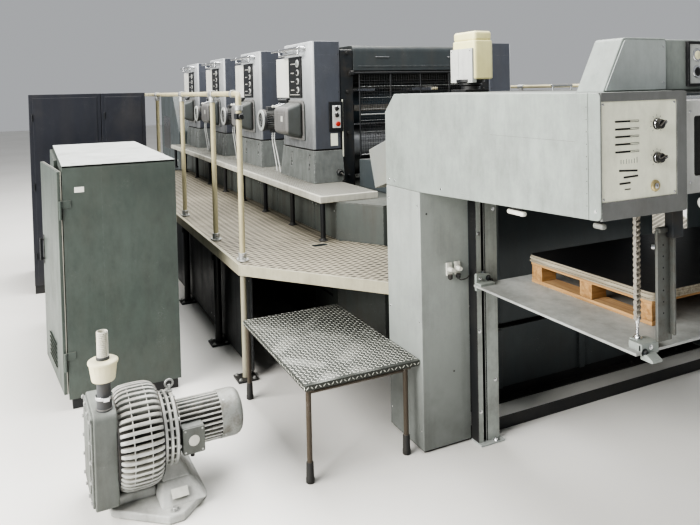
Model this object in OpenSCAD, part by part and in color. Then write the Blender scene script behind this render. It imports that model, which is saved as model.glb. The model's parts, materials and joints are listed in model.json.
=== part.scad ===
// Four-unit sheet-fed offset press: feeder, printing units on a raised base,
// chain delivery with pile lift, gallery decks, switch cabinets and air pump.
// +X runs from feeder to delivery, -Y is the operator's side, Z = 0 is the floor.
// The origin lies on the floor under the middle of the printing group.

/* [Printing units] */
// Distance from one unit to the next
unit_pitch = 1275; // [1180:5:1560]
// Length of one unit's housings along the press
tower_len = 676; // [560:2:820]
// Width over both housings
tower_w = 1890; // [1560:10:2280]
// Depth of one housing
housing_t = 240; // [200:5:290]
// Height of the housings above the floor
tower_top = 2090; // [1900:10:2510]
// Height of the joint between housing and skirt
skirt_top = 1255; // [1200:5:1320]
// Flare of the skirt at its foot
skirt_flare = 38; // [10:2:60]
// Thickness of a side frame behind its housing
side_frame_t = 110; // [90:5:130]
// Diameter of the plate and blanket cylinders
plate_cyl_d = 270; // [230:5:290]

/* [Base and gallery] */
// Height of the upper step
step_z = 1013; // [950:5:1060]
// Thickness of the upper step at its nosing
step_t = 46; // [38:2:56]
// Reach of the upper step beyond the housings
step_out = 216; // [180:5:260]
// Depth of the base walls behind the step's edge
base_setback = 121; // [100:5:150]
// Height of the gallery deck
deck_z = 714; // [595:5:857]
// Depth of the deck's edge
deck_t = 65; // [52:2:80]
// Half width over the gallery decks
deck_half_w = 1806; // [1700:5:1950]
// Height of the handrail above the deck
rail_h = 992; // [820:2:1190]
// Diameter of the handrail pipe
pipe_d = 34; // [28:1:44]

/* [Delivery] */
// Free length between the last unit and the delivery
delivery_gap = 1690; // [1560:10:2030]
// Length of the delivery's upper covers
delivery_len = 1406; // [1300:5:1690]
// Width of the delivery over its side covers
delivery_w = 2500; // [2420:10:2700]
// Height of the delivery covers' top edge
cover_top = 1691; // [1640:5:1760]
// Height of the covers' lower edge at the legs
cover_low = 1235; // [1200:5:1260]
// Height of the covers' lower edge at the panel end
cover_low_end = 1283; // [1265:2:1310]
// Depth of the control housing behind a side cover
control_w = 400; // [360:5:440]
// Length of a leg housing along the press
leg_len = 319; // [270:1:380]
// Depth of a leg housing across the press
leg_w = 270; // [230:5:320]

/* [Pile] */
// Height of the pile platform as shown
platform_z = 785; // [660:5:940]
// Depth of the pile platform's frame below its sheet's top
platform_t = 60; // [50:2:72]
// Length of the pallet along the press
pallet_len = 686; // [600:2:820]
// Width of the pallet across the press
pallet_w = 1200; // [1000:10:1400]

/* [Feeder] */
// Free length between the feeder and the first unit
feeder_gap = 100; // [60:5:160]
// Length of the feeder's side frames
feeder_len = 1340; // [1200:10:1600]
// Height of the feeder's side frames
feeder_h = 1700; // [1420:10:1900]

/* [Cabinets] */
// Length of the switch cabinet
cabinet_len = 1671; // [1400:5:2000]
// Depth of the switch cabinet
cabinet_w = 602; // [500:2:640]
// Height of the switch cabinet
cabinet_h = 1340; // [1120:5:1600]
// Angle at which the cabinet door stands ajar
door_ajar = 6; // [4:1:12]

/* [Air pump] */
// Diameter of the pump's slatted casing
pump_d = 424; // [360:4:480]
// Height of the pump's shaft above the floor
pump_axis_z = 265; // [250:2:300]
// Angle of the pump to the press's cross direction
pump_turn = 2; // [0:1:20]

/* [Hidden] */
$fn = 48;

unit_count = 4;
group_len = (unit_count - 1) * unit_pitch + tower_len;
group_x0 = -group_len / 2;
group_x1 = group_len / 2;
tower_y = tower_w / 2;
frame_y = tower_y - housing_t;
inner_y = frame_y - side_frame_t;
function unit_x(i) = group_x0 + i * unit_pitch;

step_y = tower_y + step_out;
step_inner_y = tower_y - 217;
base_y = step_y - base_setback;
step_x1 = group_x1 + 615;
base_x1 = group_x1 + 908;
base_x0 = group_x0 - feeder_gap;
base_top = step_z - step_t;

leg_x0 = group_x1 + delivery_gap;
leg_x1 = leg_x0 + leg_len;
end_x = leg_x0 + delivery_len;
side_y = delivery_w / 2;
control_y = side_y - control_w;
leg_inner_y = side_y - leg_w;

deck_corner_x = group_x1 + 896;
deck_diag_x = leg_x0 - 50;
deck_diag_y = side_y - 32;
deck_low = deck_z - deck_t;
rail_z = deck_z + rail_h;
rail_y = deck_half_w - 52;
rail_posts = [group_x1 + 810, group_x1 + 180, group_x1 - 830, group_x1 - 1998, group_x1 - 3227,
  group_x1 - 3826];

post_x1 = leg_x1 + 37;
post_y0 = leg_inner_y - 124;
platform_x0 = post_x1 + 34;
platform_x1 = end_x - 84;
platform_y = leg_inner_y + 24;
chain_x = end_x - 134;
chain_y = platform_y - 65;
pallet_h = 98;
board_t = 34;
pallet_x0 = platform_x0 + 94;
pallet_y0 = -742;

// A rectangle or outline with its corners rounded by true tangent arcs.
// pts is the outline, radii one radius for each corner.
function unit_v(v) = v / norm(v);
function corner_arc(a, p, b, r) =
  let (u = unit_v(a - p), v = unit_v(b - p))
  let (half = acos(min(1, max(-1, u * v))) / 2)
  let (back = r / tan(half), mid = unit_v(u + v), c = p + mid * r / sin(half))
  let (s = p + u * back - c, e = p + v * back - c)
  let (a0 = atan2(s[1], s[0]), turn = (atan2(e[1], e[0]) - a0 + 540) % 360 - 180)
  [for (k = [0:4]) c + r * [cos(a0 + turn * k / 4), sin(a0 + turn * k / 4)]];
function rounded(pts, radii) = [
  for (i = [0:len(pts) - 1])
    for (q = radii[i] > 0
      ? corner_arc(pts[(i + len(pts) - 1) % len(pts)], pts[i], pts[(i + 1) % len(pts)], radii[i])
      : [pts[i]]) q];
function box_pts(a, b) = [[a[0], a[1]], [b[0], a[1]], [b[0], b[1]], [a[0], b[1]]];
function round_box(a, b, r) = rounded(box_pts(a, b), [r, r, r, r]);

// Boxes and outlines stood up along each axis
module slab(a, b) {
  translate(a) cube(b - a);
}
module plan(pts, z0, z1) {
  translate([0, 0, z0]) linear_extrude(z1 - z0) polygon(pts);
}
module side_plate(pts, y0, y1) {
  translate([0, y1, 0]) rotate([90, 0, 0]) linear_extrude(y1 - y0) polygon(pts);
}
module cross_plate(pts, x0, x1) {
  translate([x0, 0, 0]) rotate([90, 0, 90]) linear_extrude(x1 - x0) polygon(pts);
}
module rod_y(x, z, d, y0, y1) {
  translate([x, y1, z]) rotate([90, 0, 0]) cylinder(d = d, h = y1 - y0);
}
module rod_x(y, z, d, x0, x1) {
  translate([x0, y, z]) rotate([0, 90, 0]) cylinder(d = d, h = x1 - x0);
}
module rod_z(x, y, d, z0, z1) {
  translate([x, y, z0]) cylinder(d = d, h = z1 - z0);
}
module both_sides() {
  children();
  mirror([0, 1, 0]) children();
}

// Base and gallery
base_outline_half = [
  [base_x0, 0], [base_x0, -base_y], [step_x1 - 15, -base_y], [base_x1, -base_y + 190], [base_x1, 0]
];
module base_half() {
  wall_gap = 8;
  panel_low = 120;
  difference() {
    plan(base_outline_half, 0, base_top);
    translate([base_x0 - 1, -base_y - 1, -1]) cube([base_x1 - base_x0, 41, 101]);
    for (i = [0:unit_count - 1])
      for (x = [unit_x(i) + 90, unit_x(i) + tower_len + 210])
        slab([x, -base_y - 1, panel_low], [x + wall_gap, -base_y + 6, base_top - 30]);
    for (y = [200, 560])
      slab([base_x1 - 6, -y - wall_gap, panel_low], [base_x1 + 1, -y, base_top - 30]);
    slab([base_x1 - 40, -base_y + 190, -1], [base_x1 + 1, 1, 80]);
  }
}
module machine_base() {
  color("#4b5155") union() {
    base_half();
    mirror([0, 1, 0]) base_half();
  }
}
module upper_steps() {
  color("#b9b39f") both_sides()
    plan([[base_x0, -step_y], [step_x1, -step_y], [step_x1, -step_inner_y],
      [base_x0, -step_inner_y]], base_top, step_z);
}
deck_half = [
  [base_x0 + 550, -base_y], [base_x0 + 550, -deck_half_w], [deck_corner_x, -deck_half_w],
  [deck_diag_x, -deck_diag_y], [deck_diag_x, -base_y + 190], [base_x1, -base_y + 190],
  [step_x1 - 15, -base_y]
];
step_post_d = 34;
module gallery_decks() {
  // A hand hole through the deck beside the delivery leg, as deep as the deck's edge
  hole_x = deck_corner_x - 239;
  color("#8d8471") both_sides() difference() {
    plan(deck_half, deck_low, deck_z);
    plan(round_box([hole_x, -base_y - 219], [hole_x + 68, -base_y - 107], 16), deck_low - 1, deck_z + 1);
  }
}
leg_foot_t = 12;
deck_leg_d = 48;
module deck_leg(x, y) {
  rod_z(x, y, deck_leg_d, leg_foot_t - 1, deck_low);
  slab([x - 60, y - 60, 0], [x + 60, y + 60, leg_foot_t]);
  slab([x - 44, y - 44, deck_low - 8], [x + 44, y + 36, deck_low]);
}
module deck_frames() {
  color("#26282a") both_sides() {
    for (x = rail_posts)
      union() deck_leg(x, -rail_y);
    for (i = [0:unit_count - 1])
      for (x = [unit_x(i) + 20, unit_x(i) + tower_len - 20])
        rod_z(x, -step_y + 40, step_post_d, deck_z, base_top);
    rod_z(step_x1 - 26, -step_y + 26, step_post_d, deck_z, base_top);
  }
}
module deck_skirts() {
  color("#1f2b28") both_sides()
    slab([base_x0 + 600, -deck_half_w + 90, 40], [deck_corner_x - 60, -deck_half_w + 98, deck_low]);
}
module handrail_posts() {
  tee_d = pipe_d + 14;
  flange_d = 110;
  color("#c9bf92") both_sides()
    for (x = rail_posts)
      difference() {
        union() {
          rod_z(x, -rail_y, pipe_d, deck_z, rail_z);
          rod_z(x, -rail_y, flange_d, deck_z, deck_z + 10);
          rod_z(x, -rail_y, tee_d, deck_z + 9, deck_z + 46);
          rod_z(x, -rail_y, tee_d, rail_z - 56, rail_z);
          rod_x(-rail_y, rail_z, tee_d, x - 42, x + 42);
        }
        rod_x(-rail_y, rail_z, pipe_d + 0.6, x - 200, x + 200);
      }
}
module handrail_rails() {
  color("#c9bf92") both_sides()
    rod_x(-rail_y, rail_z, pipe_d, rail_posts[5] - 70, rail_posts[0] + 46);
}

// Step stool beside the delivery leg
stool_x0 = leg_x0 - 641;
stool_x1 = leg_x0 + 299;
stool_y1 = -side_y;
stool_y0 = stool_y1 - 583;
stool_z = 442;
module step_stool() {
  leg_d = 30;
  foot_d = 38;
  inset = 24;
  tread_t = 26;
  back_inset = inset + 46;
  color("#3b3d3f") union() {
    plan(round_box([stool_x0, stool_y0], [stool_x1, stool_y1], 12), stool_z - tread_t, stool_z);
    for (x = [stool_x0 + inset, stool_x1 - inset])
      for (y = [stool_y0 + inset, stool_y1 - back_inset]) {
        rod_z(x, y, leg_d, 20, stool_z - 1);
        rod_z(x, y, foot_d, 0, 24);
      }
  }
}

// Printing units
top_notch_w = 75;
top_notch_h = 105;
module housing(i) {
  x0 = unit_x(i);
  x1 = x0 + tower_len;
  edge_r = 30;
  gap_h = 10;
  foot_y = -tower_y - skirt_flare * 0.4;
  slot_w = 30;
  slot_h = 122;
  difference() {
    union() {
      plan(round_box([x0, -tower_y], [x1, -frame_y], edge_r), skirt_top + gap_h, tower_top);
      plan(box_pts([x0 + 12, -tower_y + 12], [x1 - 12, -frame_y]), skirt_top - 1, skirt_top + gap_h + 1);
      intersection() {
        side_plate([[x0 - skirt_flare, step_z], [x1 + skirt_flare, step_z], [x1, skirt_top],
          [x0, skirt_top]], -step_y, -frame_y);
        cross_plate([[foot_y, step_z], [-frame_y, step_z], [-frame_y, skirt_top],
          [-tower_y, skirt_top]], x0 - 100, x1 + 100);
      }
    }
    // Cut-away corner that the grab rail passes
    slab([x0 - 1, -tower_y - 1, tower_top - top_notch_h], [x0 + top_notch_w, -tower_y + 90, tower_top + 1]);
    // Recesses of the clamps that hold the skirt
    for (x = [x0 + 198, x0 + tower_len - 100])
      slab([x, -tower_y - skirt_flare, skirt_top - 30 - slot_h], [x + slot_w, -tower_y + 14, skirt_top - 30]);
  }
}
module near_housing(i) {
  color("#5b6470") housing(i);
}
module far_housing(i) {
  color("#5b6470") mirror([0, 1, 0]) housing(i);
}
guard_rod_d = 22;
guard_x = group_x1 + 15;
guard_low = skirt_top - 60;
guard_top = tower_top - 236;
guard_rod_z = guard_top - guard_rod_d / 2;
pin_clear = 0.3;
module side_frames() {
  tie_d = 60;
  color("#24282c") {
    both_sides() difference() {
      union() {
        for (i = [0:unit_count - 1])
          side_plate(round_box([unit_x(i) + 30, base_top], [unit_x(i) + tower_len - 12, tower_top - 60], 20),
            -frame_y, -inner_y);
        slab([group_x1 - 13, -inner_y - 40, guard_rod_z - 20], [guard_x + 20, -inner_y - 15, guard_rod_z + 20]);
      }
      rod_y(guard_x, guard_rod_z, guard_rod_d + 2 * pin_clear, -inner_y - 41, -inner_y - 14);
    }
    for (i = [0:unit_count - 1])
      rod_y(unit_x(i) + 80, base_top + 120, tie_d, -inner_y, inner_y);
  }
}
impression_d = 420;
roller_d = 90;
roller_reach = plate_cyl_d / 2 + roller_d / 2 + 3;
module cylinders(i) {
  xc = unit_x(i) + tower_len / 2;
  color("#9aa0a3") {
    rod_y(xc, base_top + 40 + impression_d / 2, impression_d, -inner_y, inner_y);
    rod_y(xc + 40, base_top + 46 + impression_d + plate_cyl_d / 2, plate_cyl_d, -inner_y, inner_y);
    rod_y(xc - 40, base_top + 60 + impression_d + 1.5 * plate_cyl_d, plate_cyl_d, -inner_y, inner_y);
    for (a = [-10, 30, 150, 190])
      rod_y(xc - 40 + roller_reach * cos(a), base_top + 60 + impression_d + 1.5 * plate_cyl_d
        + roller_reach * sin(a), roller_d, -inner_y, inner_y);
  }
}
module ink_unit_covers() {
  // Roller cover with its apron, and the ink fountain's trough on top at the feeder side
  color("#2b3237") for (i = [0:unit_count - 1]) {
    x0 = unit_x(i) + 20;
    x1 = unit_x(i) + tower_len - 6;
    cover_low_z = tower_top - 230;
    side_plate(rounded([[x0, tower_top - 85], [x1 - 90, tower_top - 85], [x1 - 70, cover_low_z],
      [x1, cover_low_z], [x1, tower_top - 30], [x0 + 300, tower_top - 30], [x0 + 210, tower_top - 60],
      [x0 + 90, tower_top - 60], [x0 + 40, tower_top - 10], [x0, tower_top - 10]],
      [0, 0, 0, 0, 50, 30, 0, 0, 0, 0]), -inner_y + 0.3, inner_y - 0.3);
  }
}
drive_len = 470;
module drive_covers() {
  // A dished cover that widens towards its lipped flange plate
  lip_t = 14;
  reach = 155;
  low = skirt_top + 72;
  high = skirt_top + 385;
  color("#6d7379") for (i = [0:unit_count - 1]) {
    x0 = unit_x(i) + 190;
    x1 = unit_x(i) + tower_len - 156;
    union() {
      side_plate(rounded([[x0, low], [x1, low], [x1, high], [x0, high]], [0, 0, 60, 0]),
        -tower_y - lip_t, -tower_y);
      intersection() {
        cross_plate(rounded([[-tower_y - reach, low + 60], [-tower_y - lip_t + 1, low + 14],
          [-tower_y - lip_t + 1, high - 10], [-tower_y - reach, high - 60]], [34, 0, 0, 34]), x0, x1);
        plan(rounded([[x0 + 20, -tower_y], [x0 + 20, -tower_y - reach], [x1 - 20, -tower_y - reach],
          [x1 - 20, -tower_y]], [0, 34, 34, 0]), low, high);
      }
    }
  }
}
module fan_motors() {
  // Finned motors that face the gallery between two units, on a plate from the next unit
  fan_z = skirt_top + 208;
  cowl_y = -tower_y - 105;
  fin_count = 20;
  body_d = 150;
  color("#3d4144") for (i = [0:unit_count - 2]) {
    x = unit_x(i) + tower_len + 315;
    union() {
      rod_y(x, fan_z, 190, cowl_y, cowl_y + 34);
      rod_y(x, fan_z, body_d, cowl_y + 33, cowl_y + 190);
      for (k = [0:fin_count - 1])
        translate([x, 0, fan_z]) rotate([0, k * 360 / fin_count, 0])
          slab([-2, cowl_y + 34, body_d / 2 - 4], [2, cowl_y + 170, body_d / 2 + 14]);
      slab([x - 95, cowl_y + 170, fan_z - 95], [x + 95, cowl_y + 186, fan_z + 95]);
      slab([x + 60, cowl_y + 170, fan_z - 60], [unit_x(i + 1), cowl_y + 186, fan_z + 60]);
    }
  }
}
module key_strips() {
  // The ink key strip and the plate beside it, which reaches past the housing's edge
  low = tower_top - 430;
  high = tower_top - top_notch_h;
  color("#d8d8d2") for (i = [0:unit_count - 1])
    union() {
      slab([unit_x(i) - 106, -tower_y - 8, low], [unit_x(i) + 211, -tower_y, high]);
      slab([unit_x(i) + 205, -tower_y - 14, low], [unit_x(i) + 472, -tower_y, high]);
    }
}
module grab_handles() {
  // A long rail at the top edge with a short one under it
  rail_t = 24;
  rail_out = 60;
  color("#c8ccd0") for (i = [0:unit_count - 1]) {
    x0 = unit_x(i) - 60;
    x1 = unit_x(i) + tower_len - 110;
    union() {
      rod_x(-tower_y - rail_out, tower_top - 45, rail_t, x0, x1);
      rod_x(-tower_y - rail_out, tower_top - 90, rail_t - 6, x0 + 170, x1 - 10);
      for (x = [x0 + 182, x1 - 22])
        rod_y(x, tower_top - 45, rail_t, -tower_y - rail_out, -tower_y);
      for (x = [x0 + 182, x1 - 22])
        rod_z(x, -tower_y - rail_out, rail_t - 6, tower_top - 90, tower_top - 45);
    }
  }
}
module unit_4_guard() {
  guard_y = inner_y - 40;
  wire_x = guard_x;
  rows = 10;
  color("#1e2124") union() {
    rod_y(wire_x, guard_rod_z, guard_rod_d, -inner_y - 45, inner_y + 45);
    for (k = [0:rows - 1])
      rod_y(wire_x, guard_low + 11 + k * (guard_rod_z - guard_low - 11) / rows, 10, -guard_y, guard_y);
    for (k = [0:4])
      rod_z(wire_x, -guard_y + k * guard_y / 2, 16, guard_low, guard_rod_z);
  }
}

// Delivery
top_t = 90;
casing_low = 420;
module chain_casing() {
  casing_y = inner_y;
  casing_top = cover_top - top_t;
  flange_t = 16;
  color("#34393d") union() {
    side_plate([[base_x1, casing_low - 120], [leg_x0 + 60, casing_low], [leg_x0 + 60, casing_top],
      [leg_x0 - 140, casing_top], [group_x1 + 640, 1220], [group_x1 + 60, 1180],
      [group_x1 + 60, base_top], [base_x1, base_top]], -casing_y, casing_y);
    // Joint flanges of the casing's sections
    for (x = [base_x1 + 180, leg_x0 - 190])
      slab([x, -casing_y - flange_t, casing_low - 60], [x + 2 * flange_t, casing_y + flange_t, 1180]);
  }
}
module leg() {
  plinth = 8;
  plan(box_pts([leg_x0 + plinth, -side_y + plinth], [leg_x1 - plinth, -leg_inner_y - plinth]), 0, 11);
  plan(box_pts([leg_x0, -side_y], [leg_x1, -leg_inner_y]), 10, cover_low - 1);
}
module delivery_leg_near() {
  color("#8b918f") union() leg();
}
module delivery_leg_far() {
  color("#8b918f") mirror([0, 1, 0]) union() leg();
}
panel_y0 = -side_y + 6;
panel_y1 = -control_y - 48;
panel_z0 = cover_top - 350;
panel_z1 = cover_top - 28;
guard_hinge_x = end_x - 30;
guard_hinge_z = cover_top - 30;
guard_hinge_d = 24;
sprocket_d = 90;
chain_t = 18;
chain_w = 24;
chain_room = 6;
sprocket_x = chain_x - (sprocket_d + chain_t) / 2;
sprocket_z = cover_low_end + 290;
wrap_d = sprocket_d + 2 * chain_t;
module cover_shell() {
  side_plate(rounded([[leg_x0, cover_low - 1], [leg_x1, cover_low - 1], [end_x, cover_low_end],
    [end_x, cover_top], [leg_x0 + 95, cover_top], [leg_x0, cover_top - 90]],
    [0, 0, 28, 20, 8, 8]), -side_y, -control_y);
}
module side_cover() {
  difference() {
    cover_shell();
    slab([end_x - 8, panel_y0, panel_z0], [end_x + 1, panel_y1, panel_z1]);
    rod_y(guard_hinge_x, guard_hinge_z, guard_hinge_d + 2 * pin_clear, -control_y - 30, -control_y + 1);
    slab([sprocket_x - wrap_d / 2 - chain_room, -chain_y - chain_w / 2 - chain_room, cover_low - 50],
      [chain_x + chain_t / 2 + chain_room, -chain_y + chain_w / 2 + chain_room,
      sprocket_z + wrap_d / 2 + chain_room]);
  }
}
module side_cover_near() {
  color("#8f9593") side_cover();
}
module side_cover_far() {
  color("#8f9593") mirror([0, 1, 0]) side_cover();
}
knob_y = panel_y1 - 94;
module control_panel() {
  color("#cfcab4") difference() {
    slab([end_x - 8, panel_y0 + 0.3, panel_z0 + 0.3], [end_x - 3, panel_y1 - 0.3, panel_z1 - 0.3]);
    for (k = [0:4])
      slab([end_x - 6, panel_y0 + 64, panel_z1 - 70 - k * 25], [end_x, panel_y0 + 170, panel_z1 - 64 - k * 25]);
    for (z = [panel_z1 - 80, panel_z1 - 192])
      rod_x(knob_y, z, 10.6, end_x - 9, end_x);
  }
}
module knob(z) {
  color("#1d1d1f") union() {
    rod_x(knob_y, z, 10, end_x - 7.5, end_x - 1);
    rod_x(knob_y, z, 38, end_x - 2.4, end_x + 20);
    slab([end_x + 19, knob_y - 19, z - 5], [end_x + 28, knob_y + 19, z + 5]);
  }
}
hood_x0 = end_x - 227;
hood_x1 = end_x - 100;
hood_top = cover_top + 185;
module console_hoods() {
  color("#7d8281") both_sides()
    cross_plate(rounded([[-side_y + 124, cover_top], [-control_y + 30, cover_top],
      [-control_y + 30, hood_top], [-side_y + 219, hood_top]], [0, 0, 10, 24]), hood_x0, hood_x1);
}
module console_bridge() {
  bridge_y = control_y - 134;
  color("#a7aaa6") union() {
    slab([hood_x0 + 10, -control_y + 30.3, cover_top], [hood_x1 - 6, control_y - 30.3, hood_top - 4]);
    slab([hood_x1 - 7, -bridge_y, cover_top + 12], [hood_x1 + 6, bridge_y, hood_top - 10]);
  }
}
module delivery_top() {
  color("#5f6566") union() {
    slab([leg_x0, -control_y + 0.3, cover_top - top_t], [end_x - 60, control_y - 0.3, cover_top]);
    slab([leg_x1 + 100, -control_y + 80, cover_top - 330],
      [end_x - 160, control_y - 80, cover_top - top_t + 1]);
  }
}
grip_d = 44;
module delivery_guard() {
  // A framed pane that hangs on its rod, with a round grab bar at the foot
  gy = control_y - 6;
  border = 60;
  low = cover_top - 360;
  color("#c9cbc8") union() {
    rod_y(guard_hinge_x, guard_hinge_z, guard_hinge_d, -control_y - 28, control_y + 28);
    difference() {
      side_plate(box_pts([end_x - 38, low], [end_x - 22, guard_hinge_z]), -gy, gy);
      slab([end_x - 30, -gy + border, low + border], [end_x - 21, -border / 2, guard_hinge_z - border]);
      slab([end_x - 30, border / 2, low + border], [end_x - 21, gy - border, guard_hinge_z - border]);
    }
    rod_y(end_x + 46, cover_top - 380, grip_d, -gy, gy);
    for (y = [-gy + 120, 0, gy - 120])
      rod_x(y, cover_top - 350, 20, end_x - 30, end_x + 46);
  }
}
slot_y0 = -leg_inner_y + 31;
slot_y1 = -leg_inner_y + 45;
module guide_posts() {
  foot_t = 10;
  color("#6f7473") both_sides() union() {
    difference() {
      slab([leg_x1, -leg_inner_y, 0], [post_x1, -post_y0, cover_low - 1]);
      slab([leg_x1 + 10, slot_y0, foot_t], [post_x1 + 1, slot_y1, cover_low]);
    }
    slab([leg_x1, -leg_inner_y, 0], [post_x1 + 22, -post_y0 + 14, foot_t]);
  }
}
module delivery_beams() {
  color("#232527") union() {
    for (x = [leg_x0 + 30, leg_x1 - 70])
      slab([x, -leg_inner_y, 0], [x + 60, leg_inner_y, 60]);
    slab([leg_x0 + 30, -leg_inner_y, 60], [leg_x0 + 42, leg_inner_y, casing_low - 30]);
  }
}
chain_foot = platform_z + 62;
module hoist_chain() {
  y0 = -chain_y - chain_w / 2;
  y1 = -chain_y + chain_w / 2;
  slab([chain_x - chain_t / 2, y0, chain_foot], [chain_x + chain_t / 2, y1, sprocket_z]);
  difference() {
    rod_y(sprocket_x, sprocket_z, wrap_d, y0, y1);
    slab([sprocket_x - wrap_d, y0 - 1, sprocket_z - wrap_d], [sprocket_x + wrap_d, y1 + 1, sprocket_z]);
  }
  rod_y(sprocket_x, sprocket_z, sprocket_d, y0 + 6, y1 - 6);
  slab([sprocket_x - wrap_d / 2, y0, sprocket_z - 90], [sprocket_x - sprocket_d / 2, y1, sprocket_z + 1]);
  rod_y(sprocket_x, sprocket_z, 24, y0 - chain_room, y1 + chain_room);
}
module hoist_chains() {
  color("#8b8378") both_sides()
    union() hoist_chain();
}
bar_x = platform_x1 + 6;
module pile_guides() {
  bar_y0 = -chain_y + 23;
  bar_y1 = bar_y0 + 70;
  bar_top = cover_low_end - 74;
  color("#77716a") both_sides() difference() {
    union() {
      slab([bar_x, bar_y0, cover_low_end - 470], [bar_x + 12, bar_y1, bar_top]);
      slab([bar_x + 11, bar_y1 - 10, cover_low_end - 450], [bar_x + 30, bar_y1, bar_top - 30]);
      slab([bar_x + 6, bar_y0 + 42, bar_top - 30], [bar_x + 42, bar_y1 + 24, cover_low_end + 20]);
    }
    cover_shell();
  }
}
shoe_clear = 0.5;
module pile_platform() {
  // A thin sheet on a frame set well back, with corner blocks for the chains and shoes in the posts
  z0 = platform_z - platform_t;
  sheet_t = 12;
  frame_in = 110;
  frame_w = 50;
  notch_x0 = chain_x - chain_t / 2 - 8;
  notch_x1 = chain_x + chain_t / 2 + 8;
  notch_w = chain_w + 12;
  block_y1 = -platform_y + 112;
  color("#85888a") difference() {
    union() {
      slab([platform_x0, -platform_y, platform_z - sheet_t], [platform_x1, platform_y, platform_z]);
      difference() {
        slab([platform_x0 + 20, -platform_y + frame_in, z0],
          [platform_x1 - 90, platform_y - frame_in, platform_z - sheet_t + 1]);
        both_sides()
          slab([platform_x0 + 20 + frame_w, -platform_y + frame_in + frame_w, z0 - 1],
            [platform_x1 - 90 - frame_w, -frame_w / 2, platform_z - sheet_t]);
      }
      both_sides() {
        slab([platform_x0, -platform_y + 4, platform_z - 30],
          [platform_x0 + 16, -leg_inner_y + 75, platform_z + 53]);
        slab([post_x1 - 20, slot_y0 + shoe_clear, platform_z - 30],
          [platform_x0 + 1, slot_y1 - shoe_clear, platform_z + 53]);
        slab([platform_x1 - 58, -platform_y + 24, platform_z - 1], [platform_x1, block_y1, platform_z + 27]);
        slab([platform_x1 - 12, -platform_y + 24, platform_z - 40], [platform_x1, block_y1, platform_z]);
        slab([platform_x1 - 12, -platform_y + 34, z0 - 14], [platform_x1 + 40, -platform_y + 82, z0 + 20]);
      }
    }
    both_sides()
      slab([notch_x0, -chain_y - notch_w / 2, platform_z - sheet_t - 1],
        [notch_x1, -chain_y + notch_w / 2, platform_z + 60]);
  }
}
module pallet() {
  // Three rows of block, bottom board and top board along the press, with cross boards between
  x1 = pallet_x0 + pallet_len;
  y1 = pallet_y0 + pallet_w;
  board = 18;
  row_w = 90;
  block = 70;
  cross_count = 6;
  cross_w = 96;
  color("#b98a54") union() {
    for (y = [pallet_y0, (pallet_y0 + y1 - row_w) / 2, y1 - row_w]) {
      slab([pallet_x0, y, platform_z], [x1, y + row_w, platform_z + board]);
      slab([pallet_x0, y, platform_z + pallet_h - board], [x1, y + row_w, platform_z + pallet_h]);
      for (x = [pallet_x0, pallet_x0 + (pallet_len - block) / 2, x1 - block])
        slab([x, y, platform_z + board - 1], [x + block, y + row_w, platform_z + pallet_h - board + 1]);
    }
    for (k = [0:cross_count - 1])
      slab([pallet_x0 + k * (pallet_len - cross_w) / (cross_count - 1), pallet_y0 + 10,
        platform_z + pallet_h - board], [pallet_x0 + k * (pallet_len - cross_w) / (cross_count - 1) + cross_w,
        y1 - 10, platform_z + pallet_h]);
  }
}
module pile_board() {
  z = platform_z + pallet_h;
  color("#4a4843") plan(round_box([pallet_x0 - 14, pallet_y0 - 6], [pallet_x0 + pallet_len + 10,
    pallet_y0 + pallet_w + 6], 30), z, z + board_t);
}
module powder_sprayer() {
  x = leg_x0 + 60;
  y = -side_y + 430;
  color("#d9d09c") union() {
    slab([x - 70, y - 80, cover_top], [x + 60, y + 90, cover_top + 14]);
    rod_z(x, y, 120, cover_top + 13, cover_top + 50);
    rod_z(x, y, 150, cover_top + 49, cover_top + 66);
    plan(round_box([x - 100, y - 98], [x + 100, y + 132], 22), cover_top + 65, cover_top + 315);
  }
}
module desk_box() {
  color("#9a9d9b") translate([leg_x0, -side_y + 20, cover_low + 10]) rotate([0, -18, 0])
    difference() {
      slab([-170, 0, 0], [40, 200, 210]);
      rotate([0, 18, 0]) slab([0, -1, -200], [200, 201, 400]);
    }
}

// Feeder
feeder_x1 = group_x0 - feeder_gap;
feeder_x0 = feeder_x1 - feeder_len;
feeder_y = tower_y + 100;
module feeder_frames() {
  frame_t = 145;
  window_x0 = feeder_x0 + 180;
  window_x1 = feeder_x1 - 620;
  color("#4d5658") union() {
    both_sides() difference() {
      side_plate(rounded([[feeder_x0, 0], [feeder_x1 - 0.3, 0], [feeder_x1 - 0.3, 1180],
        [feeder_x1 - 420, feeder_h], [feeder_x0, feeder_h]], [0, 0, 60, 80, 40]),
        -feeder_y, -feeder_y + frame_t);
      side_plate(round_box([window_x0, 900], [window_x1, feeder_h - 330], 40), -feeder_y - 1, -feeder_y + 30);
    }
    for (z = [60, 760])
      slab([feeder_x1 - 200, -feeder_y + frame_t - 1, z], [feeder_x1 - 80, feeder_y - frame_t + 1, z + 120]);
    // Stop wall and the pile platform at its lowest, on two beams
    slab([feeder_x1 - 330, -feeder_y + frame_t - 1, 260], [feeder_x1 - 310, feeder_y - frame_t + 1, 1040]);
    slab([feeder_x0 + 90, -feeder_y + frame_t - 1, 120], [feeder_x1 - 340, feeder_y - frame_t + 1, 140]);
    for (x = [feeder_x0 + 200, feeder_x1 - 520])
      slab([x, -feeder_y + frame_t - 1, 60], [x + 80, feeder_y - frame_t + 1, 121]);
    both_sides()
      for (x = [feeder_x0 + 110, feeder_x1 - 420])
        slab([x, -feeder_y + frame_t - 1, 120], [x + 60, -feeder_y + frame_t + 50, feeder_h - 300]);
  }
}
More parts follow.
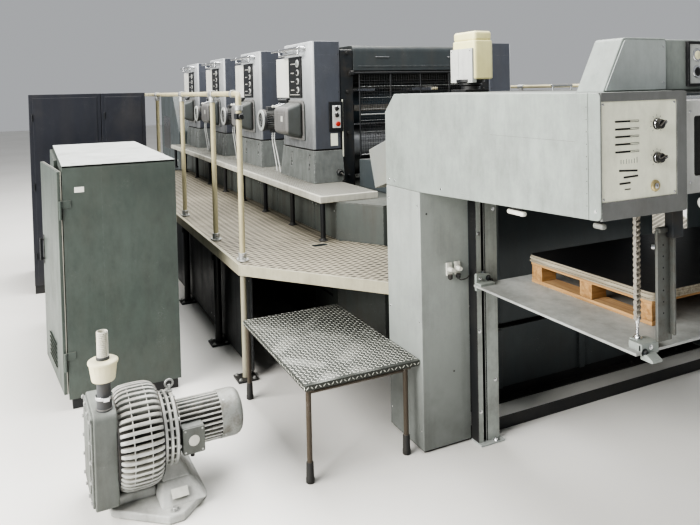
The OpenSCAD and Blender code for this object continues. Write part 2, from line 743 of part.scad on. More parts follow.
module feeder_head() {
  // Suction head: two cross tubes, the head's box between them and the blower housing
  y1 = feeder_y - 145;
  z = feeder_h - 150;
  color("#5f6566") union() {
    for (x = [feeder_x0 + 240, feeder_x0 + 620])
      rod_y(x, z, 76, -y1, y1);
    slab([feeder_x0 + 200, -310, z - 90], [feeder_x0 + 700, 310, z + 70]);
    slab([feeder_x0 + 640, -270, z - 200], [feeder_x0 + 700, 270, z - 60]);
    for (y = [-220, -80, 80, 220])
      rod_z(feeder_x0 + 300, y, 34, z - 190, z - 60);
  }
}
module feed_table() {
  // The slanted table with its tape rollers and tapes, held between the inner posts
  y1 = feeder_y - 195;
  x0 = feeder_x1 - 700;
  x1 = feeder_x1 - 0.3;
  tape_w = 40;
  color("#8f9593") union() {
    side_plate([[x0, 1130], [x1, 980], [x1, 1040], [x0, 1190]], -y1, y1);
    rod_y(x0 + 20, 1163, 70, -y1, y1);
    for (y = [-560, -280, 0, 280, 560])
      side_plate([[x0 + 20, 1185], [x1, 1039], [x1, 1044], [x0 + 20, 1198]], y - tape_w / 2, y + tape_w / 2);
  }
}

// Switch cabinets
cabinet_x1 = group_x1 + 747;
cabinet_x0 = cabinet_x1 - cabinet_len;
cabinet_y1 = -deck_half_w - 316;
cabinet_y0 = cabinet_y1 - cabinet_w;
door_w = 690;
door_t = 22;
door_low = 90;
door_gap = 2;
hinge_d = 16;
hinge_x = cabinet_x1 + 9;
hinge_y = cabinet_y0 - door_gap - door_t / 2;
hinge_zs = [220, cabinet_h - 290];
module switch_cabinet() {
  plinth_h = 60;
  plinth_in = 16;
  color("#5c6461") union() {
    plan(box_pts([cabinet_x0 + plinth_in, cabinet_y0 + plinth_in],
      [cabinet_x1 - plinth_in, cabinet_y1 - plinth_in]), 0, plinth_h + 1);
    difference() {
      slab([cabinet_x0, cabinet_y0, plinth_h], [cabinet_x1, cabinet_y1, cabinet_h]);
      slab([cabinet_x1 - door_w + 20, cabinet_y0 - 1, door_low + 20], [cabinet_x1 - 40, cabinet_y0 + 200,
        cabinet_h - 60]);
    }
    slab([cabinet_x0 + 10, cabinet_y0 - door_t, door_low], [cabinet_x1 - door_w - 20, cabinet_y0 + 1,
      cabinet_h - 30]);
    for (z = hinge_zs) {
      slab([cabinet_x1 - 1, hinge_y, z + 60.3], [cabinet_x1 + 5, cabinet_y0 + 40, z + 100]);
      rod_z(hinge_x, hinge_y, hinge_d, z + 60.3, z + 100);
    }
  }
}
module switch_cabinet_door() {
  louvre_count = 6;
  louvre_w = 260;
  door_x0 = cabinet_x1 - door_w;
  color("#59605e") translate([hinge_x, hinge_y, 0]) rotate([0, 0, door_ajar])
    translate([-hinge_x, -hinge_y, 0]) union() {
      difference() {
        slab([door_x0, cabinet_y0 - door_t - door_gap, door_low], [cabinet_x1 - 4, cabinet_y0 - door_gap,
          cabinet_h - 30]);
        for (k = [0:louvre_count - 1])
          slab([door_x0 + 210, cabinet_y0 - door_t - door_gap - 1, door_low + 70 + k * 26],
            [door_x0 + 210 + louvre_w, cabinet_y0 - door_gap - 8, door_low + 80 + k * 26]);
      }
      slab([door_x0 + 40, cabinet_y0 - door_t - door_gap - 26, 700], [door_x0 + 62, cabinet_y0 - door_t, 840]);
      for (z = hinge_zs) {
        rod_z(hinge_x, hinge_y, hinge_d, z, z + 60);
        slab([cabinet_x1 - 5, hinge_y - 3, z], [hinge_x, hinge_y + 3, z + 60]);
      }
    }
}
module tall_cabinets() {
  x1 = group_x1 - 1693;
  x0 = x1 - 900;
  y0 = -deck_half_w - 1078;
  split = y0 + 584;
  y1 = y0 + 969;
  h = 1731;
  plinth_h = 70;
  color("#3a424b") {
    tall_cabinet(x0, x1, y0, split, plinth_h, h);
    tall_cabinet(x0, x1, split + 3, y1, plinth_h, h);
  }
}
module tall_cabinet(x0, x1, y0, y1, plinth_h, h) {
  door_in = 30;
  union() {
    plan(box_pts([x0 + 14, y0 + 1], [x1 - 14, y1 - 1]), 0, plinth_h + 1);
    difference() {
      slab([x0, y0, plinth_h], [x1, y1, h]);
      slab([x1 - 3, y0 + door_in, plinth_h + 30], [x1 + 1, y0 + door_in + 5, h - 30]);
      slab([x1 - 3, y1 - door_in - 5, plinth_h + 30], [x1 + 1, y1 - door_in, h - 30]);
      slab([x1 - 8, y1 - door_in - 70, h / 2 - 60], [x1 + 1, y1 - door_in - 45, h / 2 + 60]);
    }
  }
}

// Air pump
pump_x = leg_x0 + 24;
pump_y = -2685;
box_top = pump_axis_z + 185;
casing_y0 = 92;
casing_y1 = 270;
flange_y1 = 345;
motor_y1 = 545;
flange_d = 310;
module pump_place() {
  translate([pump_x, pump_y, 0]) rotate([0, 0, pump_turn]) children();
}
module round_fins(count, low_r, high_r, t, y0, y1) {
  for (k = [0:count - 1])
    translate([0, 0, pump_axis_z]) rotate([0, k * 360 / count, 0])
      slab([-t / 2, y0, low_r], [t / 2, y1, high_r]);
}
module pump_foot() {
  // A low wide foot whose cheeks rise to the flange
  half = 270;
  plan([[-100, 60], [100, 60], [130, 90], [half, 260], [half, 320], [160, 440], [-160, 440],
    [-half, 320], [-half, 260], [-130, 90]], 0, 34);
  intersection() {
    cross_plate([[90, 33], [440, 33], [440, 60], [350, 160], [280, 160], [230, 80]], -half, half);
    side_plate([[-half + 40, 33], [half - 40, 33], [half - 60, 60], [80, 160], [-80, 160],
      [-half + 60, 60]], 0, 500);
  }
}
module pump_casing() {
  core_d = pump_d - 44;
  rib_t = 8;
  slats = 28;
  eye_z = pump_axis_z + flange_d / 2 + 34;
  color("#8a8d8f") pump_place() union() {
    pump_foot();
    side_plate(rounded([[-150, 60], [150, 60], [150, box_top], [-150, box_top]], [16, 16, 40, 60]),
      0, casing_y0);
    side_plate(rounded([[-140, 72], [140, 72], [140, box_top - 12], [-140, box_top - 12]],
      [16, 16, 34, 50]), -9, 1);
    rod_y(0, pump_axis_z, core_d, casing_y0 - 1, casing_y1 + 1);
    for (y = [casing_y0 + 2, 152, 210, casing_y1 - rib_t])
      rod_y(0, pump_axis_z, pump_d, y, y + rib_t);
    round_fins(slats, core_d / 2 - 4, pump_d / 2 - 1, 7, casing_y0 + 2, casing_y1 - 2);
    rod_y(0, pump_axis_z, flange_d - 40, casing_y1, flange_y1);
    for (y = [casing_y1 + 8, casing_y1 + 30, flange_y1 - 24])
      rod_y(0, pump_axis_z, flange_d, y, y + 14);
    rod_z(0, flange_y1 - 17, 16, pump_axis_z + flange_d / 2 - 4, eye_z - 14);
    translate([0, flange_y1 - 17, eye_z]) rotate([0, 90, 0]) rotate_extrude() translate([17, 0]) circle(d = 9);
  }
}
module pump_motor() {
  motor_r = 103;
  fin_count = 26;
  cowl_end = motor_y1 + 92;
  color("#a4a7a9") pump_place() union() {
    rod_y(0, pump_axis_z, 2 * motor_r - 30, flange_y1, motor_y1 + 1);
    round_fins(fin_count, motor_r - 18, motor_r - 1, 5, flange_y1, motor_y1 + 1);
    translate([0, motor_y1, pump_axis_z]) rotate([-90, 0, 0]) rotate_extrude()
      polygon(rounded([[0, 0], [motor_r, 0], [motor_r, cowl_end - motor_y1], [0, cowl_end - motor_y1]],
        [0, 0, 34, 0]));
    slab([70, flange_y1 + 6, pump_axis_z - 104], [140, flange_y1 + 100, pump_axis_z + 5]);
  }
}
module pump_filter() {
  // Neck with its band, flared cup and the stub of a hose on top
  color("#d8cf9a") pump_place() translate([95, 50, box_top]) union() {
    rotate_extrude()
      polygon([[0, 0], [30, 0], [30, 44], [34, 44], [34, 58], [28, 58], [28, 96], [40, 100], [54, 184],
        [59, 190], [59, 198], [50, 204], [0, 204]]);
    rod_z(0, 0, 46, 203, 318);
    rod_z(0, 0, 52, 203, 216);
  }
}

machine_base();
upper_steps();
gallery_decks();
deck_frames();
deck_skirts();
handrail_posts();
handrail_rails();
step_stool();
near_housing(0);  // unit_1_near_housing
near_housing(1);  // unit_2_near_housing
near_housing(2);  // unit_3_near_housing
near_housing(3);  // unit_4_near_housing
far_housing(0);  // unit_1_far_housing
far_housing(1);  // unit_2_far_housing
far_housing(2);  // unit_3_far_housing
far_housing(3);  // unit_4_far_housing
side_frames();
cylinders(0);  // unit_1_cylinders
cylinders(1);  // unit_2_cylinders
cylinders(2);  // unit_3_cylinders
cylinders(3);  // unit_4_cylinders
ink_unit_covers();
drive_covers();
fan_motors();
key_strips();
grab_handles();
unit_4_guard();
chain_casing();
delivery_leg_near();
delivery_leg_far();
side_cover_near();
side_cover_far();
control_panel();
knob(panel_z1 - 80);  // speed_knob
knob(panel_z1 - 192);  // air_knob
console_hoods();
console_bridge();
delivery_top();
delivery_guard();
guide_posts();
delivery_beams();
hoist_chains();
pile_guides();
pile_platform();
pallet();
pile_board();
powder_sprayer();
desk_box();
feeder_frames();
feeder_head();
feed_table();
switch_cabinet();
switch_cabinet_door();
tall_cabinets();
pump_casing();
pump_motor();
pump_filter();
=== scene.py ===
# %% [markdown]
# # An offset printing press, dressed from its CAD frame
#
# The machine is a row of four printing units on a raised base, with a delivery
# at one end, a feeder at the other, gallery decks, cabinets and an air pump.
# Its size is fixed, so this lesson only adds what the CAD leaves out: rounded
# sheet-metal edges, treads, bolts, buttons, fins, chain links and, above all,
# the finishes.

# %% Load the frame and note its box
import json
import math
import random
from itertools import product

import bmesh
import bpy
from mathutils import Matrix, Vector


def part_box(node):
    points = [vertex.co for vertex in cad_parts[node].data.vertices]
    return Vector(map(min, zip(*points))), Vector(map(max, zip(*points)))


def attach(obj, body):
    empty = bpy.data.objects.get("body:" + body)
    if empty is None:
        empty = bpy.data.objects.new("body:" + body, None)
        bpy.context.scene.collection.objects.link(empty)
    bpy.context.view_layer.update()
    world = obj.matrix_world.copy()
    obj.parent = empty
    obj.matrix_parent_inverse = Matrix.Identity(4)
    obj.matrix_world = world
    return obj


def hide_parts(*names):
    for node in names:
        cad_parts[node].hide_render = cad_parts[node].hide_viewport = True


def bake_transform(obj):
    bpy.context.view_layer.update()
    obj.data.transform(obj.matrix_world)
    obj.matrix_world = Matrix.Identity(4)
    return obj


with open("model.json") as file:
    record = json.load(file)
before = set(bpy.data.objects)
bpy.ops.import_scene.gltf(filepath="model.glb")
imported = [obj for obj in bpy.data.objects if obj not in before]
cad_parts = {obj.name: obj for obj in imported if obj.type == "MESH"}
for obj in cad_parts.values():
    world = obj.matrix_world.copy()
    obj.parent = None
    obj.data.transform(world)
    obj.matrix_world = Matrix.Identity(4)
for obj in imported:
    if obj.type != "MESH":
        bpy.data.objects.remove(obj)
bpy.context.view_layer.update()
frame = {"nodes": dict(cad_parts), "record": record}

# %% [markdown]
# ## Node wiring helpers
#
# A procedural finish is a small network. A few helpers keep each network short:
# `put` places a node and fills its sockets by name, from a plain value or from
# another node's output, and `effect_group` opens a shader node group with
# named inputs and outputs, for effects that several finishes share.

# %% Helpers for node networks
def wire(tree, node, sockets):
    """Fills sockets by name, or by number as i0, from a plain value or another node's output."""
    for key, value in sockets.items():
        by_number = key[0] == "i" and key[1:].isdigit()
        socket = node.inputs[int(key[1:]) if by_number else key.replace("_", " ")]
        if isinstance(value, bpy.types.NodeSocket):
            tree.links.new(value, socket)
        elif socket.type == "RGBA":
            socket.default_value = (*value, 1.0)
        else:
            socket.default_value = value
    return node


def put(tree, kind, _out=0, _set=None, **sockets):
    """Adds one node, sets its options, fills its sockets and gives back one output."""
    node = tree.nodes.new(kind)
    for key, value in (_set or {}).items():
        setattr(node, key, value)
    return wire(tree, node, sockets).outputs[_out]


def maths(tree, operation, a, b=0.0, c=0.0, clamp=False):
    return put(tree, "ShaderNodeMath", _set={"operation": operation, "use_clamp": clamp}, i0=a, i1=b, i2=c)


def times(tree, a, b, clamp=False):
    return maths(tree, "MULTIPLY", a, b, clamp=clamp)


def ramp(tree, value, low, high, to_low=0.0, to_high=1.0):
    """A clamped straight-line remap, the handiest way to sharpen a noise."""
    return put(tree, "ShaderNodeMapRange", Value=value, From_Min=low, From_Max=high, To_Min=to_low,
               To_Max=to_high)


def blend_colours(tree, amount, a, b):
    return put(tree, "ShaderNodeMix", 2, {"data_type": "RGBA"}, i0=amount, i6=a, i7=b)


def object_space(tree):
    return put(tree, "ShaderNodeTexCoord", "Object")


def height_of(tree, vector):
    return put(tree, "ShaderNodeSeparateXYZ", 2, Vector=vector)


def noise(tree, where, scale, detail=2.0, rough=0.5, stretch=None):
    """Noise in object space. A stretch below one draws it out along that axis."""
    if stretch:
        where = put(tree, "ShaderNodeMapping", Vector=where, Scale=stretch)
    return put(tree, "ShaderNodeTexNoise", Vector=where, Scale=scale, Detail=detail, Roughness=rough)


def effect_group(name, inputs, outputs=("Mask",)):
    tree = bpy.data.node_groups.new(name, "ShaderNodeTree")
    for label, value in inputs.items():
        tree.interface.new_socket(label, in_out="INPUT", socket_type="NodeSocketFloat").default_value = value
    for label in outputs:
        tree.interface.new_socket(label, in_out="OUTPUT", socket_type="NodeSocketFloat")
    given, out = tree.nodes.new("NodeGroupInput").outputs, tree.nodes.new("NodeGroupOutput").inputs
    return tree, given, out, object_space(tree)


def use_group(tree, group, **values):
    node = tree.nodes.new("ShaderNodeGroup")
    node.node_tree = group
    return wire(tree, node, values).outputs


def mask(tree, group, **values):
    return use_group(tree, group, **values)["Mask"]


print("helpers ready")

# %% [markdown]
# ## Shared effects
#
# A press in a workshop shows the same few signs of use everywhere: paint worn
# to metal on the edges, dust lying on faces that look up, streaky grime that
# thickens towards the floor, and fine scratches. Each is a node group that puts
# out a mask, so every finish can use it in its own strength. The edge mask
# compares the true normal with one that is rounded over a few millimetres.

# %% Edge wear
def make_edge_wear():
    tree, given, out, where = effect_group("edge_wear", {"Width": 0.004, "Amount": 0.5})
    true_normal = put(tree, "ShaderNodeNewGeometry", "Normal")
    soft_normal = put(tree, "ShaderNodeBevel", _set={"samples": 4}, Radius=given["Width"])
    turn = put(tree, "ShaderNodeVectorMath", "Value", {"operation": "DOT_PRODUCT"}, i0=true_normal,
               i1=soft_normal)
    patchy = ramp(tree, noise(tree, where, 38.0, 5.0, 0.7), 0.42, 0.62)
    worn = times(tree, ramp(tree, turn, 0.995, 0.86), patchy)
    tree.links.new(times(tree, worn, given["Amount"], True), out["Mask"])
    return tree


edge_wear = make_edge_wear()
print("group:", edge_wear.name)

# %% Dust on faces that look up
def make_settled_dust():
    tree, given, out, where = effect_group("settled_dust", {"Amount": 0.5})
    up = height_of(tree, put(tree, "ShaderNodeNewGeometry", "Normal"))
    cloudy = ramp(tree, noise(tree, where, 5.0, 6.0, 0.65), 0.3, 0.7, 0.35, 1.0)
    speckle = ramp(tree, noise(tree, where, 240.0, 2.0, 0.6), 0.45, 0.7, 0.8, 1.0)
    lying = times(tree, ramp(tree, up, 0.25, 0.95), times(tree, cloudy, speckle))
    tree.links.new(times(tree, lying, given["Amount"], True), out["Mask"])
    return tree


settled_dust = make_settled_dust()
print("group:", settled_dust.name)

# %% Grime in streaks and smudges
def make_grime():
    tree, given, out, where = effect_group("grime", {"Streaks": 0.5, "Smudges": 0.5, "Foot": 0.3})
    streaks = ramp(tree, noise(tree, where, 11.0, 5.0, 0.62, (1.0, 1.0, 0.09)), 0.48, 0.78)
    smudges = ramp(tree, noise(tree, where, 3.1, 8.0, 0.68), 0.48, 0.74)
    near_floor = times(tree, ramp(tree, height_of(tree, where), 0.42, 0.0),
                       ramp(tree, noise(tree, where, 9.0, 5.0, 0.6), 0.3, 0.75))
    total = times(tree, streaks, given["Streaks"])
    total = maths(tree, "MULTIPLY_ADD", smudges, given["Smudges"], total)
    total = maths(tree, "MULTIPLY_ADD", near_floor, given["Foot"], total, True)
    tree.links.new(total, out["Mask"])
    return tree


grime = make_grime()
print("group:", grime.name)

# %% Fine scratches, and the pores and ripples of a coat
def make_scratches():
    tree, given, out, where = effect_group("scratches", {"Amount": 0.5, "Scale": 1.0})
    lines = []
    for turn, scale in (((0.3, 0.5, 0.2), 60.0), ((1.2, -0.4, 0.8), 90.0)):
        turned_space = put(tree, "ShaderNodeMapping", Vector=where, Rotation=turn, Scale=(0.035, 1.0, 1.0))
        fine = put(tree, "ShaderNodeTexNoise", Vector=turned_space, Scale=times(tree, given["Scale"], scale),
                   Detail=1.0)
        lines.append(ramp(tree, maths(tree, "ABSOLUTE", maths(tree, "SUBTRACT", fine, 0.5)), 0.006, 0.0))
    sparse = ramp(tree, noise(tree, where, 6.0, 3.0, 0.6), 0.56, 0.7)
    cut = times(tree, maths(tree, "MAXIMUM", *lines), sparse)
    tree.links.new(times(tree, cut, given["Amount"], True), out["Mask"])
    return tree


def make_coat_texture():
    tree, given, out, where = effect_group("coat_texture", {"Scale": 320.0}, ("Height", "Tone", "Mottle"))
    fine = put(tree, "ShaderNodeTexNoise", Vector=where, Scale=given["Scale"], Detail=2.0, Roughness=0.55)
    tree.links.new(fine, out["Height"])
    tree.links.new(ramp(tree, noise(tree, where, 1.3, 3.0, 0.5), 0.25, 0.75), out["Tone"])
    cloud = ramp(tree, noise(tree, where, 5.5, 9.0, 0.74, (1.0, 1.0, 0.7)), 0.40, 0.66)
    rubbed = ramp(tree, noise(tree, where, 26.0, 5.0, 0.7, (1.0, 1.0, 0.35)), 0.42, 0.70)
    tree.links.new(maths(tree, "MULTIPLY_ADD", rubbed, 0.4, times(tree, cloud, 0.6)), out["Mottle"])
    return tree


scratches = make_scratches()
coat_texture = make_coat_texture()
print("groups:", scratches.name, coat_texture.name)

# %% [markdown]
# ## Finishes
#
# Sheet-metal paint is the main finish. One function makes every paint on the
# machine from its colour and its state: grime darkens it, scratches and worn
# edges show what is under it, dust lies on its upper faces, and a very fine
# bump breaks the gloss the way a sprayed coat does. Where asked, it also
# darkens towards the bottom as a painted shade.

# %% The painted finish
FINISH = {}


def open_finish(name):
    """A new material, kept in FINISH under its name, with its node tree and shader."""
    FINISH[name] = material = bpy.data.materials.new(name)
    material.use_nodes = True
    return material.node_tree, material.node_tree.nodes["Principled BSDF"]


def bump(tree, height, distance):
    return put(tree, "ShaderNodeBump", "Normal", Strength=1.0, Distance=distance, Height=height)


def shade(colour, factor):
    return tuple(min(1.0, channel * factor) for channel in colour)


LINT = (0.42, 0.39, 0.33)


def paint(name, colour, rough=0.42, streaks=0.3, smudges=0.3, foot=0.3, dust=0.25, wear=0.5, scratch=0.4,
          dirt=(0.09, 0.08, 0.065), bare=(0.42, 0.42, 0.41), lighter=1.12, width=0.004, grain=0.00012,
          mottle=0.5, shade_by_height=None, lint=LINT):
    """Paint in layers: two tones, a painted shade that darkens it towards the bottom, mottle, grime, worn
    metal and dust.
    """
    tree, shader = open_finish(name)
    coat = use_group(tree, coat_texture, Scale=420.0)
    tone = blend_colours(tree, coat["Tone"], shade(colour, 0.92), shade(colour, lighter))
    # A painted shade over height: the colour darkens by its factor towards the low height.
    if shade_by_height:
        low, high, factor = shade_by_height
        rising = ramp(tree, height_of(tree, object_space(tree)), low, high)
        tone = blend_colours(tree, rising, shade(colour, factor), tone)
    tone = blend_colours(tree, times(tree, coat["Mottle"], mottle), tone, shade(colour, 0.62))
    dirty = mask(tree, grime, Streaks=streaks, Smudges=smudges, Foot=foot)
    tone = blend_colours(tree, times(tree, dirty, 0.75), tone, dirt)
    lines = mask(tree, scratches, Amount=scratch)
    worn = maths(tree, "MAXIMUM", lines, mask(tree, edge_wear, Width=width, Amount=wear))
    tone = blend_colours(tree, worn, tone, bare)
    dusty = mask(tree, settled_dust, Amount=dust)
    tone = blend_colours(tree, dusty, tone, lint)
    roughness = ramp(tree, maths(tree, "ADD", dirty, dusty), 0.0, 1.0, rough, min(0.95, rough + 0.4))
    height = maths(tree, "MULTIPLY_ADD", lines, -0.6, coat["Height"])
    wire(tree, shader, dict(Base_Color=tone, Roughness=roughness, Normal=bump(tree, height, grain)))


paint("housing_paint", (0.090, 0.097, 0.115), 0.36, streaks=0.25, smudges=0.25, wear=0.4)
paint("base_paint", (0.098, 0.110, 0.103), 0.45, streaks=0.7, smudges=0.5, foot=0.6)
paint("cover_paint", (0.335, 0.368, 0.345), 0.40, streaks=0.30, smudges=0.45, foot=0.6, wear=0.35,
      dirt=(0.15, 0.16, 0.145), mottle=0.85, scratch=0.6)
# The leg paint darkens towards the floor: painted shade.
paint("leg_paint", (0.36, 0.385, 0.365), 0.42, streaks=0.4, smudges=0.35, foot=0.8, wear=0.45,
      dirt=(0.13, 0.135, 0.125), shade_by_height=(0.0, 0.85, 0.52))
paint("hood_paint", (0.44, 0.475, 0.465), 0.42, streaks=0.2, smudges=0.2)
paint("black_steel", (0.018, 0.020, 0.023), 0.40, wear=0.6, dust=0.10, bare=(0.22, 0.21, 0.20))
paint("skirt_paint", (0.012, 0.015, 0.017), 0.40, streaks=0.5, foot=0.5, dust=0.3,
      dirt=(0.03, 0.028, 0.025))
paint("cover_dark", (0.085, 0.100, 0.106), 0.36, wear=0.5, dust=0.35)
paint("drive_grey", (0.105, 0.115, 0.113), 0.42, streaks=0.2, smudges=0.3)
paint("guard_grey", (0.55, 0.57, 0.55), 0.38, smudges=0.35)
paint("panel_cream", (0.88, 0.89, 0.74), 0.42, streaks=0.25, smudges=0.3, foot=0.0, scratch=0.7,
      dirt=(0.25, 0.22, 0.15))
paint("feeder_paint", (0.075, 0.092, 0.095), 0.40)
paint("cabinet_paint", (0.080, 0.098, 0.087), 0.34, streaks=0.25, smudges=0.25, foot=0.5, wear=0.3,
      mottle=0.7, lighter=1.35)
paint("tall_cabinet_paint", (0.026, 0.028, 0.036), 0.36, streaks=0.15, foot=0.4, wear=0.05,
      scratch=0.2, dust=0.1)
paint("platform_paint", (0.44, 0.455, 0.44), 0.42, smudges=0.5, scratch=1.0, wear=0.9, dust=0.15,
      mottle=0.9)
paint("plug_white", (0.72, 0.72, 0.66), 0.4, wear=0.0)
print("painted finishes:", len(FINISH))

# %% [markdown]
# ## Bare metals, plastics and wood
#
# Bare parts need other networks. Steel is metallic with broad stains that dull
# it; cast alloy is rough and dusty; plastics have no metal in them and yellow
# with age; pallet wood has long grain drawn from a stretched noise, with broad
# darker bands and knots.

# %% Metals
def metal(name, colour, rough=0.3, stain=0.5, dust=0.2, scratch=0.5, stain_colour=(0.10, 0.075, 0.05),
          grain=0.0001, metallic=1.0, scale=14.0):
    """Bare or thinly coated metal: stained, dusty and scratched."""
    tree, shader = open_finish(name)
    coat = use_group(tree, coat_texture, Scale=260.0)
    patches = ramp(tree, noise(tree, object_space(tree), scale, 6.0, 0.68), 0.45, 0.75)
    stained = times(tree, patches, stain)
    tone = blend_colours(tree, coat["Tone"], shade(colour, 0.88), shade(colour, 1.08))
    tone = blend_colours(tree, stained, tone, stain_colour)
    dusty = mask(tree, settled_dust, Amount=dust)
    tone = blend_colours(tree, dusty, tone, LINT)
    lines = mask(tree, scratches, Amount=scratch)
    dull = maths(tree, "MAXIMUM", stained, dusty)
    roughness = maths(tree, "SUBTRACT", ramp(tree, dull, 0.0, 1.0, rough, min(0.9, rough + 0.45)),
                      times(tree, lines, 0.1), clamp=True)
    height = maths(tree, "MULTIPLY_ADD", lines, -0.5, coat["Height"])
    wire(tree, shader, dict(Base_Color=tone, Roughness=roughness, Normal=bump(tree, height, grain),
                            Metallic=ramp(tree, dull, 0.0, 1.0, metallic, metallic * 0.35)))


metal("chrome", (0.74, 0.75, 0.76), 0.16, stain=0.25, dust=0.1)
metal("brass", (0.72, 0.60, 0.34), 0.26, stain=0.3)
metal("chain_steel", (0.55, 0.52, 0.47), 0.34, stain=0.6, scale=60.0)
metal("steel_bar", (0.42, 0.40, 0.37), 0.42, stain=0.8, dust=0.1, scale=32.0)
metal("guide_steel", (0.17, 0.178, 0.168), 0.44, stain=0.55, dust=0.15, scale=26.0, metallic=0.6)
metal("cylinder_steel", (0.42, 0.43, 0.44), 0.28)
metal("frame_dark", (0.045, 0.05, 0.055), 0.42, metallic=0.4, dust=0.3)
metal("motor_dark", (0.10, 0.105, 0.11), 0.5, stain=0.4, metallic=0.3, dust=0.5, grain=0.0004)
for name, colour, rough, stain_colour in (
        ("pump_alloy", (0.56, 0.57, 0.55), 0.46, (0.12, 0.115, 0.10)),
        ("motor_alloy", (0.62, 0.63, 0.61), 0.42, (0.13, 0.125, 0.11))):
    metal(name, colour, rough, dust=0.9, metallic=0.55, grain=0.0005, stain_colour=stain_colour, scale=22.0)
print("metals ready")

# %% Plastics, rubber and wood
def dirt_and_dust(tree, tone, dirty, amount, dirt, dust, lint=LINT):
    """Lays grime and then dust over a tone."""
    tone = blend_colours(tree, times(tree, dirty, amount), tone, dirt)
    return blend_colours(tree, mask(tree, settled_dust, Amount=dust), tone, lint)


def plastic(name, colour, rough=0.4, age=0.4):
    tree, shader = open_finish(name)
    aged = times(tree, ramp(tree, noise(tree, object_space(tree), 7.0, 5.0, 0.6), 0.35, 0.75), age)
    tone = blend_colours(tree, aged, shade(colour, 1.04), (0.5, 0.40, 0.15))
    dirty = mask(tree, grime, Streaks=0.3, Smudges=0.3, Foot=0.0)
    tone = dirt_and_dust(tree, tone, dirty, 0.5, (0.16, 0.14, 0.10), 0.4)
    wire(tree, shader, dict(Base_Color=tone, Roughness=ramp(tree, dirty, 0.0, 1.0, rough, rough + 0.3),
                            Normal=bump(tree, use_group(tree, coat_texture, Scale=600.0)["Height"], 0.0001)))


plastic("knob_black", (0.018, 0.018, 0.020), 0.30, 0.0)
plastic("key_plate", (0.72, 0.72, 0.68), 0.42, 0.12)
plastic("sprayer_plastic", (0.88, 0.83, 0.47), 0.45, 0.3)
plastic("filter_plastic", (0.72, 0.68, 0.48), 0.5)
plastic("desk_grey", (0.22, 0.232, 0.224), 0.42, 0.1)
plastic("rubber", (0.03, 0.03, 0.03), 0.65, 0.0)
plastic("button_red", (0.42, 0.03, 0.02), 0.35, 0.0)


def wood(name, light, dark, rough=0.7, along_axis=0, dust=0.3):
    tree, shader = open_finish(name)
    where = object_space(tree)
    stretch = [1.0, 1.0, 1.0]
    stretch[along_axis] = 0.06
    grain = noise(tree, where, 75.0, 6.0, 0.62, stretch)
    broad = ramp(tree, noise(tree, where, 9.0, 4.0, 0.6, stretch), 0.42, 0.72)
    knots = ramp(tree, noise(tree, where, 14.0, 2.0, 0.5), 0.68, 0.74)
    tone = blend_colours(tree, ramp(tree, grain, 0.35, 0.65), dark, light)
    tone = blend_colours(tree, times(tree, broad, 0.45), tone, shade(dark, 0.75))
    tone = blend_colours(tree, times(tree, knots, 0.6), tone, shade(dark, 0.45))
    dirty = mask(tree, grime, Streaks=0.1, Smudges=0.5, Foot=0.2)
    tone = dirt_and_dust(tree, tone, dirty, 0.45, (0.10, 0.08, 0.06), dust, (0.40, 0.36, 0.30))
    wire(tree, shader, dict(Base_Color=tone, Roughness=rough, Normal=bump(tree, grain, 0.0009)))


wood("pallet_wood", (0.56, 0.36, 0.17), (0.34, 0.19, 0.08))
wood("pallet_cross", (0.54, 0.34, 0.16), (0.33, 0.18, 0.07), along_axis=1)
wood("board_edge", (0.46, 0.42, 0.33), (0.22, 0.19, 0.14))
wood("pile_board", (0.010, 0.011, 0.014), (0.005, 0.005, 0.007), 0.4, dust=0.04)
print("finishes so far:", len(FINISH))

# %% Assign finishes to the CAD nodes that stay
for part in frame["record"]["subparts"]:
    if part["material_slot"] in FINISH:
        mesh = frame["nodes"][part["node"]].data
        mesh.materials.clear()
        mesh.materials.append(FINISH[part["material_slot"]])

# %% [markdown]
# ## Tread plate and rails
#
# Tread plate carries crossed rows of short raised bars. The gallery's bars are
# far too many to model, so one pattern group puts out their height and every
# tread finish bumps with it and keeps its dirt and a painted shade between the
# bars. The stool stands close to the camera and gets real bars further on.

# %% Patterns of tread plate
def off_centre(tree, value):
    """How far a value lies from the middle of its cell, 0 to 0.5."""
    return maths(tree, "ABSOLUTE", maths(tree, "SUBTRACT", maths(tree, "FRACT", value), 0.5))


def pattern_group(name):
    """Opens a pattern group. Its rows(slope) are the cells of lines that lean by that slope."""
    tree, given, out, where = effect_group(name, {"Pitch": 0.03}, ("Height",))
    parts = put(tree, "ShaderNodeSeparateXYZ", Vector=where).node.outputs
    rows = lambda slope: maths(tree, "DIVIDE", maths(tree, "MULTIPLY_ADD", parts[1], slope, parts[0]),
                               given["Pitch"])
    return tree, out, rows


def make_lozenges():
    """Short raised bars in two crossed families, half a cell apart."""
    tree, out, rows = pattern_group("lozenges")
    bars = []
    for turn in (1.0, -1.0):
        along_row, across_row = rows(turn), rows(-turn)
        if turn < 0:
            along_row = maths(tree, "ADD", along_row, 0.5)
            across_row = maths(tree, "ADD", across_row, 0.5)
        length = ramp(tree, off_centre(tree, along_row), 0.36, 0.27)
        bars.append(times(tree, length, ramp(tree, off_centre(tree, across_row), 0.14, 0.04)))
    tree.links.new(maths(tree, "MAXIMUM", *bars), out["Height"])
    return tree


def make_diamonds():
    """Open diamonds of an anti-slip plate: light strands round dark pockets, longer across the walkway."""
    tree, out, rows = pattern_group("diamonds")
    across = [off_centre(tree, rows(turn * 0.46)) for turn in (1.0, -1.0)]
    tree.links.new(ramp(tree, maths(tree, "MAXIMUM", *across), 0.24, 0.37), out["Height"])
    return tree


lozenges, diamonds = make_lozenges(), make_diamonds()
print("groups:", lozenges.name, diamonds.name)

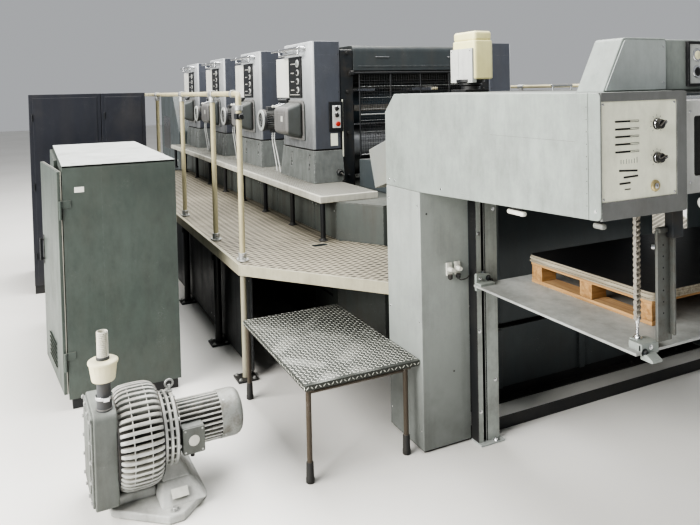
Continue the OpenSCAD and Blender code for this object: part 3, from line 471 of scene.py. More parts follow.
# %% Tread and rail finishes
def tread(name, bar_colour, gap_dirt_and_shade, pitch, metallic=0.3, rough=0.42, high=0.0012, pattern=lozenges):
    """Tread plate: worn bars over darker, duller gaps that hold dirt and painted shade, with broad walked-on
    patches.
    """
    tree, shader = open_finish(name)
    where = object_space(tree)
    up = height_of(tree, put(tree, "ShaderNodeNewGeometry", "Normal"))
    bars = times(tree, use_group(tree, pattern, Pitch=pitch)["Height"], ramp(tree, up, 0.7, 0.9))
    walked = ramp(tree, noise(tree, where, 2.6, 6.0, 0.62), 0.38, 0.66)
    specks = ramp(tree, noise(tree, where, 60.0, 4.0, 0.7), 0.56, 0.72)
    # The gaps' colour is dirt and painted shade between the bars.
    gaps = blend_colours(tree, walked, gap_dirt_and_shade, shade(gap_dirt_and_shade, 0.72))
    lit = maths(tree, "MULTIPLY_ADD", walked, 0.18, times(tree, bars, 0.82))
    tone = blend_colours(tree, lit, gaps, bar_colour)
    tone = blend_colours(tree, times(tree, specks, 0.45), tone, (0.11, 0.095, 0.075))
    edges = mask(tree, edge_wear, Width=0.004, Amount=0.9)
    tone = blend_colours(tree, edges, tone, shade(bar_colour, 1.3))
    wire(tree, shader, dict(Base_Color=tone, Metallic=metallic,
                            Roughness=ramp(tree, bars, 0.0, 1.0, rough + 0.25, rough),
                            Normal=bump(tree, maths(tree, "MULTIPLY_ADD", specks, 0.15, bars), high)))


# On the deck the near-black pockets between the strands are painted shade.
tread("deck_tread", (0.385, 0.348, 0.268), (0.020, 0.018, 0.014), 0.042, 0.1, pattern=diamonds)
tread("step_tread", (0.62, 0.61, 0.54), (0.20, 0.195, 0.17), 0.040)
tread("stool_tread", (0.19, 0.195, 0.178), (0.075, 0.08, 0.072), 0.5, 0.5, 0.36, 0.0002)
metal("stool_bars", (0.60, 0.61, 0.56), 0.34, stain=0.35, dust=0.35, metallic=0.7, scale=18.0)
paint("cream_edge", (0.42, 0.395, 0.295), wear=0.8, scratch=0.8, bare=(0.16, 0.15, 0.13))
paint("rail_paint", (0.52, 0.475, 0.31), 0.34, streaks=0.6, smudges=0.35, foot=0.0, scratch=0.9,
      dirt=(0.20, 0.17, 0.11), bare=(0.20, 0.19, 0.17))
metal("galvanised", (0.52, 0.53, 0.52), 0.42, dust=0.3, metallic=0.8, scale=48.0,
      stain_colour=(0.20, 0.19, 0.17))
print("tread and rail finishes ready")

# %% [markdown]
# ## Modelling helpers
#
# Every piece below is assembled from a few kinds of shape that a metalworker
# would recognise: a bent-sheet box with rolled edges, a plate cut to an
# outline, a turned part, a bar, a bent tube and a bolt. Each shape is made in a
# small bmesh of its own with create_, extrude, spin and bevel operators, then
# joined to the piece with its finish. Sizes are in metres.

# %% One piece, built shape by shape
X, Y, Z = Vector((1, 0, 0)), Vector((0, 1, 0)), Vector((0, 0, 1))
SOFT_EDGE = math.radians(38)


class Piece:
    """Collects shapes into one mesh object. Its finishes become material slots.
    With far=True each shape also gets its mirror image across the press. A place moves every shape."""

    def __init__(self, name, far=False, place=Matrix.Identity(4)):
        self.name, self.far, self.place = name, far, place
        self.bm = bmesh.new()
        self.finishes = []

    def at(self, x=0.0, y=0.0, z=0.0):
        """Sets the origin of the shapes that follow."""
        self.place = Matrix.Translation((x, y, z))

    def add(self, shape, finish, place=Matrix.Identity(4), far=None, outward=None):
        """Joins a shape, then frees it. An outward finish goes on faces that look to the operator's side."""
        for name in (finish, outward):
            if name and name not in self.finishes:
                self.finishes.append(name)
        bmesh.ops.transform(shape, matrix=self.place @ place, verts=shape.verts)
        shape.normal_update()
        for face in shape.faces:
            named = outward if outward and face.normal.y < -0.35 else finish
            face.material_index = self.finishes.index(named)
        loose = bpy.data.meshes.new("loose")
        shape.to_mesh(loose)
        shape.free()
        self.bm.from_mesh(loose)
        if self.far if far is None else far:
            loose.transform(Matrix.Scale(-1, 4, Y))
            loose.flip_normals()
            self.bm.from_mesh(loose)
        bpy.data.meshes.remove(loose)

    def mirror(self):
        """Turns what is built so far into the far side's piece."""
        bmesh.ops.scale(self.bm, vec=(1, -1, 1), verts=self.bm.verts)
        bmesh.ops.reverse_faces(self.bm, faces=self.bm.faces)

    def to_object(self):
        mesh = bpy.data.meshes.new(self.name)
        self.bm.to_mesh(mesh)
        self.bm.free()
        for name in self.finishes:
            mesh.materials.append(FINISH[name])
        made = bpy.data.objects.new(self.name, mesh)
        bpy.context.scene.collection.objects.link(made)
        print(self.name, len(mesh.polygons), "faces")
        return made

    def finish(self, slot, *nodes, body="press", flat=True):
        """Shades the piece and gives it its body. Its slot is not used. It stands for the CAD nodes named."""
        for face in self.bm.faces:
            face.smooth = True
        for edge in self.bm.edges:
            edge.smooth = edge.is_manifold and edge.calc_face_angle(math.pi) < SOFT_EDGE
        made = self.to_object()
        if flat:
            made.modifiers.new("even_normals", "WEIGHTED_NORMAL").keep_sharp = True
        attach(made, body)
        if nodes:
            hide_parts(*nodes)


# %% Boxes and plates
def round_edges(bm, radius, segments=2, edges=None):
    if radius > 0:
        bmesh.ops.bevel(bm, geom=list(edges or bm.edges), offset=radius, offset_type="OFFSET", affect="EDGES",
                        segments=segments, profile=0.5, material=-1, clamp_overlap=True)
    return bm


def box(low, high, radius=0.002, segments=2):
    bm = bmesh.new()
    low, high = Vector(low), Vector(high)
    bmesh.ops.create_cube(bm, size=1.0)
    bmesh.ops.scale(bm, vec=high - low, verts=bm.verts)
    bmesh.ops.translate(bm, vec=(low + high) / 2, verts=bm.verts)
    return round_edges(bm, min(radius, 0.49 * min(high - low)), segments)


def tapered(low, high, top_low, top_high, radius=0.004, segments=2):
    """A box whose upper face has its own extent in x and y."""
    bm = box(low, high, 0)
    middle = (Vector(low) + Vector(high)) / 2
    for vert in bm.verts:
        if vert.co.z > middle.z:
            vert.co.x = (top_low if vert.co.x < middle.x else top_high)[0]
            vert.co.y = (top_low if vert.co.y < middle.y else top_high)[1]
    return round_edges(bm, radius, segments)


AXES = {"x": Matrix(((0, 0, 1), (1, 0, 0), (0, 1, 0))), "y": Matrix(((1, 0, 0), (0, 0, -1), (0, 1, 0))),
        "z": Matrix.Identity(3)}


def extruded(bm, axis, start, end):
    """Turns a flat face drawn at z = 0 into a plate from start to end along an axis."""
    bmesh.ops.recalc_face_normals(bm, faces=bm.faces)
    made = bmesh.ops.extrude_face_region(bm, geom=list(bm.faces))
    grown = [v for v in made["geom"] if isinstance(v, bmesh.types.BMVert)]
    sign = -1.0 if axis == "y" else 1.0
    bmesh.ops.translate(bm, verts=grown, vec=(0, 0, sign * (end - start)))
    bmesh.ops.translate(bm, verts=bm.verts, vec=(0, 0, sign * start))
    bmesh.ops.transform(bm, matrix=AXES[axis].to_4x4(), verts=bm.verts)
    bmesh.ops.recalc_face_normals(bm, faces=bm.faces)


def sharper(bm, degrees):
    return [edge for edge in bm.edges if edge.calc_face_angle(0) > math.radians(degrees)]


def plate(outline, axis, start, end, radius=0.001, segments=2, only=None):
    """An outline extruded along an axis. x takes (y, z) points, y takes (x, z) and z takes (x, y).
    With a level in only, just the rim at that level is rounded."""
    bm = bmesh.new()
    bm.faces.new([bm.verts.new((a, b, 0.0)) for a, b in outline])
    extruded(bm, axis, start, end)
    rim = sharper(bm, 25)
    if only is not None:
        rim = [edge for edge in rim if all(abs(vert.co.z - only) < 0.00001 for vert in edge.verts)]
    return round_edges(bm, radius, segments, rim)


# %% Turned parts, bars, bolts and tubes
def along(at, towards):
    """The place that stands a shape made round +Z on a point, with its axis in a direction."""
    return Matrix.Translation(at) @ Vector(towards).to_track_quat("Z", "Y").to_matrix().to_4x4()


def turn_at(at, angle, axis):
    """The place that turns a shape about an axis of its own, then moves it to a point."""
    return Matrix.Translation(at) @ Matrix.Rotation(angle, 4, axis)


def turn_about(at, angle, axis):
    """The place that turns a shape about an axis through a point."""
    return turn_at(at, angle, axis) @ Matrix.Translation(-Vector(at))


def spun(profile, at, towards=Z, sides=32):
    """A turned part: (radius, distance) points spun round the line from a point in a direction."""
    bm = bmesh.new()
    line = [bm.verts.new((r, 0, h)) for r, h in profile]
    edges = [bm.edges.new(pair) for pair in zip(line, line[1:])]
    bmesh.ops.spin(bm, geom=line + edges, cent=(0, 0, 0), axis=Z, angle=math.tau, steps=sides, use_merge=True)
    bmesh.ops.remove_doubles(bm, verts=bm.verts, dist=0.00002)
    bmesh.ops.recalc_face_normals(bm, faces=bm.faces)
    bmesh.ops.transform(bm, matrix=along(at, towards), verts=bm.verts)
    return bm


def bar(start, end, diameter, sides=24, chamfer=0.001):
    """A round bar with its end edges broken."""
    run = Vector(end) - Vector(start)
    r, h = diameter / 2, run.length
    c = min(chamfer, r * 0.4, h * 0.4)
    return spun([(0, 0), (r - c, 0), (r, c), (r, h - c), (r - c, h), (0, h)], start, run, sides)


def stud(at, towards, low, high, diameter, sides=12, chamfer=0.0006):
    """A short bar such as a flush screw, from low to high along a direction from a point."""
    at, towards = Vector(at), Vector(towards)
    return bar(at + towards * low, at + towards * high, diameter, sides, chamfer)


def bolt(at, towards, across=0.013, height=0.007, washer=True):
    """A hexagon head on its washer, standing on a point and facing a direction."""
    bm = bmesh.new()
    reach = across / 1.732
    bmesh.ops.create_cone(bm, cap_ends=True, segments=6, radius1=reach, radius2=reach, depth=height)
    bmesh.ops.translate(bm, verts=bm.verts, vec=(0, 0, height / 2 + (0.0015 if washer else 0)))
    round_edges(bm, height * 0.12, 1)
    if washer:
        reach = across * 0.85
        made = bmesh.ops.create_cone(bm, cap_ends=True, segments=16, radius1=reach, radius2=reach,
                                     depth=0.0015)
        bmesh.ops.translate(bm, verts=made["verts"], vec=(0, 0, 0.00075))
    bmesh.ops.transform(bm, matrix=along(at, towards), verts=bm.verts)
    return bm


def corner_curve(before, corner, after, reach, shares):
    """Points of the curve that rounds a corner, at shares of its way."""
    start = corner + (before - corner).normalized() * reach
    end = corner + (after - corner).normalized() * reach
    return [start.lerp(corner, t).lerp(corner.lerp(end, t), t) for t in shares]


def bent_tube(points, diameter, sides=12, bend=0.0):
    """A tube along points, drawn as a bevelled curve and made into mesh. A bend rounds its corners."""
    points = [Vector(p) for p in points]
    if bend > 0:
        path = [points[0]]
        for before, corner, after in zip(points, points[1:], points[2:]):
            reach = min(bend, (before - corner).length * 0.49, (after - corner).length * 0.49)
            path += corner_curve(before, corner, after, reach, (0, 0.2, 0.4, 0.6, 0.8, 1))
        points = path + [points[-1]]
    curve = bpy.data.curves.new("route", "CURVE")
    curve.dimensions, curve.use_fill_caps = "3D", True
    curve.bevel_depth, curve.bevel_resolution = diameter / 2, sides // 4
    line = curve.splines.new("POLY")
    line.points.add(len(points) - 1)
    for target, p in zip(line.points, points):
        target.co = (*p, 1.0)
    holder = bpy.data.objects.new("route", curve)
    mesh = bpy.data.meshes.new_from_object(holder)
    bm = bmesh.new()
    bm.from_mesh(mesh)
    bpy.data.objects.remove(holder)
    bpy.data.curves.remove(curve)
    bpy.data.meshes.remove(mesh)
    bmesh.ops.recalc_face_normals(bm, faces=bm.faces)
    return bm


# %% Outlines with round corners
def rounded(outline, radii, steps=5):
    """An outline whose corners are rounded, by one radius or by one for each corner."""
    points = []
    for i, corner in enumerate(outline):
        radius = radii[i] if isinstance(radii, (list, tuple)) else radii
        if not radius:
            points.append(corner)
            continue
        before, after = Vector(outline[i - 1]), Vector(outline[(i + 1) % len(outline)])
        corner = Vector(corner)
        reach = radius / math.tan((before - corner).angle(after - corner) / 2)
        curve = corner_curve(before, corner, after, reach, [step / steps for step in range(steps + 1)])
        points += [tuple(point) for point in curve]
    return points


def oblong(low, high, radii=0):
    """A rectangle between two corner points. Its radii go round from the low corner."""
    return rounded([(low[0], low[1]), (high[0], low[1]), (high[0], high[1]), (low[0], high[1])], radii)


def ring_plate(outer, inner, axis, start, end, radius=0.001):
    """A frame: the space between two outlines, extruded along an axis."""
    bm = bmesh.new()
    edges = []
    for loop in (outer, inner):
        rim = [bm.verts.new((a, b, 0.0)) for a, b in loop]
        edges += [bm.edges.new((rim[i - 1], rim[i])) for i in range(len(rim))]
    bmesh.ops.bridge_loops(bm, edges=edges)
    extruded(bm, axis, start, end)
    return round_edges(bm, radius, 2, sharper(bm, 40))


print("shape helpers ready")

# %% [markdown]
# ## Places taken from the frame
#
# Pieces are set out from the CAD boxes, so they stay in step with the frame.
# A unit's tower is UNIT_LEN long, and its skirt flares out by FLARE at each end.

# %% Key places
def low_high(node):
    low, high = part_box(node)
    return Vector(low), Vector(high)


leg_low, leg_high = low_high("delivery_leg_near")
cover_lo, cover_hi = low_high("side_cover_near")
LEG_X0, LEG_X1, SIDE_Y, LEG_Y = leg_low.x, leg_high.x, -leg_low.y, -leg_high.y
END_X, CONTROL_Y, COVER_TOP = cover_hi.x, -cover_hi.y, cover_hi.z
COVER_LOW, COVER_LOW_END = cover_lo.z, COVER_TOP - 0.408
UNIT_LEN, FLARE = 0.676, 0.038
GROUP_X1 = low_high("unit_4_near_housing")[0].x + FLARE + UNIT_LEN
SIDES = ("near", "far")
print("delivery from", round(LEG_X0, 3), "to", round(END_X, 3), "group ends at", round(GROUP_X1, 3))

# %% [markdown]
# ## Delivery side covers and control ends
#
# The big light covers are folded sheet with a chamfered rear corner, a lower
# edge that rises towards the end, and a seam where the end casting begins. The
# casting is a rolled frame round a cream panel. Outlines are drawn once and
# extruded; the end frame is two outlines bridged into a ring.

# %% Side covers
paint("end_frame", (0.20, 0.205, 0.20), 0.40, smudges=0.4, wear=0.6)
# A near-black paint for painted shade in gaps, joints, slots, holes and recesses, under the legs and behind
# panels.
paint("dark_gap", (0.012, 0.012, 0.013), 0.7, wear=0.0, dust=0.2)
SEAM_X = END_X - 0.051
PANEL_RECESS = oblong((-1.2438, 1.3412), (-0.8982, 1.6628))


def under(x):
    """Height of the cover's lower edge, which rises from the leg to the end."""
    return COVER_LOW + (COVER_LOW_END - COVER_LOW) * max(0.0, (x - LEG_X1) / (END_X - LEG_X1))


def side_cover(side):
    piece = Piece("side_cover_%s_skin" % side)
    wall, before, behind = -SIDE_Y + 0.0065, SEAM_X - 0.0006, SEAM_X + 0.0006
    skin = rounded([(LEG_X0, COVER_LOW), (LEG_X1, COVER_LOW), (before, under(SEAM_X)), (before, COVER_TOP),
                    (LEG_X0 + 0.095, COVER_TOP), (LEG_X0, COVER_TOP - 0.090)], [0, 0, 0, 0, 0.008, 0.008])
    end = rounded([(behind, under(SEAM_X)), (END_X, COVER_LOW_END), (END_X, COVER_TOP), (behind, COVER_TOP)],
                  [0, 0.024, 0.018, 0])
    piece.add(plate(skin, "y", -SIDE_Y, -CONTROL_Y - 0.001, 0.0035, 3), "cover_paint")
    piece.add(plate(end, "y", -SIDE_Y, wall, 0.0028, 3), "cover_paint")
    # The end casting behind its light side sheet: core, rim round the panel's recess, and top strip
    core = oblong((SEAM_X + 0.001, wall), (END_X - 0.008, -CONTROL_Y))
    rim = oblong((wall, COVER_LOW_END), (-CONTROL_Y, COVER_TOP), [0.0, 0.012, 0.012, 0.0])
    strip = oblong((SEAM_X + 0.001, COVER_TOP - 0.010), (END_X - 0.003, COVER_TOP - 0.001), [0, 0, 0.006, 0])
    piece.add(plate(core, "z", COVER_LOW_END + 0.002, COVER_TOP - 0.003), "end_frame")
    piece.add(ring_plate(rim, PANEL_RECESS, "x", END_X - 0.012, END_X, 0.0022), "end_frame")
    piece.add(plate(strip, "y", wall, -CONTROL_Y, 0.0), "end_frame")
    # Countersunk screws on the lower edge, rivets at the seam, and blind plugs under the cover
    for x in (3.975, 4.03, 4.44, 5.325):
        piece.add(stud((x, -SIDE_Y, under(x) + 0.030), Y, -0.0012, 0.002, 0.011, 16, 0.0008), "chrome")
    for i in range(9):
        at = (SEAM_X - 0.006, -SIDE_Y, under(SEAM_X) + 0.045 + i * 0.040)
        piece.add(stud(at, Y, -0.0008, 0.001, 0.0032, 8, 0.0003), "dark_gap")
    for x, y, length, finish in ((4.860, -1.220, 0.094, "plug_white"), (5.286, -1.215, 0.044, "desk_grey")):
        piece.at(x, y, under(x))
        piece.add(box((0, -0.012, -0.030), (length, 0.012, -0.011), 0.008, 3), finish)
        # The near-black box in the plug is painted shade in its hollow.
        piece.add(box((0.012, -0.005, -0.014), (length - 0.012, 0.005, 0.006), 0.001), "dark_gap")
    piece.at()
    if side == "near":
        scratch = box((4.790, -SIDE_Y - 0.0003, 1.5300), (5.240, -SIDE_Y + 0.001, 1.5313), 0.0)
        piece.add(scratch, "end_frame")
    else:
        piece.mirror()
    piece.finish("cover_paint", "side_cover_" + side)


for side in SIDES:
    side_cover(side)

# %% [markdown]
# ## Control panel, knobs and key lock
#
# The panel is a cream plate with two groups of slots for sliding scales, two
# black knobs with bright pointers and a brass key lock. Its slots are near-black
# strips of painted shade that stand a little proud of the plate, because at this
# size a painted line would look flat. The marks beside them are short plain ticks.

# %% Panel
paint("mark_ink", (0.09, 0.09, 0.085), 0.6, wear=0.0, dust=0.0)
panel_lo, panel_hi = low_high("control_panel")
knob_at = {name: sum(low_high(name), Vector()) / 2 for name in ("speed_knob", "air_knob")}
FACE_X = END_X - 0.003


def slot_strip(piece, y0, y1, z, tilt=0.0, worn=0.0, thick=0.0055):
    """A slot: its floor in painted shade, and a bright worn end."""
    half = (y1 - y0) / 2
    spin = turn_at((0, y0 + half, z), tilt, "X")
    piece.add(box((0.0, -half, -thick / 2), (0.0016, half, thick / 2), 0.0006), "dark_gap", spin)
    if worn:
        low, high = (0.0014, half - worn, -thick * 0.2), (0.0021, half - 0.002, thick * 0.3)
        piece.add(box(low, high, 0.0003), "panel_cream", spin)


def make_panel():
    piece = Piece("control_panel_plate")
    wide, tall = panel_hi.y - panel_lo.y, panel_hi.z - panel_lo.z
    piece.at(FACE_X, panel_lo.y, panel_hi.z)
    piece.add(box((-0.005, 0, -tall), (0, wide, 0), 0.0012), "panel_cream")
    for k in range(5):
        slot_strip(piece, 0.062, 0.168, -0.066 - 0.0245 * k, 0.0, 0.040)
    for k, (y0, y1, tilt, thick) in enumerate(((0.078, 0.160, -0.05, 0.0055), (0.098, 0.162, 0.03, 0.0055),
                                               (0.079, 0.128, 0.02, 0.0055), (0.102, 0.128, 0.0, 0.003))):
        slot_strip(piece, y0, y1, -0.226 - 0.020 * k, tilt, 0.0, thick)
    rng = random.Random(4)
    for k in range(7):
        y, top = 0.086 + 0.012 * k, -0.187 + rng.uniform(-0.004, 0.004)
        piece.add(box((0, y, -0.203), (0.0003, y + 0.0016, top), 0), "mark_ink")
    for y, z in product((0.010, wide - 0.010), (0.010 - tall, -0.010)):
        head = [(0, 0), (0.0042, 0), (0.0042, 0.0008), (0.003, 0.0018), (0, 0.0019)]
        piece.add(spun(head, (0, y, z), X, 14), "chrome")
        # The screw's slot in painted shade.
        piece.add(box((0.0017, y - 0.0030, z - 0.0005), (0.0021, y + 0.0030, z + 0.0005), 0), "dark_gap")
    # Key lock: a brass collar, its steel barrel and the keyway in painted shade
    piece.at(FACE_X, panel_hi.y - 0.104, panel_lo.z + 0.037)
    collar = [(0.0, 0.0), (0.0195, 0.0), (0.0195, 0.004), (0.017, 0.007), (0.012, 0.0075), (0.0115, 0.005),
              (0.0, 0.005)]
    barrel = [(0.0, 0.005), (0.0095, 0.005), (0.0095, 0.0085), (0.008, 0.0095), (0.0, 0.0095)]
    piece.add(spun(collar, (0, 0, 0), X, 32), "brass")
    piece.add(spun(barrel, (0, 0, 0), X, 24), "chrome")
    keyway = box((0.0090, -0.0010, -0.0055), (0.0099, 0.0010, 0.0055), 0.0003)
    piece.add(keyway, "dark_gap", Matrix.Rotation(0.5, 4, "X"))
    for middle, k in product(knob_at.values(), range(9)):
        piece.at(FACE_X, middle.y, middle.z)
        tick = box((0, -0.0006, 0.026), (0.0003, 0.0006, 0.031), 0)
        piece.add(tick, "mark_ink", Matrix.Rotation(math.radians(-140 + 35 * k), 4, "X"))
    piece.finish("panel_cream", "control_panel")


def make_knob(name, body, angle):
    """A skirted knob with finger flats and a bright pointer line."""
    piece = Piece(name + "_turned")
    piece.at(END_X, knob_at[name].y, knob_at[name].z)
    skirt = [(0, 0), (0.019, 0), (0.019, 0.004), (0.0165, 0.0062), (0.0155, 0.0068), (0.0148, 0.020),
             (0.0135, 0.0222), (0, 0.0222)]
    piece.add(spun(skirt, (-0.0024, 0, 0), X, 40), "knob_black")
    spin = turn_at((0.0198, 0, 0), angle, "X")
    piece.add(box((-0.004, -0.0050, -0.0165), (0.0082, 0.0050, 0.0165), 0.0022, 3), "knob_black", spin)
    piece.add(box((0.0078, -0.0011, 0.002), (0.0086, 0.0011, 0.0155), 0.0002), "chrome", spin)
    for k in range(24):
        rib = box((-0.001, -0.0009, 0.0140), (0.0135, 0.0009, 0.0157), 0.0003, 1)
        piece.add(rib, "knob_black", turn_at((0.005, 0, 0), math.tau * k / 24, "X"))
    piece.add(spun([(0.0165, 0.0), (0.0186, 0.0), (0.0186, 0.0006), (0.0165, 0.0046)], (0, 0, 0), X, 40),
              "chrome")
    piece.finish("knob_black", name, body=body)


make_panel()
make_knob("speed_knob", "speed_control", -0.9)
make_knob("air_knob", "air_control", -1.2)

# %% [markdown]
# ## Hoods and the button bridge
#
# Two sloped hoods stand on the covers and carry the button bridge between
# them. They are folded sheet, so their edges roll over in a few millimetres and
# a lighter plate closes their front. The bridge's box has plain round
# cream buttons in bright rings on a white face.

# %% Hoods and bridge
paint("button_cream", (0.80, 0.76, 0.52), 0.35, wear=0.0, scratch=0.2)
hood_lo, hood_hi = low_high("console_hoods")
bridge_lo, bridge_hi = low_high("console_bridge")


def make_hoods():
    piece = Piece("console_hoods_sheet", far=True)
    foot, top, inner, roof = -SIDE_Y + 0.124, -SIDE_Y + 0.219, -CONTROL_Y + 0.030, hood_hi.z
    outline = rounded([(foot, COVER_TOP), (inner, COVER_TOP), (inner, roof), (top, roof)],
                      [0, 0, 0.006, 0.022])
    piece.add(plate(outline, "x", hood_lo.x, hood_hi.x - 0.004, 0.004, 3), "cover_paint")
    face = rounded([(foot + 0.008, COVER_TOP + 0.004), (inner - 0.006, COVER_TOP + 0.004),
                    (inner - 0.006, roof - 0.008), (top + 0.006, roof - 0.008)], [0.004, 0.004, 0.008, 0.018])
    piece.add(plate(face, "x", hood_hi.x - 0.006, hood_hi.x, 0.0022, 2), "hood_paint")
    for z in (COVER_TOP + 0.03, roof - 0.03):
        piece.add(bolt((hood_hi.x, inner - 0.022, z), X, 0.006, 0.002, False), "chrome")
    piece.finish("hood_paint", "console_hoods")


def make_bridge():
    piece = Piece("console_bridge_box")
    roof, front, inner, side = hood_hi.z, bridge_hi.x - 0.003, CONTROL_Y - 0.0303, CONTROL_Y - 0.134
    piece.add(box((bridge_lo.x, -inner, COVER_TOP), (hood_hi.x - 0.006, inner, roof - 0.004), 0.005, 3),
              "cover_paint")
    low, high = (-side + 0.010, COVER_TOP + 0.022), (side - 0.010, roof - 0.020)
    rim = oblong((-side, COVER_TOP + 0.012), (side, roof - 0.010))
    piece.add(ring_plate(rim, oblong(low, high), "x", hood_hi.x - 0.007, bridge_hi.x, 0.0015), "black_steel")
    piece.add(box((hood_hi.x - 0.007, *low), (front, *high), 0.001), "guard_grey")
    ring = [(0.0165, 0), (0.0235, 0), (0.0235, 0.003), (0.0215, 0.005), (0.0165, 0.005)]
    button = [(0, 0), (0.016, 0), (0.016, 0.0055), (0.013, 0.0080), (0, 0.0086)]
    for group, k, row in product((-side + 0.048, side - 0.33), range(5), range(2)):
        at = (front, group + 0.062 * k, COVER_TOP + 0.065 + 0.060 * row)
        piece.add(spun(ring, at, X, 28), "chrome")
        piece.add(spun(button, at, X, 24), "button_cream" if (k + row) % 3 else "knob_black")
    piece.finish("guard_grey", "console_bridge")


make_hoods()
make_bridge()

# %% [markdown]
# ## Leg housings and guide posts
#
# Each leg is a folded sheet box that stops a finger above the floor, with a
# near-black plinth under it as a painted shadow at the floor, and its paint
# darkens towards the floor as painted shade. Two limit switches with white caps
# sit on the inner leg's end face. Beside it a channel post guides the pile platform.

# %% Legs, switches and posts
post_lo, post_hi = low_high("guide_posts")
paint("post_paint", (0.40, 0.43, 0.405), 0.42, streaks=0.6, smudges=0.6, foot=0.6, wear=0.7, scratch=0.7,
      mottle=0.8)


def make_leg(side):
    piece = Piece("delivery_leg_%s_sheet" % side)
    inner = leg_high.y
    sheet = (LEG_X0, -SIDE_Y, 0.009), (LEG_X1, inner, COVER_LOW - 0.001)
    plinth = (LEG_X0 + 0.008, -SIDE_Y + 0.008, 0.0), (LEG_X1 - 0.008, inner - 0.008, 0.012)
    piece.add(box(*sheet, 0.0032, 3), "leg_paint")
    # A near-black plinth: painted shadow at the floor.
    piece.add(box(*plinth, 0.001), "dark_gap")
    piece.add(box((LEG_X0 - 0.0012, -SIDE_Y + 0.05, 0.08), (LEG_X0 + 0.002, inner - 0.05, 1.16), 0.001),
              "leg_paint")
    panel = (LEG_X0 + 0.01, inner - 0.002, 0.02), (LEG_X1 - 0.01, inner + 0.0005, COVER_LOW - 0.02)
    piece.add(box(*panel, 0.001), "cover_dark")
    for y, z in ((-1.075, 0.36), (-1.215, 1.13)):
        piece.add(stud((LEG_X1, y, z), X, -0.001, 0.0016, 0.009, 14, 0.0006), "mark_ink")
    for x, z in product((LEG_X0 + 0.02, LEG_X1 - 0.02), (0.10, 0.62, 1.17)):
        piece.add(stud((x, -SIDE_Y, z), -Y, -0.001, 0.0012, 0.0085, 14, 0.0006), "chrome")
    if side == "far":
        piece.mirror()
    else:
        for y, tall in ((-1.098, 0.052), (-1.052, 0.046)):
            cap = [(0, 0), (0.0125, 0), (0.0125, 0.014), (0.010, 0.017), (0.010, tall * 0.6), (0, tall * 0.6)]
            gland = [(0, 0), (0.011, 0), (0.011, 0.018), (0.006, 0.024), (0, 0.024)]
            piece.add(box((LEG_X1, y - 0.016, 0.826), (LEG_X1 + 0.012, y + 0.016, 0.888), 0.003),
                      "plug_white")
            piece.add(spun(cap, (LEG_X1 + 0.011, y, 0.858), X, 20), "plug_white")
            piece.add(spun(gland, (LEG_X1 + 0.016, y, 0.832), -Z, 16), "rubber")
        lead = [(LEG_X1 + dx, y, z) for dx, y, z in ((0.016, -1.052, 0.812), (0.02, -1.045, 0.800),
                                                    (0.020, -1.005, 0.802), (0.012, -0.984, 0.815))]
        piece.add(bent_tube(lead, 0.005, 8, 0.012), "rubber")
    piece.finish("cover_paint", "delivery_leg_" + side)


def make_posts():
    """A rolled channel whose two flanges stand towards the pile, on a foot plate with bolts."""
    piece = Piece("guide_posts_channel", far=True)
    x0, x1, y0, y1, top, wall = LEG_X1, post_hi.x, post_lo.y, -0.856, COVER_LOW - 0.001, 0.008
    channel = [(x0, y0), (x1, y0), (x1, y0 + 0.031), (x0 + wall, y0 + 0.031), (x0 + wall, y0 + 0.045),
               (x1 - 0.004, y0 + 0.045), (x1 - 0.004, y0 + 0.052), (x1, y0 + 0.052), (x1, y1), (x0, y1)]
    piece.add(plate(channel, "z", 0.010, top, 0.0022, 2), "post_paint", outward="black_steel")
    piece.add(box((x0, y0, 0.0), (x1 + 0.022, y1 + 0.014, 0.010), 0.002), "hood_paint")
    for y, zs in ((y0 + 0.015, (0.16, 0.55, 1.02)), (y1 - 0.022, (0.30, 1.13))):
        for z in zs:
            piece.add(bolt((x1, y, z), X, 0.011, 0.004), "chrome")
    piece.add(bolt((x1 + 0.011, y1 - 0.03, 0.010), Z, 0.018, 0.010), "chrome")
    # The slot between the flanges is lined with painted shade.
    groove = (x0 + 0.0082, y0 + 0.0315, 0.02), (x0 + 0.010, y0 + 0.0445, top - 0.01)
    piece.add(box(*groove, 0.0004), "dark_gap")
    piece.finish("hood_paint", "guide_posts")


for side in SIDES:
    make_leg(side)
make_posts()

# %% [markdown]
# ## Pile platform, pallet and board
#
# The platform is a wide folded sheet on a frame set well back from its edge, so
# its rim looks thin. Brackets run on shoes in the posts, and light corner
# blocks take the chain rods. On it lie a pallet of blocks and rough boards and
# a laminated pile board, whose edge shows its layers. Boards get slightly
# different sizes and twists from a seeded random source, as sawn wood has.

# %% Platform
PLAT_Z = 0.785
PLAT_X0, PLAT_X1, PLAT_Y = 4.3305, 5.2625, 1.004
CHAIN_X, CHAIN_Y = low_high("hoist_chains")[1].x - 0.009, 0.939


def platform_sheet(piece):
    """The sheet in five strips, so that the chains' slots stay open, and the frame under it."""
    x0, x1, y, gap0, gap1 = PLAT_X0, PLAT_X1, PLAT_Y, CHAIN_X - 0.017, CHAIN_X + 0.017
    strips = [(x0, gap0, -y, y), (gap1, x1, -y, y)]
    strips += [(gap0 - 0.0005, gap1 + 0.0005, low, high)
               for low, high in ((-CHAIN_Y + 0.018, CHAIN_Y - 0.018), (-y, -CHAIN_Y - 0.018),
                                 (CHAIN_Y + 0.018, y))]
    for low_x, high_x, low_y, high_y in strips:
        piece.add(box((low_x, low_y, PLAT_Z - 0.010), (high_x, high_y, PLAT_Z), 0.0), "platform_paint")
    for low_x, high_x, low_y, high_y in (
            (x0 + 0.02, x1 - 0.09, -y + 0.11, -y + 0.16), (x0 + 0.02, x1 - 0.09, y - 0.16, y - 0.11),
            (x0 + 0.02, x0 + 0.07, -y + 0.11, y - 0.11), (x1 - 0.14, x1 - 0.09, -y + 0.11, y - 0.11),
            (x0 + 0.06, x1 - 0.12, -0.025, 0.025)):
        piece.add(box((low_x, low_y, PLAT_Z - 0.060), (high_x, high_y, PLAT_Z - 0.0102), 0.004), "cover_dark")


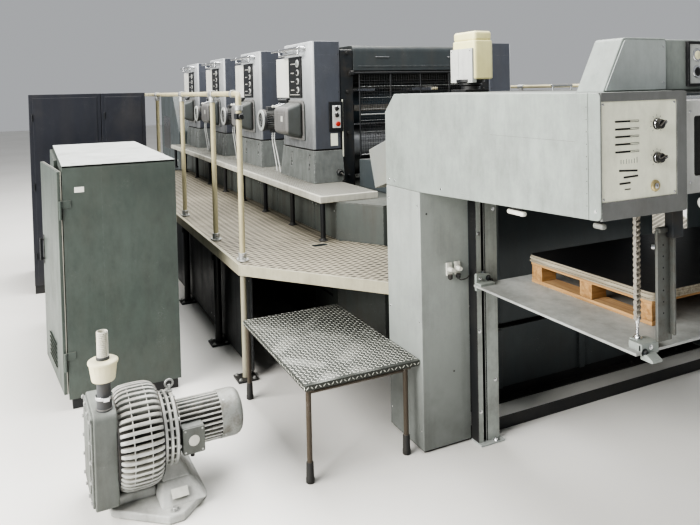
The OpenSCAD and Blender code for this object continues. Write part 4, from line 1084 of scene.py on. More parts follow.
def platform_bracket(piece):
    """An angle at the post with its bolts, and the shoe that runs in the slot."""
    piece.at(PLAT_X0, -PLAT_Y, PLAT_Z)
    outline = rounded([(0.004, -0.030), (0.099, -0.030), (0.099, 0.030), (0.079, 0.044), (0.004, 0.053)],
                      [0.004, 0.004, 0.006, 0.006, 0.008])
    piece.add(plate(outline, "x", 0, 0.016, 0.0025), "cover_paint", far=True)
    piece.add(box((0.012, 0.004, -0.001), (0.050, 0.089, 0.012), 0.0025), "cover_paint", far=True)
    piece.add(box((-0.053, 0.0555, -0.030), (0.001, 0.0685, 0.053), 0.002), "cover_dark", far=True)
    for y, z, across, finish in ((0.072, 0.026, 0.016, "frame_dark"), (0.090, 0.012, 0.011, "frame_dark"),
                                 (0.026, 0.028, 0.010, "chrome")):
        piece.add(bolt((0.016, y, z), X, across, 0.007), finish, far=True)


def platform_corner(piece):
    """A small casting on the sheet, its front lug, a clamp bolt and the foot below."""
    piece.at(PLAT_X1, -PLAT_Y, PLAT_Z)
    block = oblong((-0.058, 0.026), (0, 0.112), [0.008, 0.004, 0.004, 0.008])
    lug = oblong((0.026, -0.016), (0.112, 0.025), [0.010, 0.006, 0.004, 0.004])
    foot = rounded([(-0.012, -0.030), (0.040, -0.030), (0.040, -0.021), (0.014, -0.006), (-0.012, -0.006)],
                   [0.002, 0.003, 0.003, 0.008, 0])
    piece.add(plate(block, "z", -0.001, 0.026, 0.0028), "cover_paint", far=True)
    piece.add(plate(lug, "x", -0.012, 0.0008, 0.0025), "cover_paint", far=True)
    piece.add(plate(foot, "y", 0.034, 0.082, 0.002), "cover_paint", far=True)
    piece.add(bolt((0, 0.041, -0.004), X, 0.017, 0.009), "frame_dark", far=True)
    piece.add(bolt((0, 0.072, 0.010), X, 0.010, 0.004), "chrome", far=True)


def platform_rods(piece):
    """The threaded chain rods, each with its nut on the block."""
    profile = [(0, 0), (0.0055, 0)]
    for k in range(16):
        z = 0.002 + 0.0026 * k
        profile += [(0.0055, z), (0.0047, z + 0.0013)]
    profile += [(0.0055, 0.046), (0.0055, 0.056), (0.009, 0.058), (0.009, 0.076), (0, 0.076)]
    for y in (-CHAIN_Y, CHAIN_Y):
        piece.at(CHAIN_X, y, PLAT_Z + 0.024)
        piece.add(spun(profile, (0, 0, 0), Z, 14), "chrome")
        piece.add(box((-0.017, -0.021, -0.002), (0.017, 0.021, 0.004), 0.002), "cover_paint")
        piece.add(bolt((0, 0, 0.004), Z, 0.019, 0.008), "chrome")


platform = Piece("pile_platform_sheet")
for part in (platform_sheet, platform_bracket, platform_corner, platform_rods):
    part(platform)
platform.finish("platform_paint", "pile_platform", body="pile")

# %% Pallet and laminated board
pallet_lo, pallet_hi = low_high("pallet")
board_lo, board_hi = low_high("pile_board")
rng = random.Random(11)


def rough_board(low, high, finish, piece, twist=0.004):
    """A sawn board: subdivided, then nudged so its edges run slightly wild."""
    bm = box(low, high, 0.0012, 1)
    middle, size = (Vector(low) + Vector(high)) / 2, Vector(high) - Vector(low)
    whole = bm.verts[:] + bm.edges[:] + bm.faces[:]
    bmesh.ops.bisect_plane(bm, geom=whole, plane_co=middle, plane_no=size * Vector((1, 1, 0)))
    spin = rng.uniform(-twist, twist)
    for vert in bm.verts:
        vert.co.z += rng.uniform(-0.0008, 0.0004)
        vert.co += Vector((rng.uniform(-0.001, 0.001), rng.uniform(-0.001, 0.001), 0))
    piece.add(bm, finish, turn_about(middle, spin, "Z"))


def make_pallet():
    piece = Piece("pallet_boards")
    x0, x1, y0, y1 = pallet_lo.x + 0.003, pallet_hi.x - 0.003, pallet_lo.y + 0.003, pallet_hi.y - 0.003
    z, rows, deck = PLAT_Z, (y0, (y0 + y1) / 2 - 0.045, y1 - 0.09), 6
    for y in rows:
        for low, high in ((0.0008, 0.017), (0.084, 0.0974)):
            rough_board((x0, y, z + low), (x1, y + 0.09, z + high), "pallet_wood", piece, 0.002)
        for x in (x0 + 0.002, (x0 + x1) / 2 - 0.034, x1 - 0.070):
            corners = (x, y + 0.002, z + 0.0175), (x + 0.068, y + 0.088, z + 0.0835)
            rough_board(*corners, "pallet_cross", piece, 0.02)
    wide = (x1 - x0 - 0.02 * (deck - 1)) / deck
    for k, row in product(range(deck), range(2)):
        x = x0 + k * (wide + 0.02)
        corners = (x, rows[row] + 0.091, z + 0.084), (x + wide, rows[row + 1] - 0.001, z + 0.0974)
        rough_board(*corners, "pallet_cross", piece, 0.002)
    for y, x, nail in product(rows, (x0 + 0.036, x1 - 0.036), (0.028, 0.062)):
        piece.add(stud((x, y + nail, z + 0.0968), Z, 0, 0.001, 0.008, 8, 0.0004), "steel_bar")
    piece.finish("pallet_wood", "pallet", body="pile", flat=False)


def make_board():
    """Four thin layers, each a little out of line, under a dark worn face."""
    piece = Piece("pile_board_layers")
    x0, x1, y0, y1 = board_lo.x, board_hi.x, board_lo.y, board_hi.y
    for low, high, back in ((0.8835, 0.8905, 0.0), (0.8908, 0.8980, 0.004), (0.8983, 0.9060, 0.001),
                            (0.9063, 0.9150, 0.005)):
        outline = oblong((x0 + back, y0 + back), (x1 - back * 0.5, y1 - back), 0.03)
        piece.add(plate(outline, "z", low, high, 0.0009, 1), "board_edge")
    top = oblong((x0 + 0.006, y0 + 0.006), (x1 - 0.004, y1 - 0.006), 0.028)
    piece.add(plate(top, "z", 0.9148, 0.9170, 0.0007, 1), "pile_board")
    piece.finish("pile_board", "pile_board", body="pile")


make_pallet()
make_board()

# %% [markdown]
# ## Hoist chain
#
# A roller chain is two kinds of link in turn, so one outer and one inner pair
# of plates with its rollers is built once and repeated at the real pitch. The
# chain belongs to the press at its sprocket and to the pile at its foot; here it
# is one mesh set in place, given to neither body.

# %% Chain links
PITCH = 0.01905


def link_shapes(half_gap, thick, reach):
    """Two figure-of-eight side plates with a roller and a pin, made round one upright pitch of chain."""
    outline = []
    for half in (1, -1):
        for k in range(7):
            turn = math.radians(30 * k)
            outline.append((half * reach * math.cos(turn), half * (PITCH / 2 + reach * math.sin(turn))))
        outline.append((-half * reach * 0.62, 0.0))
    middle = Vector((0, 0, PITCH / 2))
    return [plate(outline, "y", y, y + thick, 0.0) for y in (-half_gap - thick, half_gap)] + [
        stud(middle, Y, -half_gap, half_gap, 0.0115, 10, 0.0004),
        stud(middle, Y, -half_gap - thick - 0.0012, half_gap + thick + 0.0012, 0.0055, 8, 0.0004)]


def make_chains():
    piece = Piece("hoist_chain_links", far=True)
    foot = PLAT_Z + 0.108
    count = int((1.60 - foot) / PITCH)
    for k in range(count):
        piece.at(CHAIN_X, -CHAIN_Y, foot + k * PITCH)
        for shape in link_shapes(0.0062 if k % 2 else 0.0086, 0.0021, 0.0086):
            piece.add(shape, "chain_steel")
    made = piece.to_object()
    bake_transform(made)
    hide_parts("hoist_chains")
    print(piece.name, count, "links each side,", len(made.data.polygons), "faces")


make_chains()

# %% [markdown]
# ## Worn guide bar and floor beams
#
# A worn steel bar hangs beside the chain from a small painted block. It is
# drilled and carries wing bolts. Dark beams lie across the floor between the
# legs.

# %% Guide bars and beams
def make_guides():
    piece = Piece("pile_guides_bar", far=True)
    low = low_high("pile_guides")[0]
    wide, tall = 0.070, COVER_LOW_END - 0.074 - low.z
    piece.at(low.x, -CHAIN_Y + 0.023, low.z)
    piece.add(plate(oblong((0, 0), (wide, tall), [0.004, 0.004, 0.008, 0.010]), "x", 0, 0.012, 0.0022),
              "guide_steel")
    piece.add(box((0.010, wide - 0.010, 0.020), (0.030, wide, tall - 0.030), 0.0016), "guide_steel")
    piece.add(box((0.006, 0.042, tall - 0.030), (0.042, wide + 0.024, tall + 0.072), 0.004), "frame_dark")
    piece.add(box((-0.002, 0.004, tall - 0.012), (0.020, wide + 0.018, tall + 0.006), 0.003), "guide_steel")
    wing = Vector((-0.001, 0.014, tall - 0.062))
    cap = [(0, 0), (0.010, 0), (0.011, 0.004), (0.009, 0.012), (0, 0.013)]
    piece.add(bar(wing, wing + Vector((-0.006, -0.020, 0)), 0.010, 12), "chrome")
    piece.add(bolt(wing, -X, 0.016, 0.008), "chrome")
    piece.add(spun(cap, wing + Vector((-0.002, -0.012, 0)), (-0.028, -0.038, 0), 14), "chrome")
    # The drilled holes are flush discs of painted shade.
    for k in range(7):
        piece.add(stud((0.012, 0.028, 0.10 + k * 0.040), X, -0.0002, 0.0003, 0.0065, 12, 0.0002), "dark_gap")
    piece.finish("steel_bar", "pile_guides")


def make_beams():
    piece = Piece("delivery_beams_angles")
    angle = [(0, 0.0), (0.060, 0.0), (0.060, 0.008), (0.010, 0.008), (0.010, 0.060), (0, 0.060)]
    turned_angle = [(0, 0.0), (0.060, 0.0), (0.060, 0.060), (0.050, 0.060), (0.050, 0.008), (0, 0.008)]
    for x, outline in ((LEG_X0 + 0.030, angle), (LEG_X1 - 0.070, turned_angle)):
        piece.at(x, 0, 0)
        piece.add(plate(outline, "y", -LEG_Y, LEG_Y, 0.0015), "black_steel")
        for y in (-0.8, -0.4, 0.4, 0.8):
            piece.add(bolt((0.03, y, 0.008), Z, 0.018, 0.010), "frame_dark")
    piece.at(LEG_X0, 0, 0)
    piece.add(box((0.030, -LEG_Y, 0.060), (0.042, LEG_Y, 0.388), 0.002), "cover_dark")
    for y in (-0.6, 0.0, 0.6):
        piece.add(box((0.042, y - 0.02, 0.062), (0.060, y + 0.02, 0.380), 0.003), "cover_dark")
    piece.finish("black_steel", "delivery_beams")


make_guides()
make_beams()

# %% [markdown]
# ## Delivery guard, top covers and what stands on them
#
# The guard that faces the stacker is a light frame with two dark panes and a
# round grab bar on bent arms. It swings on its own body, so everything on it
# rides that body. Three lids close the top. A cream powder container stands on
# a dark bowl over the leg, and a slanted desk box hangs behind it.

# %% Guard with its panes and grab bar
paint("guard_white", (0.64, 0.65, 0.62), 0.34, smudges=0.4, foot=0.0, wear=0.5, scratch=0.8)
plastic("dark_pane", (0.016, 0.018, 0.020), 0.12, 0.0)


def make_delivery_guard():
    piece = Piece("delivery_guard_frame")
    hinge_x, hinge_z, half, low = END_X - 0.030, COVER_TOP - 0.030, CONTROL_Y - 0.006, COVER_TOP - 0.360
    back, front = END_X - 0.038, END_X - 0.022
    piece.add(stud((hinge_x, 0, hinge_z), Y, -half - 0.022, half + 0.022, 0.0238, 24, 0.002), "chrome")
    for side, radii, shift in ((-1, [0.006, 0.0, 0.0, 0.006], 0.020), (1, [0.0, 0.006, 0.006, 0.0], 0.010)):
        y0, y1 = sorted((side * half, 0.0004 * side))
        pane0, pane1 = sorted((side * (half - 0.060), side * 0.030))
        pane = oblong((pane0, low + 0.060), (pane1, hinge_z - 0.060), 0.012)
        seal = oblong((pane0 + 0.004, low + 0.064), (pane1 - 0.004, hinge_z - 0.064), 0.010)
        piece.add(ring_plate(oblong((y0, low), (y1, hinge_z), radii), pane, "x", back, front, 0.0018),
                  "guard_white")
        piece.add(ring_plate(pane, seal, "x", back + 0.002, front - 0.004, 0.0), "rubber")
        glass = (back + 0.003, pane0 + 0.002, low + 0.062), (back + 0.0075, pane1 - 0.002, hinge_z - 0.062)
        piece.add(box(*glass, 0.0005), "dark_pane")
        for y, z in product((pane0 - shift, pane1 + 0.020), (low + 0.040, hinge_z - 0.045)):
            piece.add(stud((front, y, z), X, -0.001, 0.0016, 0.010, 14, 0.0008), "chrome")
    x, z, length = END_X + 0.046, COVER_TOP - 0.380, 2 * half
    dome = [(0, 0), (0.009, 0.0012), (0.016, 0.0048), (0.0205, 0.0105), (0.022, 0.018)]
    piece.add(spun(dome + [(r, length - d) for r, d in reversed(dome)], (x, -half, z), Y, 32), "guard_white")
    collar = [(0, 0), (0.019, 0), (0.019, 0.003), (0.013, 0.006), (0, 0.006)]
    for y in (-half + 0.120, 0.0, half - 0.120):
        arm = [(hinge_x + 0.004, y, z + 0.030), (END_X + 0.022, y, z + 0.030), (x, y, z)]
        piece.add(bent_tube(arm, 0.019, 12, 0.020), "guard_white")
        piece.add(spun(collar, (front - 0.001, y, z + 0.030), X, 20), "galvanised")
    piece.finish("guard_grey", "delivery_guard", body="delivery_guard_body")


make_delivery_guard()


# %% Lids over the pile and the chain end
def make_delivery_top():
    piece = Piece("delivery_top_lids")
    top_lo, top_hi = low_high("delivery_top")
    half, roof = -top_lo.y, top_hi.z
    piece.add(box((top_lo.x, -half, roof - 0.090), (top_hi.x, half, roof - 0.010), 0.003), "cover_dark")
    piece.add(box((LEG_X1 + 0.100, -CONTROL_Y + 0.080, COVER_TOP - 0.330),
                  (END_X - 0.160, CONTROL_Y - 0.080, roof - 0.089), 0.004), "cover_dark")
    starts, ends = (0.002, 0.435, 0.905), (0.430, 0.900, hood_lo.x - top_lo.x - 0.004)
    lids = [(top_lo.x + start, top_lo.x + end) for start, end in zip(starts, ends)]
    for (x0, x1), (y0, y1) in product(lids, ((-half + 0.002, -0.0015), (0.0015, half - 0.002))):
        piece.at(0, 0, roof)
        piece.add(box((x0, y0, -0.012), (x1, y1, 0), 0.003, 3), "drive_grey")
        piece.at(x1 - 0.060, (y0 + y1) / 2, roof)
        for y in (-0.06, 0.06):
            piece.add(stud((0, y, 0), Z, -0.003, 0.024, 0.010, 12, 0.001), "chrome")
        piece.add(stud((0, 0, 0.024), Y, -0.068, 0.068, 0.012, 14, 0.001), "chrome")
        piece.at(x0 + 0.05, (y0 + y1) / 2, roof)
        # Vent slots in painted shade.
        for k in range(10):
            piece.add(box((0.022 * k, -0.10, -0.0008), (0.008 + 0.022 * k, 0.10, 0.0006), 0.0004, 1),
                      "dark_gap")
    # Delivery fans under the roof, seen from below through the pile bay
    piece.at()
    fan = [(0.0, 0.0), (0.070, 0.0), (0.074, 0.003), (0.074, 0.012), (0.0, 0.012)]
    for y, x in product((-0.50, -0.17, 0.17, 0.50), (LEG_X1 + 0.24, LEG_X1 + 0.56)):
        piece.add(spun(fan, (x, y, COVER_TOP - 0.3295), -Z, 28), "motor_dark")
    piece.finish("cover_dark", "delivery_top")


make_delivery_top()


# %% Powder container and desk box
def make_sprayer():
    piece = Piece("powder_sprayer_box")
    piece.at(LEG_X0 + 0.060, -SIDE_Y + 0.430, COVER_TOP)
    bowl = [(0, 0.013), (0.050, 0.013), (0.050, 0.030), (0.060, 0.038), (0.060, 0.047), (0.075, 0.052),
            (0.075, 0.0655), (0, 0.0655)]
    piece.add(box((-0.070, -0.020, 0), (0.060, 0.130, 0.014), 0.003), "black_steel")
    piece.add(spun(bowl, (0, 0.056, 0), Z, 40), "black_steel")
    tank, lid = oblong((-0.100, 0.010), (0.100, 0.132), 0.022), oblong((-0.096, 0.014), (0.096, 0.128), 0.022)
    piece.add(plate(tank, "z", 0.0655, 0.268, 0.010, 4), "sprayer_plastic")
    piece.add(plate(lid, "z", 0.264, 0.315, 0.018, 5), "sprayer_plastic")
    # A plain light sheet with a folded edge covers the lower part of the tank
    piece.add(box((-0.1035, 0.002, 0.048), (0.088, 0.008, 0.226), 0.002), "guard_white")
    piece.add(box((-0.030, 0.0008, 0.048), (-0.028, 0.0022, 0.226), 0.0), "guard_grey")
    piece.add(box((0.084, 0.002, 0.048), (0.090, 0.030, 0.226), 0.002), "guard_grey")
    for x, z in product((-0.090, 0.074), (0.060, 0.214)):
        piece.add(stud((x, 0.0024, z), -Y, 0, 0.0018, 0.008, 12, 0.0006), "chrome")
    piece.finish("sprayer_plastic", "powder_sprayer")


def make_desk():
    piece = Piece("desk_box_sheet")
    piece.at(LEG_X0, -SIDE_Y, COVER_LOW + 0.010)
    side = [(-0.1617, -0.0525), (-0.0003, 0.0), (-0.0003, 0.1294), (-0.0269, 0.2121), (-0.2266, 0.1472)]
    slope = turn_at((-0.2266, 0, 0.1472), -math.radians(18), "Y")
    piece.add(plate(side, "y", 0.020, 0.220, 0.004, 3), "desk_grey")
    piece.add(box((0.012, 0.028, -0.0005), (0.200, 0.212, 0.0035), 0.0015), "desk_grey", slope)
    for k in range(4):
        button = stud((0.045, 0.055 + 0.043 * k, 0.003), Z, 0, 0.0055, 0.020, 18, 0.001)
        piece.add(button, "knob_black", slope)
    piece.finish("desk_grey", "desk_box")


make_sprayer()
make_desk()

# %% [markdown]
# ## Air pump
#
# The pump lies on the floor beside the leg. Its barrel is a cage of thin
# curved slats round a near-black core, a painted shade between the slats, so one
# slat is drawn and turned about the shaft. Flange rings with bridging ribs join it
# to a finned motor with a round cowl. It all stands on a pale cast foot that
# spreads towards the floor.

# %% Barrel, flange and foot
AXIS_Z = 0.265
pump_place = turn_at((LEG_X0 + 0.024, -2.685, 0), math.radians(2), "Z")
metal("cowl_grey", (0.32, 0.33, 0.315), 0.5, stain=0.9, dust=0.35, metallic=0.4)
# A near-black metal for the cores behind the slats, rings and fins: painted shade.
metal("pump_core", (0.05, 0.05, 0.052), 0.6, dust=0.4, metallic=0.3)
paint("pump_foot", (0.56, 0.57, 0.55), 0.55, streaks=0.4, smudges=0.5, foot=0.5, wear=0.7, grain=0.0009)
paint("pump_box", (0.165, 0.178, 0.165), 0.5, streaks=0.4, smudges=0.5, dust=0.6, mottle=0.8,
      lint=(0.40, 0.41, 0.38), wear=0.7, grain=0.0006)


def ring_of(piece, count, make, finish, start=0.0):
    """Copies of a shape, turned about the pump's shaft."""
    for k in range(count):
        piece.add(make(), finish, turn_about((0, 0, AXIS_Z), start + math.tau * k / count, "Y"))


def slat():
    outline = [(0.096, 0.172), (0.268, 0.172), (0.268, 0.188), (0.256, 0.201), (0.236, 0.209),
               (0.205, 0.2118),
               (0.160, 0.2118), (0.128, 0.209), (0.108, 0.201), (0.096, 0.188)]
    return plate([(y, AXIS_Z + r) for y, r in outline], "x", -0.0075, 0.0075, 0.0035)


def on_shaft(profile, sides=48):
    return spun(profile, (0, 0, AXIS_Z), Y, sides)


def make_pump_casing():
    piece = Piece("pump_casing_cage", place=pump_place)
    spread = rounded([(-0.100, 0.060), (0.100, 0.060), (0.130, 0.090), (0.270, 0.260), (0.270, 0.320),
                      (0.160, 0.440),
                      (-0.160, 0.440), (-0.270, 0.320), (-0.270, 0.260), (-0.130, 0.090)], 0.016)
    piece.add(plate(spread, "z", 0.0, 0.034, 0.007, 3), "pump_foot")
    lower = (-0.215, 0.236, 0.032), (0.215, 0.436, 0.100), (-0.125, 0.262), (0.125, 0.382)
    upper = (-0.128, 0.260, 0.095), (0.128, 0.384, 0.160), (-0.085, 0.280), (0.085, 0.350)
    piece.add(tapered(*lower, 0.014, 4), "pump_foot")
    piece.add(tapered(*upper, 0.012, 4), "pump_foot")
    piece.add(box((-0.095, 0.066, 0.030), (0.095, 0.245, 0.075), 0.012, 3), "pump_foot")
    for x, y in ((-0.235, 0.290), (0.235, 0.290), (0.072, 0.085), (-0.072, 0.085)):
        piece.add(bolt((x, y, 0.034), Z, 0.022, 0.012), "galvanised")
    lean = Matrix.Translation((0.058, 0, 0)) @ turn_about((0.13, 0.32, 0.07), -0.92, "Y")
    piece.add(box((0.1275, 0.288, 0.052), (0.1315, 0.356, 0.092), 0.0012), "plug_white", lean)
    # End box: a flanged casting with a bolted cover
    body = oblong((-0.150, 0.060), (0.150, 0.450), [0.016, 0.016, 0.040, 0.060])
    cover = oblong((-0.140, 0.072), (0.140, 0.438), [0.016, 0.016, 0.034, 0.050])
    piece.add(plate(body, "y", 0.0, 0.092, 0.007, 3), "pump_box")
    piece.add(plate(cover, "y", -0.009, 0.001, 0.0035), "pump_box")
    edge = [(sx * 0.127, 0.095 + 0.082 * k) for sx in (-1, 1) for k in range(5)]
    for x, z in edge + [(-0.05, 0.085), (0.05, 0.085), (-0.05, 0.425), (0.05, 0.425)]:
        piece.add(bolt((x, -0.009, z), -Y, 0.013, 0.006), "galvanised")
        piece.add(stud((x * 1.1 if abs(x) > 0.1 else x, 0, z), Y, 0.004, 0.016, 0.017, 12, 0.002), "pump_box")
    piece.add(plate(oblong((-0.105, 0.110), (0.105, 0.400), 0.03), "y", -0.0125, -0.0085, 0.002), "pump_box")
    # Core in painted shade, slats, and the bands that hold the slats
    piece.add(on_shaft([(0, 0.090), (0.186, 0.090), (0.186, 0.272), (0, 0.272)], 56), "pump_core")
    ring_of(piece, 46, slat, "pump_alloy")
    for y0, y1, r in ((0.146, 0.150, 0.2080), (0.214, 0.218, 0.2078)):
        band = [(0.178, y0), (r - 0.001, y0), (r, y0 + 0.001), (r, y1 - 0.001), (r - 0.001, y1), (0.178, y1)]
        piece.add(on_shaft(band, 64), "pump_alloy")
    # Flange rings with ribs between them, round a core in painted shade
    piece.add(on_shaft([(0, 0.268), (0.134, 0.268), (0.134, 0.345), (0, 0.345)]), "pump_core")
    for y in (0.276, 0.299, 0.322):
        ring = [(0.128, y), (0.152, y), (0.155, y + 0.003), (0.155, y + 0.011), (0.152, y + 0.014),
                (0.128, y + 0.014)]
        piece.add(on_shaft(ring, 64), "motor_alloy")
    rib = (-0.004, 0.278, AXIS_Z + 0.130), (0.004, 0.334, AXIS_Z + 0.151)
    ring_of(piece, 26, lambda: box(*rib, 0.0015, 1), "motor_alloy")
    ring_of(piece, 8, lambda: bolt((0, 0.336, AXIS_Z + 0.143), Y, 0.013, 0.007), "galvanised", 0.2)
    # Lifting eye
    shank = [(0, 0), (0.014, 0), (0.014, 0.006), (0.007, 0.009), (0.007, 0.030), (0, 0.030)]
    piece.add(spun(shank, (0, 0.328, AXIS_Z + 0.153), Z, 18), "galvanised")
    turns = [math.tau * k / 24 for k in range(25)]
    loop = [(0, 0.328 + 0.017 * math.cos(turn), AXIS_Z + 0.189 + 0.017 * math.sin(turn)) for turn in turns]
    piece.add(bent_tube(loop, 0.009, 10), "galvanised")
    piece.finish("pump_alloy", "pump_casing")


make_pump_casing()


# %% Motor with fins, cowl and terminal box
def make_pump_motor():
    piece = Piece("pump_motor_fins", place=pump_place)
    # The near-black core under the fins is painted shade.
    piece.add(on_shaft([(0, 0.344), (0.087, 0.344), (0.087, 0.546), (0, 0.546)]), "pump_core")
    fin = [(0.346, 0.084), (0.545, 0.084), (0.545, 0.1015), (0.352, 0.1015), (0.346, 0.096)]
    fin = [(y, AXIS_Z + r) for y, r in fin]
    ring_of(piece, 30, lambda: plate(fin, "x", -0.0036, 0.0036, 0.0014, 1), "motor_alloy")
    end_ring = [(0.080, 0.345), (0.101, 0.345), (0.1025, 0.347), (0.1025, 0.354), (0.080, 0.356)]
    piece.add(on_shaft(end_ring, 56), "motor_alloy")
    cowl = [(0.084, 0.536), (0.1015, 0.536), (0.103, 0.538), (0.103, 0.600), (0.1015, 0.612), (0.0965, 0.624),
            (0.088, 0.632), (0.076, 0.6365), (0.074, 0.6345), (0.074, 0.622), (0.0, 0.622)]
    piece.add(on_shaft(cowl, 56), "cowl_grey")
    for r in (0.020, 0.034, 0.048, 0.062):
        wire_ring = [(r, 0.630), (r + 0.003, 0.628), (r, 0.626), (r - 0.003, 0.628), (r, 0.630)]
        piece.add(on_shaft(wire_ring, 40), "galvanised")
    spoke, screw = ((-0.002, 0.625, AXIS_Z), (0.002, 0.631, AXIS_Z + 0.076)), (0, 0.552, AXIS_Z + 0.102)
    ring_of(piece, 6, lambda: box(*spoke, 0.0008, 1), "galvanised")
    ring_of(piece, 4, lambda: stud(screw, Z, 0, 0.0032, 0.010, 12, 0.0008), "galvanised", 0.6)
    terminals = oblong((0.351, 0.190), (0.445, 0.302), 0.008)
    piece.add(plate(terminals, "x", 0.070, 0.130, 0.003), "pump_box")
    piece.add(plate(terminals, "x", 0.132, 0.140, 0.003, 3), "pump_box")
    for y, z in product((0.362, 0.434), (0.201, 0.291)):
        piece.add(stud((0.139, y, z), X, 0, 0.0022, 0.008, 10, 0.0006), "galvanised")
    piece.add(stud((0.139, 0.398, 0.246), X, 0, 0.0026, 0.046, 28, 0.0008), "plug_white")
    gland = [(0, 0), (0.012, 0), (0.012, 0.012), (0.009, 0.014), (0.009, 0.026), (0, 0.026)]
    piece.add(spun(gland, (0.105, 0.398, 0.191), -Z, 16), "rubber")
    piece.finish("motor_alloy", "pump_motor")


make_pump_motor()

# %% Inlet filter and its hose stub
plastic("hose_white", (0.66, 0.66, 0.60), 0.5, 0.25)


def make_pump_filter():
    """A neck, a clamp band, a flared cup with ribs, and a corrugated hose end, all round one upright."""
    piece = Piece("pump_filter_cup", place=pump_place)
    foot = (0.095, 0.050, 0.450)
    bellows = [(0.0, 0.210), (0.0205, 0.210)]
    for k in range(14):
        z = 0.214 + 0.0074 * k
        bellows += [(0.0180, z), (0.0228, z + 0.0020), (0.0228, z + 0.0044), (0.0180, z + 0.0064)]
    bellows += [(0.0205, 0.318), (0.0185, 0.318), (0.0178, 0.300), (0.0, 0.300)]
    neck = [(0, -0.002), (0.033, -0.002), (0.033, 0.004), (0.0295, 0.007), (0.0295, 0.045), (0, 0.045)]
    band = [(0.027, 0.044), (0.033, 0.044), (0.034, 0.0455), (0.034, 0.0565), (0.033, 0.058), (0.027, 0.058)]
    cup = [(0, 0.116), (0.030, 0.116), (0.044, 0.119), (0.0465, 0.124), (0.0540, 0.184), (0.0585, 0.189),
           (0.059, 0.191), (0.059, 0.1975), (0.057, 0.200), (0.050, 0.204), (0, 0.204)]
    mouth = [(0.020, 0.203), (0.026, 0.203), (0.026, 0.214), (0.025, 0.216), (0.020, 0.216)]
    rib = [(0.0460, 0.124), (0.0552, 0.186), (0.0510, 0.186), (0.0430, 0.124)]
    piece.add(spun(neck, foot, Z, 36), "motor_dark")
    piece.add(spun(band, foot, Z, 36), "chrome")
    piece.add(box((0.124, 0.042, 0.492), (0.137, 0.066, 0.510), 0.002), "chrome")
    piece.add(spun([(0, 0.057), (0.0275, 0.057), (0.0275, 0.120), (0, 0.120)], foot, Z, 36), "motor_dark")
    piece.add(spun(cup, foot, Z, 48), "filter_plastic")
    for k in range(16):
        place = turn_at(foot, math.tau * k / 16, "Z")
        piece.add(plate(rib, "y", -0.0013, 0.0013, 0.0004, 1), "filter_plastic", place)
    piece.add(spun(mouth, foot, Z, 36), "motor_dark")
    piece.add(spun(bellows, foot, Z, 36), "hose_white")
    # A disc of painted shade inside the hose's mouth.
    piece.add(spun([(0, 0.3005), (0.0174, 0.3005), (0.0174, 0.302), (0, 0.302)], foot, Z, 24), "dark_gap")
    piece.finish("filter_plastic", "pump_filter")


make_pump_filter()

# %% [markdown]
# ## Step stool
#
# The stool stands nearest to the camera, so its tread has real raised bars,
# laid in two crossed families on a folded sheet with a deep rim. Slim tubes
# stand in tall rubber cups.

# %% Stool
stool_lo, stool_hi = low_high("step_stool")
paint("tube_brown", (0.075, 0.058, 0.040), 0.4, scratch=0.8)


def tread_bar(length, width, high):
    """One raised bar of the tread pattern: a long low six-sided lozenge."""
    bm = bmesh.new()
    bmesh.ops.create_cone(bm, cap_ends=True, segments=6, radius1=0.5, radius2=0.34, depth=1.0)
    bmesh.ops.scale(bm, vec=(length, width, high), verts=bm.verts)
    bmesh.ops.translate(bm, verts=bm.verts, vec=(0, 0, high / 2))
    return bm


def make_stool():
    piece = Piece("step_stool_tread")
    wide, deep, top = *(stool_hi - stool_lo).xy, stool_hi.z - 0.0012
    piece.at(stool_lo.x, stool_lo.y, 0)
    piece.add(plate(oblong((0, 0), (wide, deep), 0.016), "z", top - 0.026, top, 0.0035, 3), "stool_tread")
    # A near-black sheet under the tread paints the shade inside its rim.
    inner = oblong((0.004, 0.004), (wide - 0.004, deep - 0.004), 0.012)
    piece.add(plate(inner, "z", top - 0.0275, top - 0.0255, 0.0), "dark_gap")
    pitch = 0.0200
    across, along_y = range(int(wide / pitch) + 1), range(int(deep / pitch) + 1)
    for turn, i, j in product((1, -1), across, along_y):
        x, y = pitch * (i + 0.62), pitch * (j + 0.60)
        if (i + j) % 2 != (turn < 0) and x <= wide - 0.009 and y <= deep - 0.009:
            piece.add(tread_bar(0.0205, 0.0064, 0.0012), "stool_bars",
                      turn_at((x, y, top), turn * math.pi / 4, "Z"))
    # The pattern carries on over the folded rim
    rims = [(turn_at((pitch * (i + 0.62), 0.0002, top - 0.0135), math.pi / 2, "X"), i) for i in across[:-1]]
    rims += [(turn_at((wide - 0.0002, pitch * (j + 0.62), top - 0.0135), math.pi / 2, "Y"), j)
             for j in along_y[:-1]]
    for place, k in rims:
        turn = Matrix.Rotation((1 if k % 2 else -1) * math.pi / 4, 4, "Z")
        piece.add(tread_bar(0.0190, 0.0058, 0.0008), "stool_bars", place @ turn)
    xs, ys = (0.024, wide - 0.024), (0.024, deep - 0.070)
    cup = [(0, 0), (0.0175, 0), (0.019, 0.002), (0.019, 0.020), (0.0175, 0.024), (0.016, 0.088),
           (0.0145, 0.092), (0, 0.092)]
    for x, y in product(xs, ys):
        piece.add(bar((x, y, 0.050), (x, y, top - 0.026), 0.024, 20), "tube_brown")
        piece.add(spun(cup, (x, y, 0), Z, 24), "rubber")
        piece.add(box((x - 0.022, y - 0.018, top - 0.032), (x + 0.022, y + 0.018, top - 0.026), 0.001),
                  "tube_brown")
    for y in ys:
        piece.add(bar((xs[0], y, top - 0.040), (xs[1], y, top - 0.040), 0.018, 16), "tube_brown")
    for x in xs:
        piece.add(bar((x, ys[0], top - 0.040), (x, ys[1], top - 0.040), 0.018, 16), "tube_brown")
    piece.finish("stool_tread", "step_stool", flat=False)


make_stool()

# %% [markdown]
# ## Base, steps and gallery
#
# The base is a long box of sheet panels with dark joints. The upper step runs
# along both sides with a light folded nosing. The gallery deck is made of tread
# plates with a cream front edge; its end is cut slantwise towards the delivery
# and has a hand hole. Plates are drawn once for the near side and mirrored.

